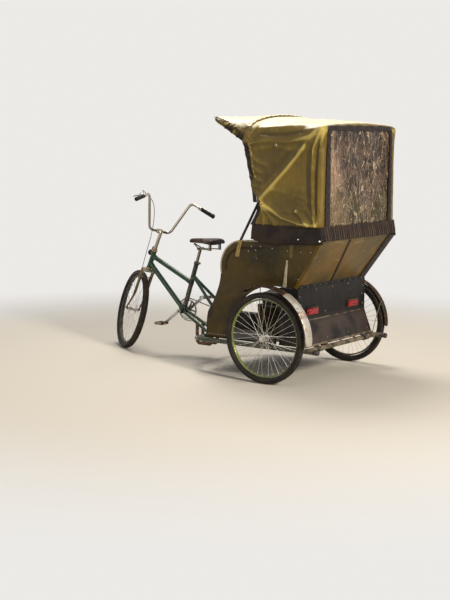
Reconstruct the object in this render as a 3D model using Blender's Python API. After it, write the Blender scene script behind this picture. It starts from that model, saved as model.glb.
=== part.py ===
"""Cycle rickshaw: a bicycle front end that carries a hooded seat for two on two rear wheels.

Metres, +Z up, +Y towards the back, +X towards the rider's left, ground at Z = 0.
The front wheel and the handlebar rest turned to the rider's right.
"""
from math import atan2, ceil, cos, pi, radians, sin, sqrt, tan

import bmesh
import bpy
from mathutils import Euler, Matrix, Vector

# Wheels
TYRE_RADIUS = 0.335
TYRE_WIDTH = 0.054
TREAD_SHARE = 0.40
TYRE_HEIGHT = 0.046
RIM_OUTER = TYRE_RADIUS - TYRE_HEIGHT
RIM_LIP = 0.0062
RIM_DEPTH = 0.013
RIM_WIDTH = 0.025
RIM_NECK = 0.012
TRACK = 1.180
WHEELBASE = 1.758
SPOKES = 32
SPOKE_RADIUS = 0.0012
SPOKE_TWIST = radians(52)
HUB_BARREL = 0.014
HUB_FLANGE = 0.0245
FLANGE_GAP = 0.056
FLANGE_WIDTH = 0.004
HUB_LENGTH = 0.090
AXLE_RADIUS = 0.005
AXLE_CLEARANCE = 0.0007
DRIVE_SHAFT_RADIUS = 0.010
HUB_END_SHARE = 0.8

# Place of the rear axle in the part's frame
AXLE_Y = 0.8058

# Steering
HEAD_LEAN = radians(23)
STEER_REST = radians(36)
HEAD_LENGTH = 0.150
HEAD_RADIUS = 0.020
HEAD_BORE = 0.0150
HEAD_ROOM = 0.030
HEAD_BOTTOM_Z = 2 * TYRE_RADIUS + HEAD_ROOM
FORK_OFFSET = 0.060
STEERER_RADIUS = 0.0127
CUP_HEIGHT = 0.010
CUP_RADIUS = 0.0235
CROWN_HEIGHT = 0.030
CROWN_WIDTH = 0.105
CROWN_DEPTH = 0.036
BLADE_RADIUS = 0.0140
BLADE_TIP = 0.0085
BLADE_SPREAD = 0.048
DROPOUT_THICK = 0.006
DROPOUT_SIZE = 0.026
STEM_RADIUS = 0.0150
STEM_TOP = 0.315
STEM_REACH = 0.040
CLAMP_RADIUS = 0.0200
CLAMP_WIDTH = 0.046
BAR_RADIUS = 0.0111
BAR_BASE = 0.090
BAR_RISE = 0.300
BAR_SHOULDER = 0.185
BAR_OUT = 0.150
BAR_BACK = 0.190
BAR_BEND = 0.045
GRIP_RADIUS = 0.0165
GRIP_LENGTH = 0.125
LEVER_BAND = 0.024
LEVER_LENGTH = 0.115
LEVER_THICK = 0.010
LEVER_DROP = 0.034
BRAKE_ARM_WIDTH = 0.016
BRAKE_ARM_LENGTH = 0.095
BRAKE_ARM_THICK = 0.010
CABLE_RADIUS = 0.0025
CABLE_REACH = 0.045
CABLE_DROP_SHARE = 0.62
RAKE_SHARE = 0.62
LEVER_ROOT_SHARE = 0.38

# Bicycle frame, places along Y from the rear axle
TOP_TUBE_RADIUS = 0.0190
DOWN_TUBE_RADIUS = 0.0205
SEAT_TUBE_RADIUS = 0.0190
STAY_RADIUS = 0.0125
BRACE_RADIUS = 0.0125
CRANK_Y = -1.195
CRANK_Z = 0.372
SHELL_RADIUS = 0.0245
SHELL_WIDTH = 0.073
SPINDLE_RADIUS = 0.0085
SPINDLE_CLEARANCE = 0.0010
SEAT_TUBE_LEAN = radians(18.1)
SEAT_TUBE_LENGTH = 0.425
TOP_TUBE_AT_HEAD = 0.105
TOP_TUBE_AT_SEAT = 0.245
DOWN_TUBE_AT_HEAD = 0.038
BRACE_AT_SEAT = 0.305
BRACE_SPREAD = 0.110
STAY_SPREAD = 0.050
POST_RADIUS = 0.0135

# Saddle
POST_SOCKET = 0.090
SEAT_POST_RADIUS = 0.0127
SADDLE_TOP_Z = 0.975
SADDLE_LENGTH = 0.285
SADDLE_WIDTH = 0.215
SADDLE_NOSE_WIDTH = 0.050
SADDLE_THICK = 0.042
SADDLE_CENTRE_Y = -0.988
SPRING_RADIUS = 0.0150
SPRING_HEIGHT = 0.046
RAIL_RADIUS = 0.0050
RAIL_SHARE = 0.36
SPRING_SHARE = 0.30
KNEE_SHARE = 0.40
SEAT_CLAMP_SHARE = 0.16

# Drive
CRANK_LENGTH = 0.168
CRANK_ANGLE = radians(-52)
CRANK_THICK = 0.013
CRANK_WIDTH = 0.026
PEDAL_LENGTH = 0.095
PEDAL_WIDTH = 0.075
PEDAL_THICK = 0.022
PEDAL_PIN = 0.0060
CHAINRING_RADIUS = 0.084
CHAINRING_THICK = 0.004
CHAINRING_X = -0.060
ARM_X = 0.065
REAR_CHAIN_X = 0.030
SPIDER_WIDTH = 0.018
SPIDER_ARMS = 5
CHAIN_WIDTH = 0.0085
CHAIN_DEPTH = 0.0090
CHAIN_CLEARANCE = 0.0055
JACK_Y = -0.860
JACK_Z = TYRE_RADIUS
SPROCKET_RADIUS = 0.040
JACK_SHAFT_RADIUS = 0.0080
CHAINRING_BORE_SHARE = 0.80
SPIDER_REACH_SHARE = 0.90
CRANK_END_SHARE = 0.84
CHAIN_STEPS = 12
BRACKET_THICK = 0.009
BRACKET_X = 0.096
BRACKET_FOOT = 0.007

# Cab frame
RAIL_TUBE = 0.0175
WHEEL_INSET = 0.090
RAIL_X = TRACK / 2 - WHEEL_INSET
RAIL_Z = 0.255
RAIL_FRONT = -0.640
STUB_END = 0.405
NOSE_Y = -0.885
NOSE_Z = 0.205
NOSE_X = 0.240
REAR_TUBE_Y = 0.300
FLOOR_TUBE_Y = -0.160
BRACE_TUBE_Y = -0.665
CAP_LENGTH = 0.012
CAP_FLANGE = 0.0200
STAND_Y = -1.030
STAND_FOOT_Z = 0.124
BEARING_THICK = 0.022
BEARING_HEIGHT = 0.042
AXLE_TUBE = 0.0190
RAIL_BEND = 0.070
BEARING_TOP = 0.029
POST_BEND = 0.027
POST_CROSS_RADIUS = 0.0108

# Cab body
WALL = 0.018
WING_INSET = 0.016
WING_LOW_HALF = RAIL_X - WING_INSET
WING_FLARE = 0.056
WING_TOP_HALF = WING_LOW_HALF + WING_FLARE
WING_TOP_Z = 1.060
WING_LOW_Z = 0.700
REAR_TOP_Y = 0.442
REAR_LOW_Y = 0.197
ARCH_ROOM = 0.037
ARCH_RADIUS = TYRE_RADIUS + ARCH_ROOM
FLOOR_THICK = 0.015
TUNNEL_HALF = 0.022
TUNNEL_CLEARANCE = 0.010
WING_TOE_Y = -0.600
WING_TOE_Z = 0.440
WING_SHIN_SHARES = [(0.40, 0.28), (0.73, 0.56)]
WING_ARC_Y = -0.235
WING_ARC_Z = 0.800
WING_ARC_RADIUS = 0.228
WING_ARC_FROM = radians(180)
WING_ARC_TO = radians(96)
ARCH_FROM = radians(90)
ARCH_TO = radians(168)
ARC_STEPS = 6
SEAT_FRONT = -0.130
SEAT_Z = 0.560
BOX_FRONT = 0.055
BOX_BACK = 0.212
BOX_BOTTOM = 0.276
KICK_FOLD_Z = 0.455
KICK_BACK = 0.282
BOX_WALL = 0.010
CUSHION_HEIGHT = 0.110
CUSHION_DEPTH = 0.330
BACK_THICK = 0.085
LIGHT_X = 0.292
LIGHT_Z = 0.520
LIGHT_WIDTH = 0.140
LIGHT_HEIGHT = 0.056
LIGHT_THICK = 0.022

# Mudguards
GUARD_ROOM = 0.045
GUARD_RADIUS = TYRE_RADIUS + GUARD_ROOM
GUARD_WIDTH = 0.084
GUARD_THICK = 0.004
GUARD_FROM = radians(-3)
GUARD_TO = radians(122)
GUARD_DROP = 0.010
GUARD_STAY = 0.0035
GUARD_STEPS = 14
GUARD_FOOT = 0.007
REAR_STAY_TURN = radians(28)
FRONT_STAY_TURN = radians(100)

# Hood
HOOD_STEP_IN = 0.009
HOOD_LOW_HALF = WING_TOP_HALF - HOOD_STEP_IN
HOOD_TAPER = 0.015
HOOD_HALF = HOOD_LOW_HALF - HOOD_TAPER
HOOD_LOW_Z = 1.150
HOOD_SHOULDER_Z = 1.750
HOOD_CROWN_Z = 1.935
HOOD_REAR_Z = 1.890
HOOD_REAR_SHOULDER_Z = 1.835
HOOD_FRONT_TOP = -0.245
HOOD_FRONT_PINCH = -0.150
HOOD_PINCH_Z = 1.310
HOOD_FRONT_LOW = -0.158
HOOD_BACK = 0.434
HOOD_WALL = 0.008
VISOR_TIP = -0.520
VISOR_TIP_Z = 1.925
VISOR_DROP = 0.030
WINDOW_BORDER = 0.066
WINDOW_HALF = HOOD_HALF - WINDOW_BORDER
WINDOW_TOP = 1.845
WINDOW_LOW = 1.165
WINDOW_THICK = 0.003
BAND_LOW_REAR = 1.058
BAND_THICK = 0.006
BOW_RADIUS = 0.0100
BOW_CLEARANCE = 0.0077
FRONT_BOW_SHARE = 0.05
MIDDLE_BOW_SHARE = 0.78
REAR_BOW_SHARE = 0.935
BOW_FOOT_Y = -0.262
BOW_PIVOT_Y = -0.118
BOW_PIVOT_Z = 1.325
SHOULDER_SHARES = [(1.00, 0.00), (0.975, 0.30), (0.90, 0.58), (0.72, 0.80), (0.40, 0.95)]
HOOD_STEPS = 4

# Fits and facets
SEAT_GAP = 0.0003
MOVING_GAP = 0.006
OVERRUN = 0.004
TUBE_SIDES = 8
ROD_SIDES = 6
WHEEL_STEPS = 40
ROUND_STEPS = 12
BEND_STEPS = 3

PI2 = 2 * pi
RAIL_TOP_Z = RAIL_Z + RAIL_TUBE * cos(pi / TUBE_SIDES)
FLOOR_Z = RAIL_TOP_Z + SEAT_GAP + FLOOR_THICK


def clear_scene():
    """Remove whatever the open file holds."""
    for thing in list(bpy.data.objects):
        bpy.data.objects.remove(thing, do_unlink=True)


def paint(name, colour, roughness, metallic=0.0):
    """One Principled material, made once for each name."""
    if name in bpy.data.materials:
        return bpy.data.materials[name]
    material = bpy.data.materials.new(name)
    material.use_nodes = True
    shader = material.node_tree.nodes["Principled BSDF"]
    shader.inputs["Base Color"].default_value = (*colour, 1.0)
    shader.inputs["Roughness"].default_value = roughness
    shader.inputs["Metallic"].default_value = metallic
    material.diffuse_color = (*colour, 1.0)
    return material


def place(name, mesh, material, parent=None, location=(0, 0, 0), rotation=(0, 0, 0)):
    """Add one named sub-part to the scene."""
    mesh.materials.clear()
    mesh.materials.append(material)
    mesh.shade_smooth()
    mesh.set_sharp_from_angle(angle=radians(40))
    thing = bpy.data.objects.new(name, mesh)
    bpy.context.scene.collection.objects.link(thing)
    thing.parent = parent
    thing.location = location
    thing.rotation_euler = rotation
    return thing


def pivot(name, location, rotation=(0, 0, 0), parent=None):
    """An empty on a joint's axis."""
    empty = bpy.data.objects.new(name, None)
    bpy.context.scene.collection.objects.link(empty)
    empty.parent = parent
    empty.location = location
    empty.rotation_euler = rotation
    return empty


def finish(shape, name="shape"):
    """Turn a bmesh into a mesh whose faces all point out."""
    bmesh.ops.remove_doubles(shape, verts=shape.verts, dist=SEAT_GAP / ROUND_STEPS)
    bmesh.ops.recalc_face_normals(shape, faces=shape.faces)
    mesh = bpy.data.meshes.new(name)
    shape.to_mesh(mesh)
    shape.free()
    return mesh


def combine(first, second, operation, own_overlaps=False):
    """Boolean of two meshes, which are used up."""
    things = [bpy.data.objects.new("operand", mesh) for mesh in (first, second)]
    for thing in things:
        bpy.context.scene.collection.objects.link(thing)
    cut = things[0].modifiers.new("combine", "BOOLEAN")
    cut.object = things[1]
    cut.operation = operation
    cut.use_self = own_overlaps
    evaluated = things[0].evaluated_get(bpy.context.evaluated_depsgraph_get())
    mesh = bpy.data.meshes.new_from_object(evaluated)
    for thing in things:
        bpy.data.objects.remove(thing, do_unlink=True)
    return mesh


def fuse(meshes, own_overlaps=False):
    """Union of meshes that run into each other."""
    whole = meshes[0]
    for mesh in meshes[1:]:
        whole = combine(whole, mesh, "UNION", own_overlaps)
    return whole


def moved(mesh, shift=(0, 0, 0), rotation=(0, 0, 0)):
    """The same mesh, turned and then shifted."""
    mesh.transform(Matrix.Translation(shift) @ Euler(rotation).to_matrix().to_4x4())
    return mesh


def loft(sections, closed=False):
    """Skin a list of rings with the same count of points; ends are capped unless it closes."""
    shape = bmesh.new()
    rings = [[shape.verts.new(point) for point in ring] for ring in sections]
    pairs = list(zip(rings, rings[1:]))
    if closed:
        pairs.append((rings[-1], rings[0]))
    for ring, following in pairs:
        for index, vertex in enumerate(ring):
            after = (index + 1) % len(ring)
            shape.faces.new((vertex, ring[after], following[after], following[index]))
    if not closed:
        shape.faces.new(rings[0])
        shape.faces.new(rings[-1])
    return finish(shape)


def ring_at(centre, across, along, radius, sides, radius_along=None):
    """Points of a circle or ellipse spanned by two unit vectors."""
    points = []
    for index in range(sides):
        turn = PI2 * (index + 1 / 2) / sides
        second = radius if radius_along is None else radius_along
        points.append(centre + across * radius * cos(turn) + along * second * sin(turn))
    return points


def sweep(path, radius, sides=TUBE_SIDES, end_radius=None):
    """A round bar or tube, solid, along a path."""
    path = [Vector(point) for point in path]
    count = len(path)
    runs = [(path[i + 1] - path[i]).normalized() for i in range(count - 1)]
    across = runs[0].orthogonal().normalized()
    rings = []
    for index, point in enumerate(path):
        before = runs[max(index - 1, 0)]
        after = runs[min(index, count - 2)]
        along = (before + after).normalized()
        across = (across - along * across.dot(along)).normalized()
        share = index / (count - 1)
        size = radius if end_radius is None else radius + (end_radius - radius) * share
        rings.append(ring_at(point, across, along.cross(across), size, sides))
    return loft(rings)


def bent(points, bend, steps=BEND_STEPS):
    """Round the inner corners of a path with arcs of one bend radius."""
    points = [Vector(point) for point in points]
    path = [points[0]]
    for before, corner, after in zip(points, points[1:], points[2:]):
        back = (before - corner).normalized()
        ahead = (after - corner).normalized()
        half = back.angle(ahead) / 2
        reach = bend / tan(half)
        start = corner + back * reach
        centre = corner + (back + ahead).normalized() * bend / sin(half)
        arm = start - centre
        axis = back.cross(ahead).normalized()
        sweep_angle = pi - 2 * half
        for step in range(steps + 1):
            turn = -sweep_angle * step / steps
            path.append(centre + Matrix.Rotation(turn, 3, axis) @ arm)
    path.append(points[-1])
    return path


def prism(outline, low, high, axis="X"):
    """Extrude an outline of pairs along X, Y or Z."""
    def point(pair, level):
        if axis == "X":
            return Vector((level, pair[0], pair[1]))
        if axis == "Y":
            return Vector((pair[0], level, pair[1]))
        return Vector((pair[0], pair[1], level))
    return loft([[point(pair, level) for pair in outline] for level in (low, high)])


def block(low, high):
    """A rectangular bar between two corners."""
    outline = [(low[1], low[2]), (high[1], low[2]), (high[1], high[2]), (low[1], high[2])]
    return prism(outline, low[0], high[0])


def turned(profile, steps=ROUND_STEPS, closed=False):
    """Turn a profile of (x, radius) about the X axis; zero radii make points on the axis."""
    shape = bmesh.new()
    rows = []
    for x, radius in profile:
        if radius == 0:
            rows.append([shape.verts.new((x, 0, 0))] * steps)
            continue
        row = []
        for step in range(steps):
            turn = PI2 * step / steps
            row.append(shape.verts.new((x, radius * cos(turn), radius * sin(turn))))
        rows.append(row)
    pairs = list(zip(rows, rows[1:]))
    if closed:
        pairs.append((rows[-1], rows[0]))
    for row, following in pairs:
        for step in range(steps):
            after = (step + 1) % steps
            corners = (row[step], row[after], following[after], following[step])
            distinct = list(dict.fromkeys(corners))
            if len(distinct) > 2:
                shape.faces.new(distinct)
    return finish(shape)


def disc(low, high, radius, steps=ROUND_STEPS, bore=0):
    """A round plate or sleeve about the X axis."""
    if bore:
        return turned([(low, bore), (low, radius), (high, radius), (high, bore)], steps, True)
    return turned([(low, 0), (low, radius), (high, radius), (high, 0)], steps)


def bore_radius(radius, sides=ROUND_STEPS, clearance=SEAT_GAP):
    """Radius of a faceted hole that clears a faceted bar of a radius all round."""
    return (radius + clearance) / cos(pi / sides)


def flat_radius(radius, sides=TUBE_SIDES):
    """Distance from a faceted tube's axis to the middle of its faces."""
    return radius * cos(pi / sides)


def arc(centre, radius, start, end, steps):
    """Points of an arc in a plane."""
    turns = [start + (end - start) * step / steps for step in range(steps + 1)]
    return [(centre[0] + radius * cos(turn), centre[1] + radius * sin(turn)) for turn in turns]


# Wheels

def tyre_mesh():
    """A balloon tyre that sits on the rim with its two beads."""
    seat = RIM_OUTER + SEAT_GAP
    bead = (RIM_WIDTH - RIM_LIP) / 2
    half = TYRE_WIDTH / 2
    height = TYRE_RADIUS - seat
    side_shares = [(1.00, 0.42), (0.90, 0.76), (TREAD_SHARE, 1.00)]
    right = [(half * across, seat + height * up) for across, up in side_shares]
    left = [(-x, radius) for x, radius in reversed(right)]
    profile = [(-bead, seat), (bead, seat), *right, *left]
    return turned(profile, WHEEL_STEPS, closed=True)


def rim_mesh():
    """A deep alloy rim, solid in section."""
    half = RIM_WIDTH / 2
    neck = RIM_NECK / 2
    shoulder = RIM_OUTER - RIM_LIP
    inner = RIM_OUTER - RIM_DEPTH
    profile = [(-half, RIM_OUTER), (half, RIM_OUTER), (half, shoulder),
               (neck, inner), (-neck, inner), (-half, shoulder)]
    return turned(profile, WHEEL_STEPS, closed=True)


def spoke_meshes():
    """Crossed spokes from the two flanges to the rim, each a thin three-sided bar."""
    spokes = []
    flange = HUB_FLANGE - FLANGE_WIDTH
    root = RIM_OUTER - RIM_DEPTH / 2
    for index in range(SPOKES):
        turn = PI2 * index / SPOKES
        side = 1 if index % 2 else -1
        lean = 1 if index // 2 % 2 else -1
        x = side * (FLANGE_GAP / 2)
        start_turn = turn + lean * SPOKE_TWIST
        start = (x, flange * cos(start_turn), flange * sin(start_turn))
        end = (side * RIM_NECK / 4, root * cos(turn), root * sin(turn))
        spokes.append(sweep([start, end], SPOKE_RADIUS, 3))
    return spokes


def hub_mesh(bore):
    """Barrel and two flanges; bored for a fixed axle, or solid for a driven one."""
    half = FLANGE_GAP / 2
    edge = FLANGE_WIDTH / 2
    end = HUB_LENGTH / 2
    profile = [(-end, HUB_BARREL * HUB_END_SHARE),
               (-half - edge, HUB_BARREL * HUB_END_SHARE)]
    profile += [(-half - edge, HUB_FLANGE), (-half + edge, HUB_FLANGE)]
    profile += [(-half + edge, HUB_BARREL)]
    profile += [(-x, radius) for x, radius in reversed(profile)]
    if bore:
        profile = [(-end, bore), *profile, (end, bore)]
        return turned(profile, ROUND_STEPS, closed=True)
    profile = [(-end, 0), *profile, (end, 0)]
    return turned(profile, ROUND_STEPS)


def joined(meshes):
    """Put meshes into one without a union."""
    shape = bmesh.new()
    for mesh in meshes:
        shape.from_mesh(mesh)
    whole = bpy.data.meshes.new("joined")
    shape.to_mesh(whole)
    shape.free()
    return whole


def wire_wheel_mesh(shaft_reach=0):
    """Rim, spokes and hub in one piece; a driven wheel has its shaft on the -X side."""
    bore = 0 if shaft_reach else AXLE_RADIUS + AXLE_CLEARANCE
    hub = hub_mesh(bore)
    if shaft_reach:
        shaft = disc(-shaft_reach, 0, DRIVE_SHAFT_RADIUS)
        hub = combine(hub, shaft, "UNION")
    spokes = joined(spoke_meshes())
    wheel = combine(hub, spokes, "UNION", own_overlaps=True)
    return combine(wheel, rim_mesh(), "UNION")


def rear_wheels(paints):
    """Two driven wheels, the right one the left one turned round."""
    reach = TRACK / 2 - RAIL_X + BEARING_THICK / 2
    metal = wire_wheel_mesh(reach)
    tyre = tyre_mesh()
    for side, name, turn in ((1, "left", 0), (-1, "right", pi)):
        hub = pivot(f"rear_hub_{name}", (side * TRACK / 2, AXLE_Y, TYRE_RADIUS), (0, 0, turn))
        place(f"rear_wheel_{name}", metal, paints["rim_green"], hub)
        place(f"rear_tyre_{name}", tyre, paints["tyre"], hub)


def steering_place():
    """Bottom of the head tube, on the steering axis, and the wheel's place along the axis."""
    camber = sin(STEER_REST) * sin(HEAD_LEAN)
    tread = TYRE_WIDTH / 2 * TREAD_SHARE
    hub_z = TYRE_RADIUS * sqrt(1 - camber * camber) + tread * camber
    foot_y = -WHEELBASE + FORK_OFFSET * cos(STEER_REST) * cos(HEAD_LEAN) - FORK_OFFSET / 4
    foot_z = hub_z - FORK_OFFSET * cos(STEER_REST) * sin(HEAD_LEAN)
    drop = (HEAD_BOTTOM_Z - foot_z) / cos(HEAD_LEAN)
    bottom = Vector((0, AXLE_Y + foot_y + drop * sin(HEAD_LEAN), HEAD_BOTTOM_Z))
    return bottom, drop


def head_point(distance):
    """A point on the steering axis, measured up from the head tube's bottom."""
    bottom, drop = steering_place()
    return bottom + Vector((0, sin(HEAD_LEAN), cos(HEAD_LEAN))) * distance


def front_wheel(paints, steering):
    """The undriven wheel, on a pivot that hangs from the steering."""
    bottom, drop = steering_place()
    spin = atan2(cos(STEER_REST) * sin(HEAD_LEAN), cos(HEAD_LEAN))
    hub = pivot("front_hub", (0, -FORK_OFFSET, -drop), (spin, 0, 0), steering)
    place("front_wheel", wire_wheel_mesh(), paints["rim_dark"], hub)
    place("front_tyre", tyre_mesh(), paints["tyre"], hub)


# Steering

def fork(paints, steering):
    """Steerer, crown, two raked blades and dropouts in one piece, with the fixed axle apart."""
    bottom, drop = steering_place()
    crown_top = -CUP_HEIGHT - SEAT_GAP
    crown_low = crown_top - CROWN_HEIGHT
    half = CROWN_WIDTH / 2
    depth = CROWN_DEPTH / 2
    crown = block((-half, -depth, crown_low), (half, depth, crown_top))
    steerer_top = HEAD_LENGTH + 2 * CUP_HEIGHT
    steerer = sweep([(0, 0, crown_low), (0, 0, steerer_top)], STEERER_RADIUS, ROUND_STEPS)
    parts = [crown, steerer]
    inner = HUB_LENGTH / 2 + SEAT_GAP
    for side in (1, -1):
        x = side * BLADE_SPREAD
        tip_x = side * (inner + DROPOUT_THICK / 2 + BLADE_TIP)
        knee = -drop * RAKE_SHARE
        path = [(x, 0, crown_top - OVERRUN), (x, 0, knee), (tip_x, -FORK_OFFSET, -drop + OVERRUN)]
        parts.append(sweep(bent(path, drop / 3), BLADE_RADIUS, TUBE_SIDES, BLADE_TIP))
        low = side * inner
        plate = disc(min(low, low + side * DROPOUT_THICK), max(low, low + side * DROPOUT_THICK),
                     DROPOUT_SIZE / 2)
        parts.append(moved(plate, (0, -FORK_OFFSET, -drop)))
    mesh = fuse(parts)
    reach = inner + DROPOUT_THICK + BLADE_TIP * 2
    bore = disc(-reach, reach, bore_radius(AXLE_RADIUS))
    mesh = combine(mesh, moved(bore, (0, -FORK_OFFSET, -drop)), "DIFFERENCE")
    place("fork", mesh, paints["frame_green"], steering)
    place("front_axle", disc(-reach, reach, AXLE_RADIUS), paints["steel"], steering,
          (0, -FORK_OFFSET, -drop))


def bar_path(side):
    """Half of the handlebar from its centre to the grip's end."""
    y = -STEM_REACH
    z = STEM_TOP
    return [Vector((0, y, z)), Vector((side * BAR_BASE, y, z)),
            Vector((side * BAR_SHOULDER, y, z + BAR_RISE)),
            Vector((side * (BAR_SHOULDER + BAR_OUT), y + BAR_BACK, z + BAR_RISE - BAR_RADIUS))]


def grip_frame(side):
    """End of the bar and the direction from it back along the grip."""
    path = bar_path(side)
    end = path[3]
    return end, (path[2] - end).normalized()


def handlebar(paints, steering):
    """Stem and high-rise bar, with grips and levers clamped on it."""
    quill_low = HEAD_LENGTH + 2 * CUP_HEIGHT + SEAT_GAP
    stem = sweep([(0, 0, quill_low), (0, 0, STEM_TOP)], STEM_RADIUS)
    reach = sweep([(0, STEM_RADIUS / 2, STEM_TOP), (0, -STEM_REACH, STEM_TOP)], STEM_RADIUS)
    half = CLAMP_WIDTH / 2
    clamp = moved(disc(-half, half, CLAMP_RADIUS), (0, -STEM_REACH, STEM_TOP))
    stem = fuse([stem, reach, clamp])
    hole = moved(disc(-half - OVERRUN, half + OVERRUN, bore_radius(BAR_RADIUS)),
                 (0, -STEM_REACH, STEM_TOP))
    place("stem", combine(stem, hole, "DIFFERENCE"), paints["chrome"], steering)
    left = bar_path(1)
    right = bar_path(-1)
    path = bent([*reversed(left[1:]), *right[1:]], BAR_BEND)
    place("handlebar", sweep(path, BAR_RADIUS), paints["chrome"], steering)
    for side, name in ((1, "left"), (-1, "right")):
        end, back = grip_frame(side)
        tilt = Vector((1, 0, 0)).rotation_difference(back).to_euler()
        grip = disc(-OVERRUN, GRIP_LENGTH, GRIP_RADIUS, TUBE_SIDES)
        core = disc(-SEAT_GAP, GRIP_LENGTH + OVERRUN, bore_radius(BAR_RADIUS, TUBE_SIDES), TUBE_SIDES)
        grip = combine(grip, core, "DIFFERENCE")
        place(f"grip_{name}", grip, paints["rubber"], steering, end, tilt)
        lever(paints, steering, side, name)


def lever(paints, steering, side, name):
    """Brake lever: a band round the bar and a blade under the grip."""
    end, back = grip_frame(side)
    start = GRIP_LENGTH + MOVING_GAP
    band = disc(start, start + LEVER_BAND, BAR_RADIUS + LEVER_THICK / 2, TUBE_SIDES,
                bore_radius(BAR_RADIUS, TUBE_SIDES))
    tilt = Vector((1, 0, 0)).rotation_difference(back)
    band = moved(band, end, tilt.to_euler())
    root = end + back * (start + LEVER_BAND / 2)
    ahead = Vector((side, 0, 0))
    ahead = (ahead - back * ahead.dot(back)).normalized()
    out = root + ahead * (BAR_RADIUS + LEVER_THICK * LEVER_ROOT_SHARE)
    knee = root + ahead * LEVER_DROP
    tip = knee - back * LEVER_LENGTH + ahead * LEVER_THICK
    blade = sweep([out, knee, tip], LEVER_THICK / 2, ROD_SIDES)
    place(f"lever_{name}", fuse([band, blade]), paints["chrome"], steering)


def front_brake(paints, steering):
    """Two brake arms on the blades and the noodle of the cable that pulls them."""
    crown_low = -CUP_HEIGHT - SEAT_GAP - CROWN_HEIGHT
    top = crown_low - MOVING_GAP / 2
    for side, name in ((1, "left"), (-1, "right")):
        x = side * (BLADE_SPREAD - BRAKE_ARM_THICK / 4)
        y = -flat_radius(BLADE_RADIUS) - SEAT_GAP
        low = (x - BRAKE_ARM_WIDTH / 2, y - BRAKE_ARM_THICK, top - BRAKE_ARM_LENGTH)
        high = (x + BRAKE_ARM_WIDTH / 2, y, top)
        place(f"brake_arm_{name}", block(low, high), paints["alloy"], steering)


def brake_cable(paints, steering):
    """The front brake's cable, from the left lever in a loop down to the left arm."""
    end, back = grip_frame(1)
    root = end + back * (GRIP_LENGTH + MOVING_GAP + LEVER_BAND + SEAT_GAP)
    ahead = Vector((0, -1, 0))
    ahead = (ahead - back * ahead.dot(back)).normalized()
    start = root + ahead * (BAR_RADIUS + CABLE_RADIUS * 3 / 2)
    y = -STEM_REACH - CLAMP_RADIUS - CABLE_REACH
    x = BLADE_SPREAD - BRAKE_ARM_THICK / 4
    arm_top = -CUP_HEIGHT - CROWN_HEIGHT - MOVING_GAP / 2 - SEAT_GAP
    low_y = -flat_radius(BLADE_RADIUS) - SEAT_GAP * 4 - BRAKE_ARM_THICK - CABLE_RADIUS
    route = [start, start + back * LEVER_BAND + ahead * CABLE_RADIUS * 2,
             start + back * BAR_BASE + ahead * CABLE_REACH,
             Vector((BAR_BASE, y - CABLE_REACH, STEM_TOP + BAR_RISE * CABLE_DROP_SHARE)),
             Vector((BAR_BASE / 2, y, STEM_TOP)),
             Vector((x, low_y - LEVER_BAND, HEAD_LENGTH / 2)),
             Vector((x, low_y - CABLE_RADIUS * 3, 0)),
             Vector((x, low_y, arm_top)), Vector((x, low_y, arm_top - BRAKE_ARM_WIDTH))]
    place("front_brake_cable", sweep(smooth_path(route, 4), CABLE_RADIUS, 5), paints["rubber"],
          steering)


def smooth_path(points, steps):
    """A smooth curve through the points, by the Catmull and Rom rule."""
    padded = [points[0] * 2 - points[1], *points, points[-1] * 2 - points[-2]]
    path = []
    for a, b, c, d in zip(padded, padded[1:], padded[2:], padded[3:]):
        for step in range(steps):
            t = step / steps
            path.append((b * 2 + (c - a) * t + (a * 2 - b * 5 + c * 4 - d) * t * t
                         + (b * 3 - a - c * 3 + d) * t * t * t) / 2)
    path.append(points[-1])
    return path


# Bicycle frame

def seat_point(distance):
    """A point on the seat tube's axis, measured up from the bottom bracket."""
    shift = Vector((0, sin(SEAT_TUBE_LEAN), cos(SEAT_TUBE_LEAN))) * distance
    return Vector((0, AXLE_Y + CRANK_Y, CRANK_Z)) + shift


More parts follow.
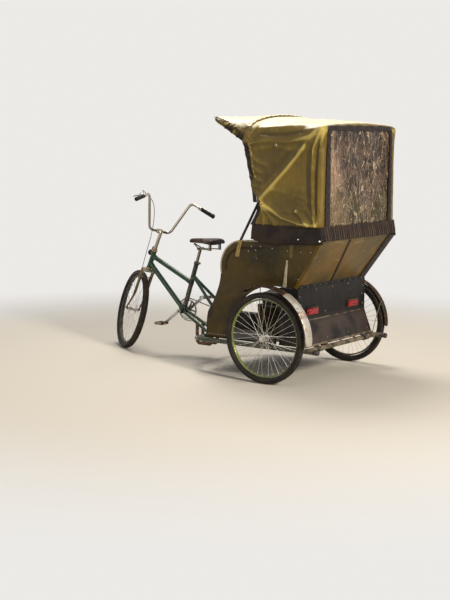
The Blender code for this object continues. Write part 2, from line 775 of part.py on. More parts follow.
def front_frame(paints):
    """Diamond-like frame of brazed tubes, with the head and bottom bracket bored."""
    crank = seat_point(0)
    head = sweep([head_point(0), head_point(HEAD_LENGTH)], HEAD_RADIUS, ROUND_STEPS)
    top_tube = sweep([head_point(TOP_TUBE_AT_HEAD), seat_point(TOP_TUBE_AT_SEAT)],
                     TOP_TUBE_RADIUS)
    down_tube = sweep([head_point(DOWN_TUBE_AT_HEAD), crank], DOWN_TUBE_RADIUS)
    seat_tube = sweep([crank, seat_point(SEAT_TUBE_LENGTH)], SEAT_TUBE_RADIUS, ROUND_STEPS)
    half = SHELL_WIDTH / 2
    shell = moved(disc(-half, half, SHELL_RADIUS), crank)
    parts = [seat_tube, head, top_tube, down_tube, shell]
    for side in (1, -1):
        near = Vector((side * (half - STAY_RADIUS), 0, 0))
        far = Vector((side * STAY_SPREAD, AXLE_Y + NOSE_Y, NOSE_Z))
        gap = (far - crank).normalized() * (RAIL_TUBE + STAY_RADIUS / 4)
        parts.append(sweep([crank + near, far - gap], STAY_RADIUS))
        top = seat_point(BRACE_AT_SEAT)
        low = Vector((side * BRACE_SPREAD, AXLE_Y + BRACE_TUBE_Y, RAIL_Z))
        gap = (low - top).normalized() * (RAIL_TUBE + BRACE_RADIUS / 4)
        parts.append(sweep([top, low - gap], BRACE_RADIUS))
    mesh = fuse(parts + guard_loop())
    reach = OVERRUN * 2
    cutters = [sweep([head_point(-reach), head_point(HEAD_LENGTH + reach)], HEAD_BORE,
                     ROUND_STEPS),
               sweep([seat_point(SEAT_TUBE_LENGTH - POST_SOCKET),
                      seat_point(SEAT_TUBE_LENGTH + reach)], SEAT_POST_RADIUS + SEAT_GAP,
                     ROUND_STEPS),
               moved(disc(-half - reach, half + reach, SPINDLE_RADIUS + SPINDLE_CLEARANCE), crank)]
    for cutter in cutters:
        mesh = combine(mesh, cutter, "DIFFERENCE")
    place("front_frame", mesh, paints["frame_green"])
    for name, low in (("lower", -CUP_HEIGHT), ("upper", HEAD_LENGTH + SEAT_GAP)):
        cup = disc(low, low + CUP_HEIGHT - SEAT_GAP, CUP_RADIUS, ROUND_STEPS, HEAD_BORE)
        turn = Vector((1, 0, 0)).rotation_difference(head_point(HEAD_LENGTH) - head_point(0))
        turn = turn.to_euler()
        place(f"headset_{name}", cup, paints["chrome"], None, head_point(0), turn)


def seat_group(paints):
    """Seat post, sprung frame and the saddle's shell."""
    low = SEAT_TUBE_LENGTH - POST_SOCKET + SEAT_GAP
    top_z = SADDLE_TOP_Z - SADDLE_THICK - SPRING_HEIGHT - SEAT_GAP
    high = (top_z - CRANK_Z) / cos(SEAT_TUBE_LEAN)
    post = sweep([seat_point(low), seat_point(high)], SEAT_POST_RADIUS, ROUND_STEPS)
    head = seat_point(high)
    rail_z = head.z
    back_y = AXLE_Y + SADDLE_CENTRE_Y + SADDLE_LENGTH * RAIL_SHARE
    nose_y = AXLE_Y + SADDLE_CENTRE_Y - SADDLE_LENGTH * RAIL_SHARE
    parts = [post]
    for side in (1, -1):
        x = side * SADDLE_WIDTH * SPRING_SHARE
        tip = Vector((side * RAIL_RADIUS, nose_y, rail_z + SPRING_HEIGHT - RAIL_RADIUS * 2))
        knee = Vector((x * KNEE_SHARE, head.y, rail_z))
        parts.append(sweep([tip, knee, Vector((x, back_y, rail_z))], RAIL_RADIUS, ROD_SIDES))
        spring = [(x, back_y, rail_z - RAIL_RADIUS), (x, back_y, rail_z + SPRING_HEIGHT)]
        parts.append(sweep(spring, SPRING_RADIUS, TUBE_SIDES))
    reach = SADDLE_WIDTH * SEAT_CLAMP_SHARE
    clamp = sweep([(-reach, head.y, rail_z), (reach, head.y, rail_z)], SEAT_POST_RADIUS)
    parts.append(clamp)
    place("seat_post", fuse(parts), paints["steel"])
    low_z = rail_z + SPRING_HEIGHT + SEAT_GAP
    shares = [(0.00, 0.55, 0.55), (0.06, 1.00, 0.75), (0.30, 1.15, 0.85), (0.50, 1.60, 0.90),
              (0.70, 3.20, 0.98), (0.86, 4.15, 1.00), (0.96, 3.90, 0.92), (1.00, 3.20, 0.70)]
    section_shares = [(-1, 0), (-1, 0.55), (-0.72, 0.9), (0, 1), (0.72, 0.9), (1, 0.55), (1, 0)]
    rings = []
    for along, wide, tall in shares:
        y = AXLE_Y + SADDLE_CENTRE_Y + SADDLE_LENGTH * (along - 1 / 2)
        half = SADDLE_NOSE_WIDTH * wide / 2
        height = (SADDLE_TOP_Z - low_z) * tall
        rings.append([Vector((half * across, y, low_z + height * up))
                      for across, up in section_shares])
    place("saddle", loft(rings), paints["saddle_brown"])


# Drive

def crankset(paints):
    """Spindle, chainring with its spider, and two arms; a pivot for each pedal."""
    crank = pivot("crank_axis", seat_point(0), (CRANK_ANGLE, 0, 0))
    reach = ARM_X + CRANK_THICK + OVERRUN
    parts = [disc(-reach, reach, SPINDLE_RADIUS)]
    ring_low = CHAINRING_X - CHAINRING_THICK / 2
    parts.append(disc(ring_low, ring_low + CHAINRING_THICK, CHAINRING_RADIUS, WHEEL_STEPS // 2,
                      CHAINRING_RADIUS * CHAINRING_BORE_SHARE))
    for index in range(SPIDER_ARMS):
        arm = block((ring_low + SEAT_GAP, -SPIDER_WIDTH / 2, SPINDLE_RADIUS / 2),
                    (ring_low + CHAINRING_THICK - SEAT_GAP * 2, SPIDER_WIDTH / 2,
                     CHAINRING_RADIUS * SPIDER_REACH_SHARE))
        parts.append(moved(arm, rotation=(PI2 * (index + 1 / 3) / SPIDER_ARMS, 0, 0)))
    pedal_x = {}
    for side in (1, -1):
        near = ARM_X
        low = min(side * near, side * (near + CRANK_THICK))
        outline = arc((0, 0), CRANK_WIDTH / 2, 0, pi, 4)
        outline += arc((0, -CRANK_LENGTH), CRANK_WIDTH / 2 * CRANK_END_SHARE, pi, PI2, 4)
        arm = prism(outline, low, low + CRANK_THICK)
        parts.append(moved(arm, rotation=(0 if side > 0 else pi, 0, 0)))
        pin_low, pin_high = sorted((side * (near + CRANK_THICK / 2),
                                    side * (near + CRANK_THICK + PEDAL_LENGTH)))
        pin = disc(pin_low, pin_high, PEDAL_PIN, TUBE_SIDES)
        parts.append(moved(pin, (0, 0, -side * CRANK_LENGTH)))
        pedal_x[side] = side * (near + CRANK_THICK + MOVING_GAP)
    place("crankset", fuse(parts), paints["alloy"], crank)
    for side, name in ((1, "left"), (-1, "right")):
        pedal(paints, crank, side, name, pedal_x[side])


def pedal(paints, crank, side, name, inner):
    """A block pedal that turns on the arm's pin and stays level at rest."""
    axis = pivot(f"pedal_axis_{name}", (0, 0, -side * CRANK_LENGTH), (-CRANK_ANGLE, 0, 0), crank)
    outer = inner + side * (PEDAL_LENGTH - MOVING_GAP + OVERRUN)
    low, high = sorted((inner, outer))
    wide = PEDAL_WIDTH / 2
    thick = PEDAL_THICK / 2
    body = block((low, -wide, -thick), (high, wide, thick))
    hole = disc(low - OVERRUN, high + OVERRUN, PEDAL_PIN + SPINDLE_CLEARANCE, TUBE_SIDES)
    place(f"pedal_{name}", combine(body, hole, "DIFFERENCE"), paints["rubber"], axis)


def chain_loop(first, first_radius, second, second_radius, x, name, material):
    """A closed chain band round two wheels, clear of both by the chain clearance."""
    span = Vector(second) - Vector(first)
    distance = span.length
    base = atan2(span.y, span.x)
    spread = (first_radius - second_radius) / distance
    lean = pi / 2 - spread
    def outline(extra):
        start = arc(first, first_radius + extra, base + lean, base + PI2 - lean,
                    CHAIN_STEPS)
        back = arc(second, second_radius + extra, base - lean, base + lean, CHAIN_STEPS // 2)
        return start + back
    inner = outline(CHAIN_CLEARANCE)
    outer = outline(CHAIN_CLEARANCE + CHAIN_DEPTH)
    low = x - CHAIN_WIDTH / 2
    high = x + CHAIN_WIDTH / 2
    rings = []
    for inside, outside in zip(inner, outer):
        rings.append([Vector((low, *inside)), Vector((high, *inside)),
                      Vector((high, *outside)), Vector((low, *outside))])
    place(name, loft(rings, closed=True), material)


def drive(paints):
    """Chain from the crank to the jackshaft under the floor, and on to the rear axle."""
    crank = (AXLE_Y + CRANK_Y, CRANK_Z)
    jack = (AXLE_Y + JACK_Y, JACK_Z)
    chain_loop(crank, CHAINRING_RADIUS, jack, SPROCKET_RADIUS, CHAINRING_X, "front_chain",
               paints["steel"])
    shaft_reach = NOSE_X / 2
    profile = [(-shaft_reach, 0), (-shaft_reach, JACK_SHAFT_RADIUS)]
    for x in (CHAINRING_X, REAR_CHAIN_X):
        low = x - CHAINRING_THICK / 2
        high = x + CHAINRING_THICK / 2
        profile += [(low, JACK_SHAFT_RADIUS), (low, SPROCKET_RADIUS)]
        profile += [(high, SPROCKET_RADIUS), (high, JACK_SHAFT_RADIUS)]
    profile += [(shaft_reach, JACK_SHAFT_RADIUS), (shaft_reach, 0)]
    place("jackshaft", moved(turned(profile), (0, *jack)), paints["steel"])
    rear = (AXLE_Y, TYRE_RADIUS)
    chain_loop(rear, SPROCKET_RADIUS, jack, SPROCKET_RADIUS, REAR_CHAIN_X, "rear_chain",
               paints["steel"])


# Cab frame

def cab_frame(paints):
    """Ladder of round tubes: two side rails that close in to a nose, and cross tubes."""
    parts = []
    y = AXLE_Y
    end = STUB_END - CAP_LENGTH - SEAT_GAP
    for side in (1, -1):
        path = [(side * RAIL_X, y + end, RAIL_Z), (side * RAIL_X, y + RAIL_FRONT, RAIL_Z),
                (side * NOSE_X, y + NOSE_Y, NOSE_Z), (0, y + NOSE_Y, NOSE_Z)]
        parts.append(sweep(bent(path, RAIL_BEND), RAIL_TUBE))
        parts.append(jack_bracket(side))
    for cross in (REAR_TUBE_Y, FLOOR_TUBE_Y, BRACE_TUBE_Y):
        parts.append(sweep([(-RAIL_X, y + cross, RAIL_Z), (RAIL_X, y + cross, RAIL_Z)], RAIL_TUBE))
    for side in (1, -1):
        low = RAIL_Z
        x = side * RAIL_X
        low_x, high_x = sorted((x - BEARING_THICK / 2, x + BEARING_THICK / 2))
        half = BEARING_HEIGHT
        outline = [(y - half, low), (y + half, low),
                   *arc((y, TYRE_RADIUS), BEARING_TOP, 0, pi, ARC_STEPS)]
        parts.append(prism(outline, low_x, high_x))
    axle = sweep([(-RAIL_X, y, TYRE_RADIUS), (RAIL_X, y, TYRE_RADIUS)], AXLE_TUBE,
                 ROUND_STEPS)
    parts.append(axle)
    mesh = fuse(parts)
    reach = BEARING_THICK / 2 + OVERRUN
    for side in (1, -1):
        centre = side * RAIL_X
        hole = disc(centre - reach, centre + reach, DRIVE_SHAFT_RADIUS + AXLE_CLEARANCE)
        mesh = combine(mesh, moved(hole, (0, y, TYRE_RADIUS)), "DIFFERENCE")
    place("cab_frame", mesh, paints["frame_green"])
    for side, name in ((1, "left"), (-1, "right")):
        cap = sweep([(side * RAIL_X, y + STUB_END - CAP_LENGTH, RAIL_Z),
                     (side * RAIL_X, y + STUB_END, RAIL_Z)], CAP_FLANGE, ROUND_STEPS)
        place(f"rail_cap_{name}", cap, paints["plastic"])


def jack_bracket(side):
    """Upright plate on the nose tube, bored for the jackshaft."""
    low, high = sorted((side * BRACKET_X, side * (BRACKET_X + BRACKET_THICK)))
    nose = AXLE_Y + NOSE_Y
    jack = AXLE_Y + JACK_Y
    half = JACK_SHAFT_RADIUS * 2
    top = JACK_Z + half
    outline = [(nose - BRACKET_FOOT, NOSE_Z), (nose + BRACKET_FOOT, NOSE_Z),
               (jack + half, top), (jack - half, top)]
    hole = disc(low - OVERRUN, high + OVERRUN, bore_radius(JACK_SHAFT_RADIUS))
    return combine(prism(outline, low, high), moved(hole, (0, jack, JACK_Z)), "DIFFERENCE")


def guard_loop():
    """Two posts that hang from the stays, with rails back under the nose tube."""
    y = AXLE_Y
    stay_share = (STAND_Y - CRANK_Y) / (NOSE_Y - CRANK_Y)
    z = CRANK_Z + (NOSE_Z - CRANK_Z) * stay_share
    x = SHELL_WIDTH / 2 - STAY_RADIUS + (STAY_SPREAD - SHELL_WIDTH / 2 + STAY_RADIUS) * stay_share
    back_y = y + NOSE_Y
    parts = [sweep(bent([(side * x, y + STAND_Y, z), (side * x, y + STAND_Y, STAND_FOOT_Z),
                         (side * x, back_y, STAND_FOOT_Z),
                         (side * x, back_y, NOSE_Z - RAIL_TUBE - SEAT_GAP)],
                        POST_BEND), POST_RADIUS) for side in (1, -1)]
    cross_y = (y + STAND_Y + back_y) / 2
    parts.append(sweep([(-x, cross_y, STAND_FOOT_Z), (x, cross_y, STAND_FOOT_Z)],
                       POST_CROSS_RADIUS))
    return parts


# Cab body

def half_width(z):
    """Outer half width of the cab at a height; the sides flare outwards."""
    slope = (WING_TOP_HALF - WING_LOW_HALF) / (WING_TOP_Z - WING_LOW_Z)
    return WING_LOW_HALF + max(z - WING_LOW_Z, 0) * slope


def rear_y(z):
    """Outer face of the sloped rear panel at a height."""
    slope = (REAR_TOP_Y - REAR_LOW_Y) / (WING_TOP_Z - WING_LOW_Z)
    return REAR_LOW_Y + (z - WING_LOW_Z) * slope


def wings(paints):
    """Side panels with a rounded front corner and a cut for the wheel."""
    arch = arc((0, TYRE_RADIUS), ARCH_RADIUS, ARCH_FROM, ARCH_TO, ARC_STEPS)
    outline = [(rear_y(WING_LOW_Z), WING_LOW_Z), *arch]
    foot = FLOOR_Z - FLOOR_THICK + SEAT_GAP
    outline += [(-ARCH_RADIUS - WALL, foot), (WING_TOE_Y, foot), (WING_TOE_Y, WING_TOE_Z)]
    run = WING_ARC_Y - WING_ARC_RADIUS - WING_TOE_Y
    rise = WING_ARC_Z - WING_TOE_Z
    outline += [(WING_TOE_Y + run * along, WING_TOE_Z + rise * up) for along, up in WING_SHIN_SHARES]
    outline += arc((WING_ARC_Y, WING_ARC_Z), WING_ARC_RADIUS, WING_ARC_FROM, WING_ARC_TO, ARC_STEPS)
    outline += [(rear_y(WING_TOP_Z - WALL) - WALL, WING_TOP_Z - WALL),
                (rear_y(WING_TOP_Z), WING_TOP_Z)]
    for side, name in ((1, "left"), (-1, "right")):
        rings = []
        for thickness in (0, WALL):
            rings.append([Vector((side * (half_width(z) - thickness), AXLE_Y + y, z))
                          for y, z in outline])
        place(f"side_wing_{name}", loft(rings), paints["cab_olive"])


def rear_panel(paints):
    """Sloped back of the cab between the wings."""
    rings = []
    for z in (WING_LOW_Z, WING_TOP_Z):
        half = half_width(z) - WALL - SEAT_GAP * 2
        y = AXLE_Y + rear_y(z)
        rings.append([Vector((-half, y, z)), Vector((half, y, z)),
                      Vector((half, y - WALL, z)), Vector((-half, y - WALL, z))])
    place("rear_panel", loft(rings), paints["cab_olive"])


def floor_and_seat_base(paints):
    """Floor board, the riser under the seat's front edge, and the seat board."""
    half = half_width(FLOOR_Z) - WALL - SEAT_GAP * 2
    y = AXLE_Y
    low = FLOOR_Z - FLOOR_THICK
    centre = REAR_CHAIN_X
    side = TUNNEL_HALF + FLOOR_THICK
    roof = JACK_Z + SPROCKET_RADIUS + CHAIN_CLEARANCE + CHAIN_DEPTH + TUNNEL_CLEARANCE
    section = [(-half, low), (centre - TUNNEL_HALF, low), (centre - TUNNEL_HALF, roof),
               (centre + TUNNEL_HALF, roof), (centre + TUNNEL_HALF, low), (half, low),
               (half, FLOOR_Z), (centre + side, FLOOR_Z), (centre + side, roof + FLOOR_THICK),
               (centre - side, roof + FLOOR_THICK), (centre - side, FLOOR_Z), (-half, FLOOR_Z)]
    back = y + SEAT_FRONT - WALL
    place("floor_board", prism(section, y + RAIL_FRONT, back, "Y"), paints["floor"])
    riser_low = RAIL_TOP_Z + SEAT_GAP * 2
    riser = block((-half, back + SEAT_GAP, riser_low),
                  (half, y + SEAT_FRONT, SEAT_Z - FLOOR_THICK - SEAT_GAP))
    slot = block((centre - TUNNEL_HALF, back - OVERRUN, riser_low - OVERRUN),
                 (centre + TUNNEL_HALF, y + SEAT_FRONT + OVERRUN, roof))
    place("seat_riser", combine(riser, slot, "DIFFERENCE"), paints["cab_olive"])
    board = block((-half, y + SEAT_FRONT - WALL, SEAT_Z - FLOOR_THICK),
                  (half, y + BOX_FRONT - SEAT_GAP, SEAT_Z))
    place("seat_board", board, paints["floor"])


def storage_box(paints):
    """Open-topped box behind the axle; its rear wall kicks out towards the bottom."""
    y = AXLE_Y
    top = WING_LOW_Z - SEAT_GAP
    outer = [(y + BOX_FRONT, BOX_BOTTOM), (y + KICK_BACK, BOX_BOTTOM), (y + BOX_BACK, KICK_FOLD_Z),
             (y + BOX_BACK, top), (y + BOX_FRONT, top)]
    wall = BOX_WALL
    inner = [(y + BOX_FRONT + wall, BOX_BOTTOM + wall), (y + KICK_BACK - wall, BOX_BOTTOM + wall),
             (y + BOX_BACK - wall, KICK_FOLD_Z), (y + BOX_BACK - wall, top + wall),
             (y + BOX_FRONT + wall, top + wall)]
    low_half = half_width(BOX_BOTTOM) - SEAT_GAP
    shell = prism(outer, -low_half, low_half)
    space = prism(inner, -low_half + wall, low_half - wall)
    place("storage_box", combine(shell, space, "DIFFERENCE"), paints["charcoal"])
    for side, name in ((1, "left"), (-1, "right")):
        centre = side * LIGHT_X
        back = y + BOX_BACK + SEAT_GAP
        light = block((centre - LIGHT_WIDTH / 2, back, LIGHT_Z - LIGHT_HEIGHT / 2),
                      (centre + LIGHT_WIDTH / 2, back + LIGHT_THICK, LIGHT_Z + LIGHT_HEIGHT / 2))
        place(f"tail_light_{name}", light, paints["lamp_red"])


def cushions(paints):
    """Bench cushion and the back cushion that leans on the rear panel."""
    y = AXLE_Y
    half = half_width(SEAT_Z) - WALL - OVERRUN
    low = SEAT_Z + SEAT_GAP
    front = y + SEAT_FRONT - WALL
    back = y + BOX_FRONT - SEAT_GAP * 2
    place("seat_cushion", block((-half, front, low), (half, back, low + CUSHION_HEIGHT)),
          paints["seat_vinyl"])
    low_z = WING_LOW_Z + OVERRUN
    rings = []
    for z in (low_z, WING_TOP_Z - WALL):
        width = half_width(z) - WALL - OVERRUN
        face = y + rear_y(z) - WALL - SEAT_GAP * 2
        rings.append([Vector((-width, face, z)), Vector((width, face, z)),
                      Vector((width, face - BACK_THICK, z)), Vector((-width, face - BACK_THICK, z))])
    place("back_cushion", loft(rings), paints["seat_vinyl"])


def mudguards(paints):
    """Curved guard over each rear wheel, with a rolled section and two footed stays."""
    half = GUARD_WIDTH / 2
    rise = GUARD_DROP
    for side, name in ((1, "left"), (-1, "right")):
        centre = Vector((side * TRACK / 2, AXLE_Y, TYRE_RADIUS))
        rings = []
        for step in range(GUARD_STEPS + 1):
            turn = GUARD_FROM + (GUARD_TO - GUARD_FROM) * step / GUARD_STEPS
            out = Vector((0, cos(turn), sin(turn)))
            section = [(-half, 0), (-half / 2, rise), (half / 2, rise), (half, 0)]
            top = [centre + out * (GUARD_RADIUS + up) + Vector((x, 0, 0)) for x, up in section]
            under = [point - out * GUARD_THICK for point in reversed(top)]
            rings.append(top + under)
        parts = [loft(rings)]
        for turn, foot_y in ((REAR_STAY_TURN, REAR_TUBE_Y - RAIL_TUBE),
                             (FRONT_STAY_TURN, -BEARING_HEIGHT * 3)):
            out = Vector((0, cos(turn), sin(turn)))
            start = centre + out * (GUARD_RADIUS - GUARD_THICK / 2)
            start.x = side * (TRACK / 2 - half + GUARD_STAY)
            foot = Vector((side * RAIL_X, AXLE_Y + foot_y, RAIL_TOP_Z + SEAT_GAP))
            parts.append(sweep([start, foot + Vector((0, 0, GUARD_STAY / 2))], GUARD_STAY, ROD_SIDES))
            spread = Vector((GUARD_FOOT, GUARD_FOOT, 0))
            parts.append(block(foot - spread, foot + spread + Vector((0, 0, GUARD_STAY * 2))))
        guard = fuse(parts)
        below = block((-TRACK, 0, RAIL_TOP_Z - GUARD_FOOT), (TRACK, 2 * AXLE_Y, RAIL_TOP_Z + SEAT_GAP))
        place(f"mudguard_{name}", combine(guard, below, "DIFFERENCE"), paints["guard_silver"])


# Hood

def hood_front(z):
    """Front edge of the hood's side at a height: it leans back to the pivot, then stands."""
    if z < HOOD_PINCH_Z:
        share = (HOOD_PINCH_Z - z) / (HOOD_PINCH_Z - HOOD_LOW_Z)
        return HOOD_FRONT_PINCH + (HOOD_FRONT_LOW - HOOD_FRONT_PINCH) * share
    share = (HOOD_SHOULDER_Z - z) / (HOOD_SHOULDER_Z - HOOD_PINCH_Z)
    return HOOD_FRONT_TOP + (HOOD_FRONT_PINCH - HOOD_FRONT_TOP) * max(share, 0)


def hood_arch(share, inset=0):
    """Cross-section of the hood at a share of its length, from the lower left over the top."""
    low = HOOD_LOW_HALF - inset
    top = HOOD_HALF - inset
    crown = HOOD_CROWN_Z + (HOOD_REAR_Z - HOOD_CROWN_Z) * share - inset
    shoulder = HOOD_SHOULDER_Z + (HOOD_REAR_SHOULDER_Z - HOOD_SHOULDER_Z) * share
    pinch_share = (HOOD_PINCH_Z - HOOD_LOW_Z) / (shoulder - HOOD_LOW_Z)
    left = [(low, HOOD_LOW_Z), (low + (top - low) * pinch_share, HOOD_PINCH_Z)]
    left += [(top * across, shoulder + (crown - shoulder) * up) for across, up in SHOULDER_SHARES]
    right = [(-x, z) for x, z in reversed(left)]
    return left + [(0, crown)] + right


def hood(paints):
    """Hood shell, one curved sheet open at the front and below, closed by its rear wall."""
    rows = []
    for step in range(HOOD_STEPS + 1):
        share = step / HOOD_STEPS
        outer = hood_arch(share)
        inner = hood_arch(share, HOOD_WALL)
        points = []
        for x, z in outer + inner[::-1]:
            front = hood_front(z)
            points.append(Vector((x, AXLE_Y + front + (HOOD_BACK - front) * share, z)))
        rows.append(points)
    place("hood", loft(rows), paints["hood_vinyl"])
    face = AXLE_Y + HOOD_BACK - SEAT_GAP
    outline = hood_arch(1, HOOD_WALL + SEAT_GAP * 4)
    wall = prism(outline, face - HOOD_WALL, face, "Y")
    hole = block((-WINDOW_HALF, face - HOOD_WALL * 2, WINDOW_LOW),
                 (WINDOW_HALF, face + HOOD_WALL, WINDOW_TOP))
    place("hood_rear", combine(wall, hole, "DIFFERENCE"), paints["hood_vinyl"])
    half = WINDOW_HALF - SEAT_GAP
    middle = face - HOOD_WALL / 2
    pane = block((-half, middle - WINDOW_THICK / 2, WINDOW_LOW + SEAT_GAP),
                 (half, middle + WINDOW_THICK / 2, WINDOW_TOP - SEAT_GAP))
    place("rear_window", pane, paints["clear_vinyl"])
    visor(paints)


def visor(paints):
    """Flap that reaches forward and up from the hood's front arch."""
    arch = [(x, z) for x, z in hood_arch(0) if z >= HOOD_SHOULDER_Z]
    rings = []
    for x, z in arch:
        root = AXLE_Y + hood_front(z) - SEAT_GAP * 2
        tip = AXLE_Y + VISOR_TIP
        tip_z = VISOR_TIP_Z + (z - HOOD_SHOULDER_Z) * VISOR_DROP
        inner_x = x - (HOOD_WALL if x > 0 else -HOOD_WALL if x < 0 else 0)
        rings.append([Vector((x, root, z)), Vector((x, tip, tip_z)),
                      Vector((inner_x, tip, tip_z - VISOR_DROP)),
                      Vector((inner_x, root, z - VISOR_DROP))])
    place("visor", loft(rings), paints["hood_vinyl"])


def skirt(paints):
    """Band that closes the gap between the hood and the cab at the back and the sides."""
    grow = SEAT_GAP * 3
    front = AXLE_Y + HOOD_FRONT_LOW
    half = WING_TOP_HALF + grow
    back = AXLE_Y + REAR_TOP_Y + grow
    outer = [(half + BAND_THICK, front), (half + BAND_THICK, back + BAND_THICK),
             (-half - BAND_THICK, back + BAND_THICK), (-half - BAND_THICK, front)]
    inner = [(-half, front), (-half, back), (half, back), (half, front)]
    place("skirt_band", prism(outer + inner, BAND_LOW_REAR, HOOD_LOW_Z - SEAT_GAP, "Z"),
          paints["skirt_dark"])


def wing_top(y):
    """Height of the wing's top edge behind its rounded corner."""
    front_y = WING_ARC_Y + WING_ARC_RADIUS * cos(WING_ARC_TO)
    front_z = WING_ARC_Z + WING_ARC_RADIUS * sin(WING_ARC_TO)
    back_y = rear_y(WING_TOP_Z - WALL) - WALL
    share = (y - front_y) / (back_y - front_y)
    return front_z + (WING_TOP_Z - WALL - front_z) * share


def bow_arch(share, inset, low_z):
    """Half of a bow, from a height on the side to the crown."""
    points = []
    for x, z in hood_arch(share, inset):
        if x < 0 or z < low_z:
            continue
        front = hood_front(z)
        points.append(Vector((x, AXLE_Y + front + (HOOD_BACK - front) * share, z)))
    return points


def bows(paints):
    """Steel bows: the front one hangs on the main one's pivot, and the others stand on the wings."""
    inset = HOOD_WALL + BOW_RADIUS + BOW_CLEARANCE
    pivot_x = HOOD_LOW_HALF - inset - BOW_CLEARANCE
    shoulder = HOOD_SHOULDER_Z - BOW_RADIUS
    main_pivot = Vector((pivot_x, AXLE_Y + BOW_PIVOT_Y, BOW_PIVOT_Z))
    inner_pivot = main_pivot - Vector((BOW_RADIUS * 2 + SEAT_GAP, 0, 0))
    front = bow_arch(FRONT_BOW_SHARE, inset, shoulder)
    rear = bow_arch(REAR_BOW_SHARE, inset, 0)
    rear_foot = rear[0].copy()
    feet = {"front": [inner_pivot], "rear": [rear_foot],
            "middle": [Vector((pivot_x, AXLE_Y + BOW_FOOT_Y, 0)), main_pivot]}
    halves = {"front": front, "rear": rear, "middle": bow_arch(MIDDLE_BOW_SHARE, inset, shoulder)}
    for name, half in halves.items():
        lead = feet[name]
        if name != "front":
            foot_z = wing_top(lead[0].y - AXLE_Y) + SEAT_GAP
            lead[0].x = half_width(foot_z) - WALL / 2
            lead[0].z = foot_z
            run = (lead + half)[1] - lead[0]
            lead[0].z += BOW_RADIUS * Vector((run.x, run.y)).length / run.length
        left = lead + half
        right = [Vector((-point.x, point.y, point.z)) for point in reversed(left[:-1])]
        place(f"hood_bow_{name}", sweep(left + right, BOW_RADIUS), paints["steel"])


def paints_table():
    """Colours and finishes, linear."""
    table = {
        "frame_green": ((0.050, 0.130, 0.070), 0.30, 0.2), "frame_dark": ((0.03, 0.035, 0.03), 0.5),
        "steel": ((0.35, 0.35, 0.36), 0.35, 1.0), "chrome": ((0.75, 0.75, 0.76), 0.12, 1.0),
        "alloy": ((0.55, 0.55, 0.56), 0.30, 1.0), "tyre": ((0.025, 0.024, 0.022), 0.85),
        "rim_green": ((0.20, 0.27, 0.06), 0.35, 0.4), "rim_dark": ((0.10, 0.10, 0.10), 0.35, 0.8),
        "rubber": ((0.02, 0.02, 0.02), 0.7), "plastic": ((0.03, 0.03, 0.03), 0.5),
        "saddle_brown": ((0.16, 0.09, 0.07), 0.5), "cab_olive": ((0.26, 0.20, 0.07), 0.4),
        "charcoal": ((0.03, 0.032, 0.036), 0.45), "floor": ((0.05, 0.045, 0.04), 0.8),
        "lamp_red": ((0.45, 0.01, 0.01), 0.2), "seat_vinyl": ((0.06, 0.04, 0.03), 0.5),
        "guard_silver": ((0.60, 0.60, 0.58), 0.3, 0.6), "hood_vinyl": ((0.45, 0.38, 0.08), 0.35),
        "clear_vinyl": ((0.45, 0.36, 0.22), 0.15), "skirt_dark": ((0.03, 0.02, 0.025), 0.5),
    }
    return {name: paint(name, *values) for name, values in table.items()}


def build():
    clear_scene()
    paints = paints_table()
    rear_wheels(paints)
    bottom, drop = steering_place()
    steering = pivot("steering_axis", bottom)
    steering.matrix_world = (Matrix.Translation(bottom) @ Matrix.Rotation(-HEAD_LEAN, 4, "X")
                             @ Matrix.Rotation(-STEER_REST, 4, "Z"))
    front_wheel(paints, steering)
    fork(paints, steering)
    handlebar(paints, steering)
    front_brake(paints, steering)
    brake_cable(paints, steering)
    front_frame(paints)
    seat_group(paints)
    crankset(paints)
    drive(paints)
    cab_frame(paints)
    wings(paints)
    rear_panel(paints)
    floor_and_seat_base(paints)
    storage_box(paints)
    cushions(paints)
    mudguards(paints)
    hood(paints)
    skirt(paints)
    bows(paints)


build()
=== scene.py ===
"""Dress of the cycle rickshaw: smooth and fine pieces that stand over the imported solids.

Metres, +Z up, +Y to the back, +X to the rider's left. Places are measured along Y from the
rear axle; `at` puts them in the part's frame, and the steering's pieces are made in its own frame.
"""
from math import atan2, cos, exp, hypot, pi, radians, sin, sqrt, tan

import bmesh
import bpy
from mathutils import Matrix, Vector, noise


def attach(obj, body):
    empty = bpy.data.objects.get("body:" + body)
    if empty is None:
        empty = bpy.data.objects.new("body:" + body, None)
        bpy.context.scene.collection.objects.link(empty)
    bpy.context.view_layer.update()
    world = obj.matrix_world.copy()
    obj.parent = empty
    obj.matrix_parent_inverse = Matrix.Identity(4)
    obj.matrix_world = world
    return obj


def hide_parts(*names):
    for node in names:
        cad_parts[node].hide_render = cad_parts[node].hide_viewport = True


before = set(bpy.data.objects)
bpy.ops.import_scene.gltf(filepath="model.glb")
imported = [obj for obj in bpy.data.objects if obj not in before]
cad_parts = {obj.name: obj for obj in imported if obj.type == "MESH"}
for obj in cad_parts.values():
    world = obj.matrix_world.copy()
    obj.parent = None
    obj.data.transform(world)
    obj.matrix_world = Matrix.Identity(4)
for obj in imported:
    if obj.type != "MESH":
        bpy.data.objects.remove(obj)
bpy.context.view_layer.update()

AXLE_Y = 0.8058
AXLE_Z = 0.335
SEAT_GAP = 0.0003
PI2 = 2 * pi
SIDES = (("left", 1), ("right", -1))


# Shapes

def at(x, y, z):
    """A point whose Y is measured from the rear axle."""
    return Vector((x, AXLE_Y + y, z))


def clamp(value, low=0.0, high=1.0):
    return max(low, min(high, value))


def ease(value):
    value = clamp(value)
    return value * value * (3 - 2 * value)


def blend_points(a, b, share):
    return a + (b - a) * share


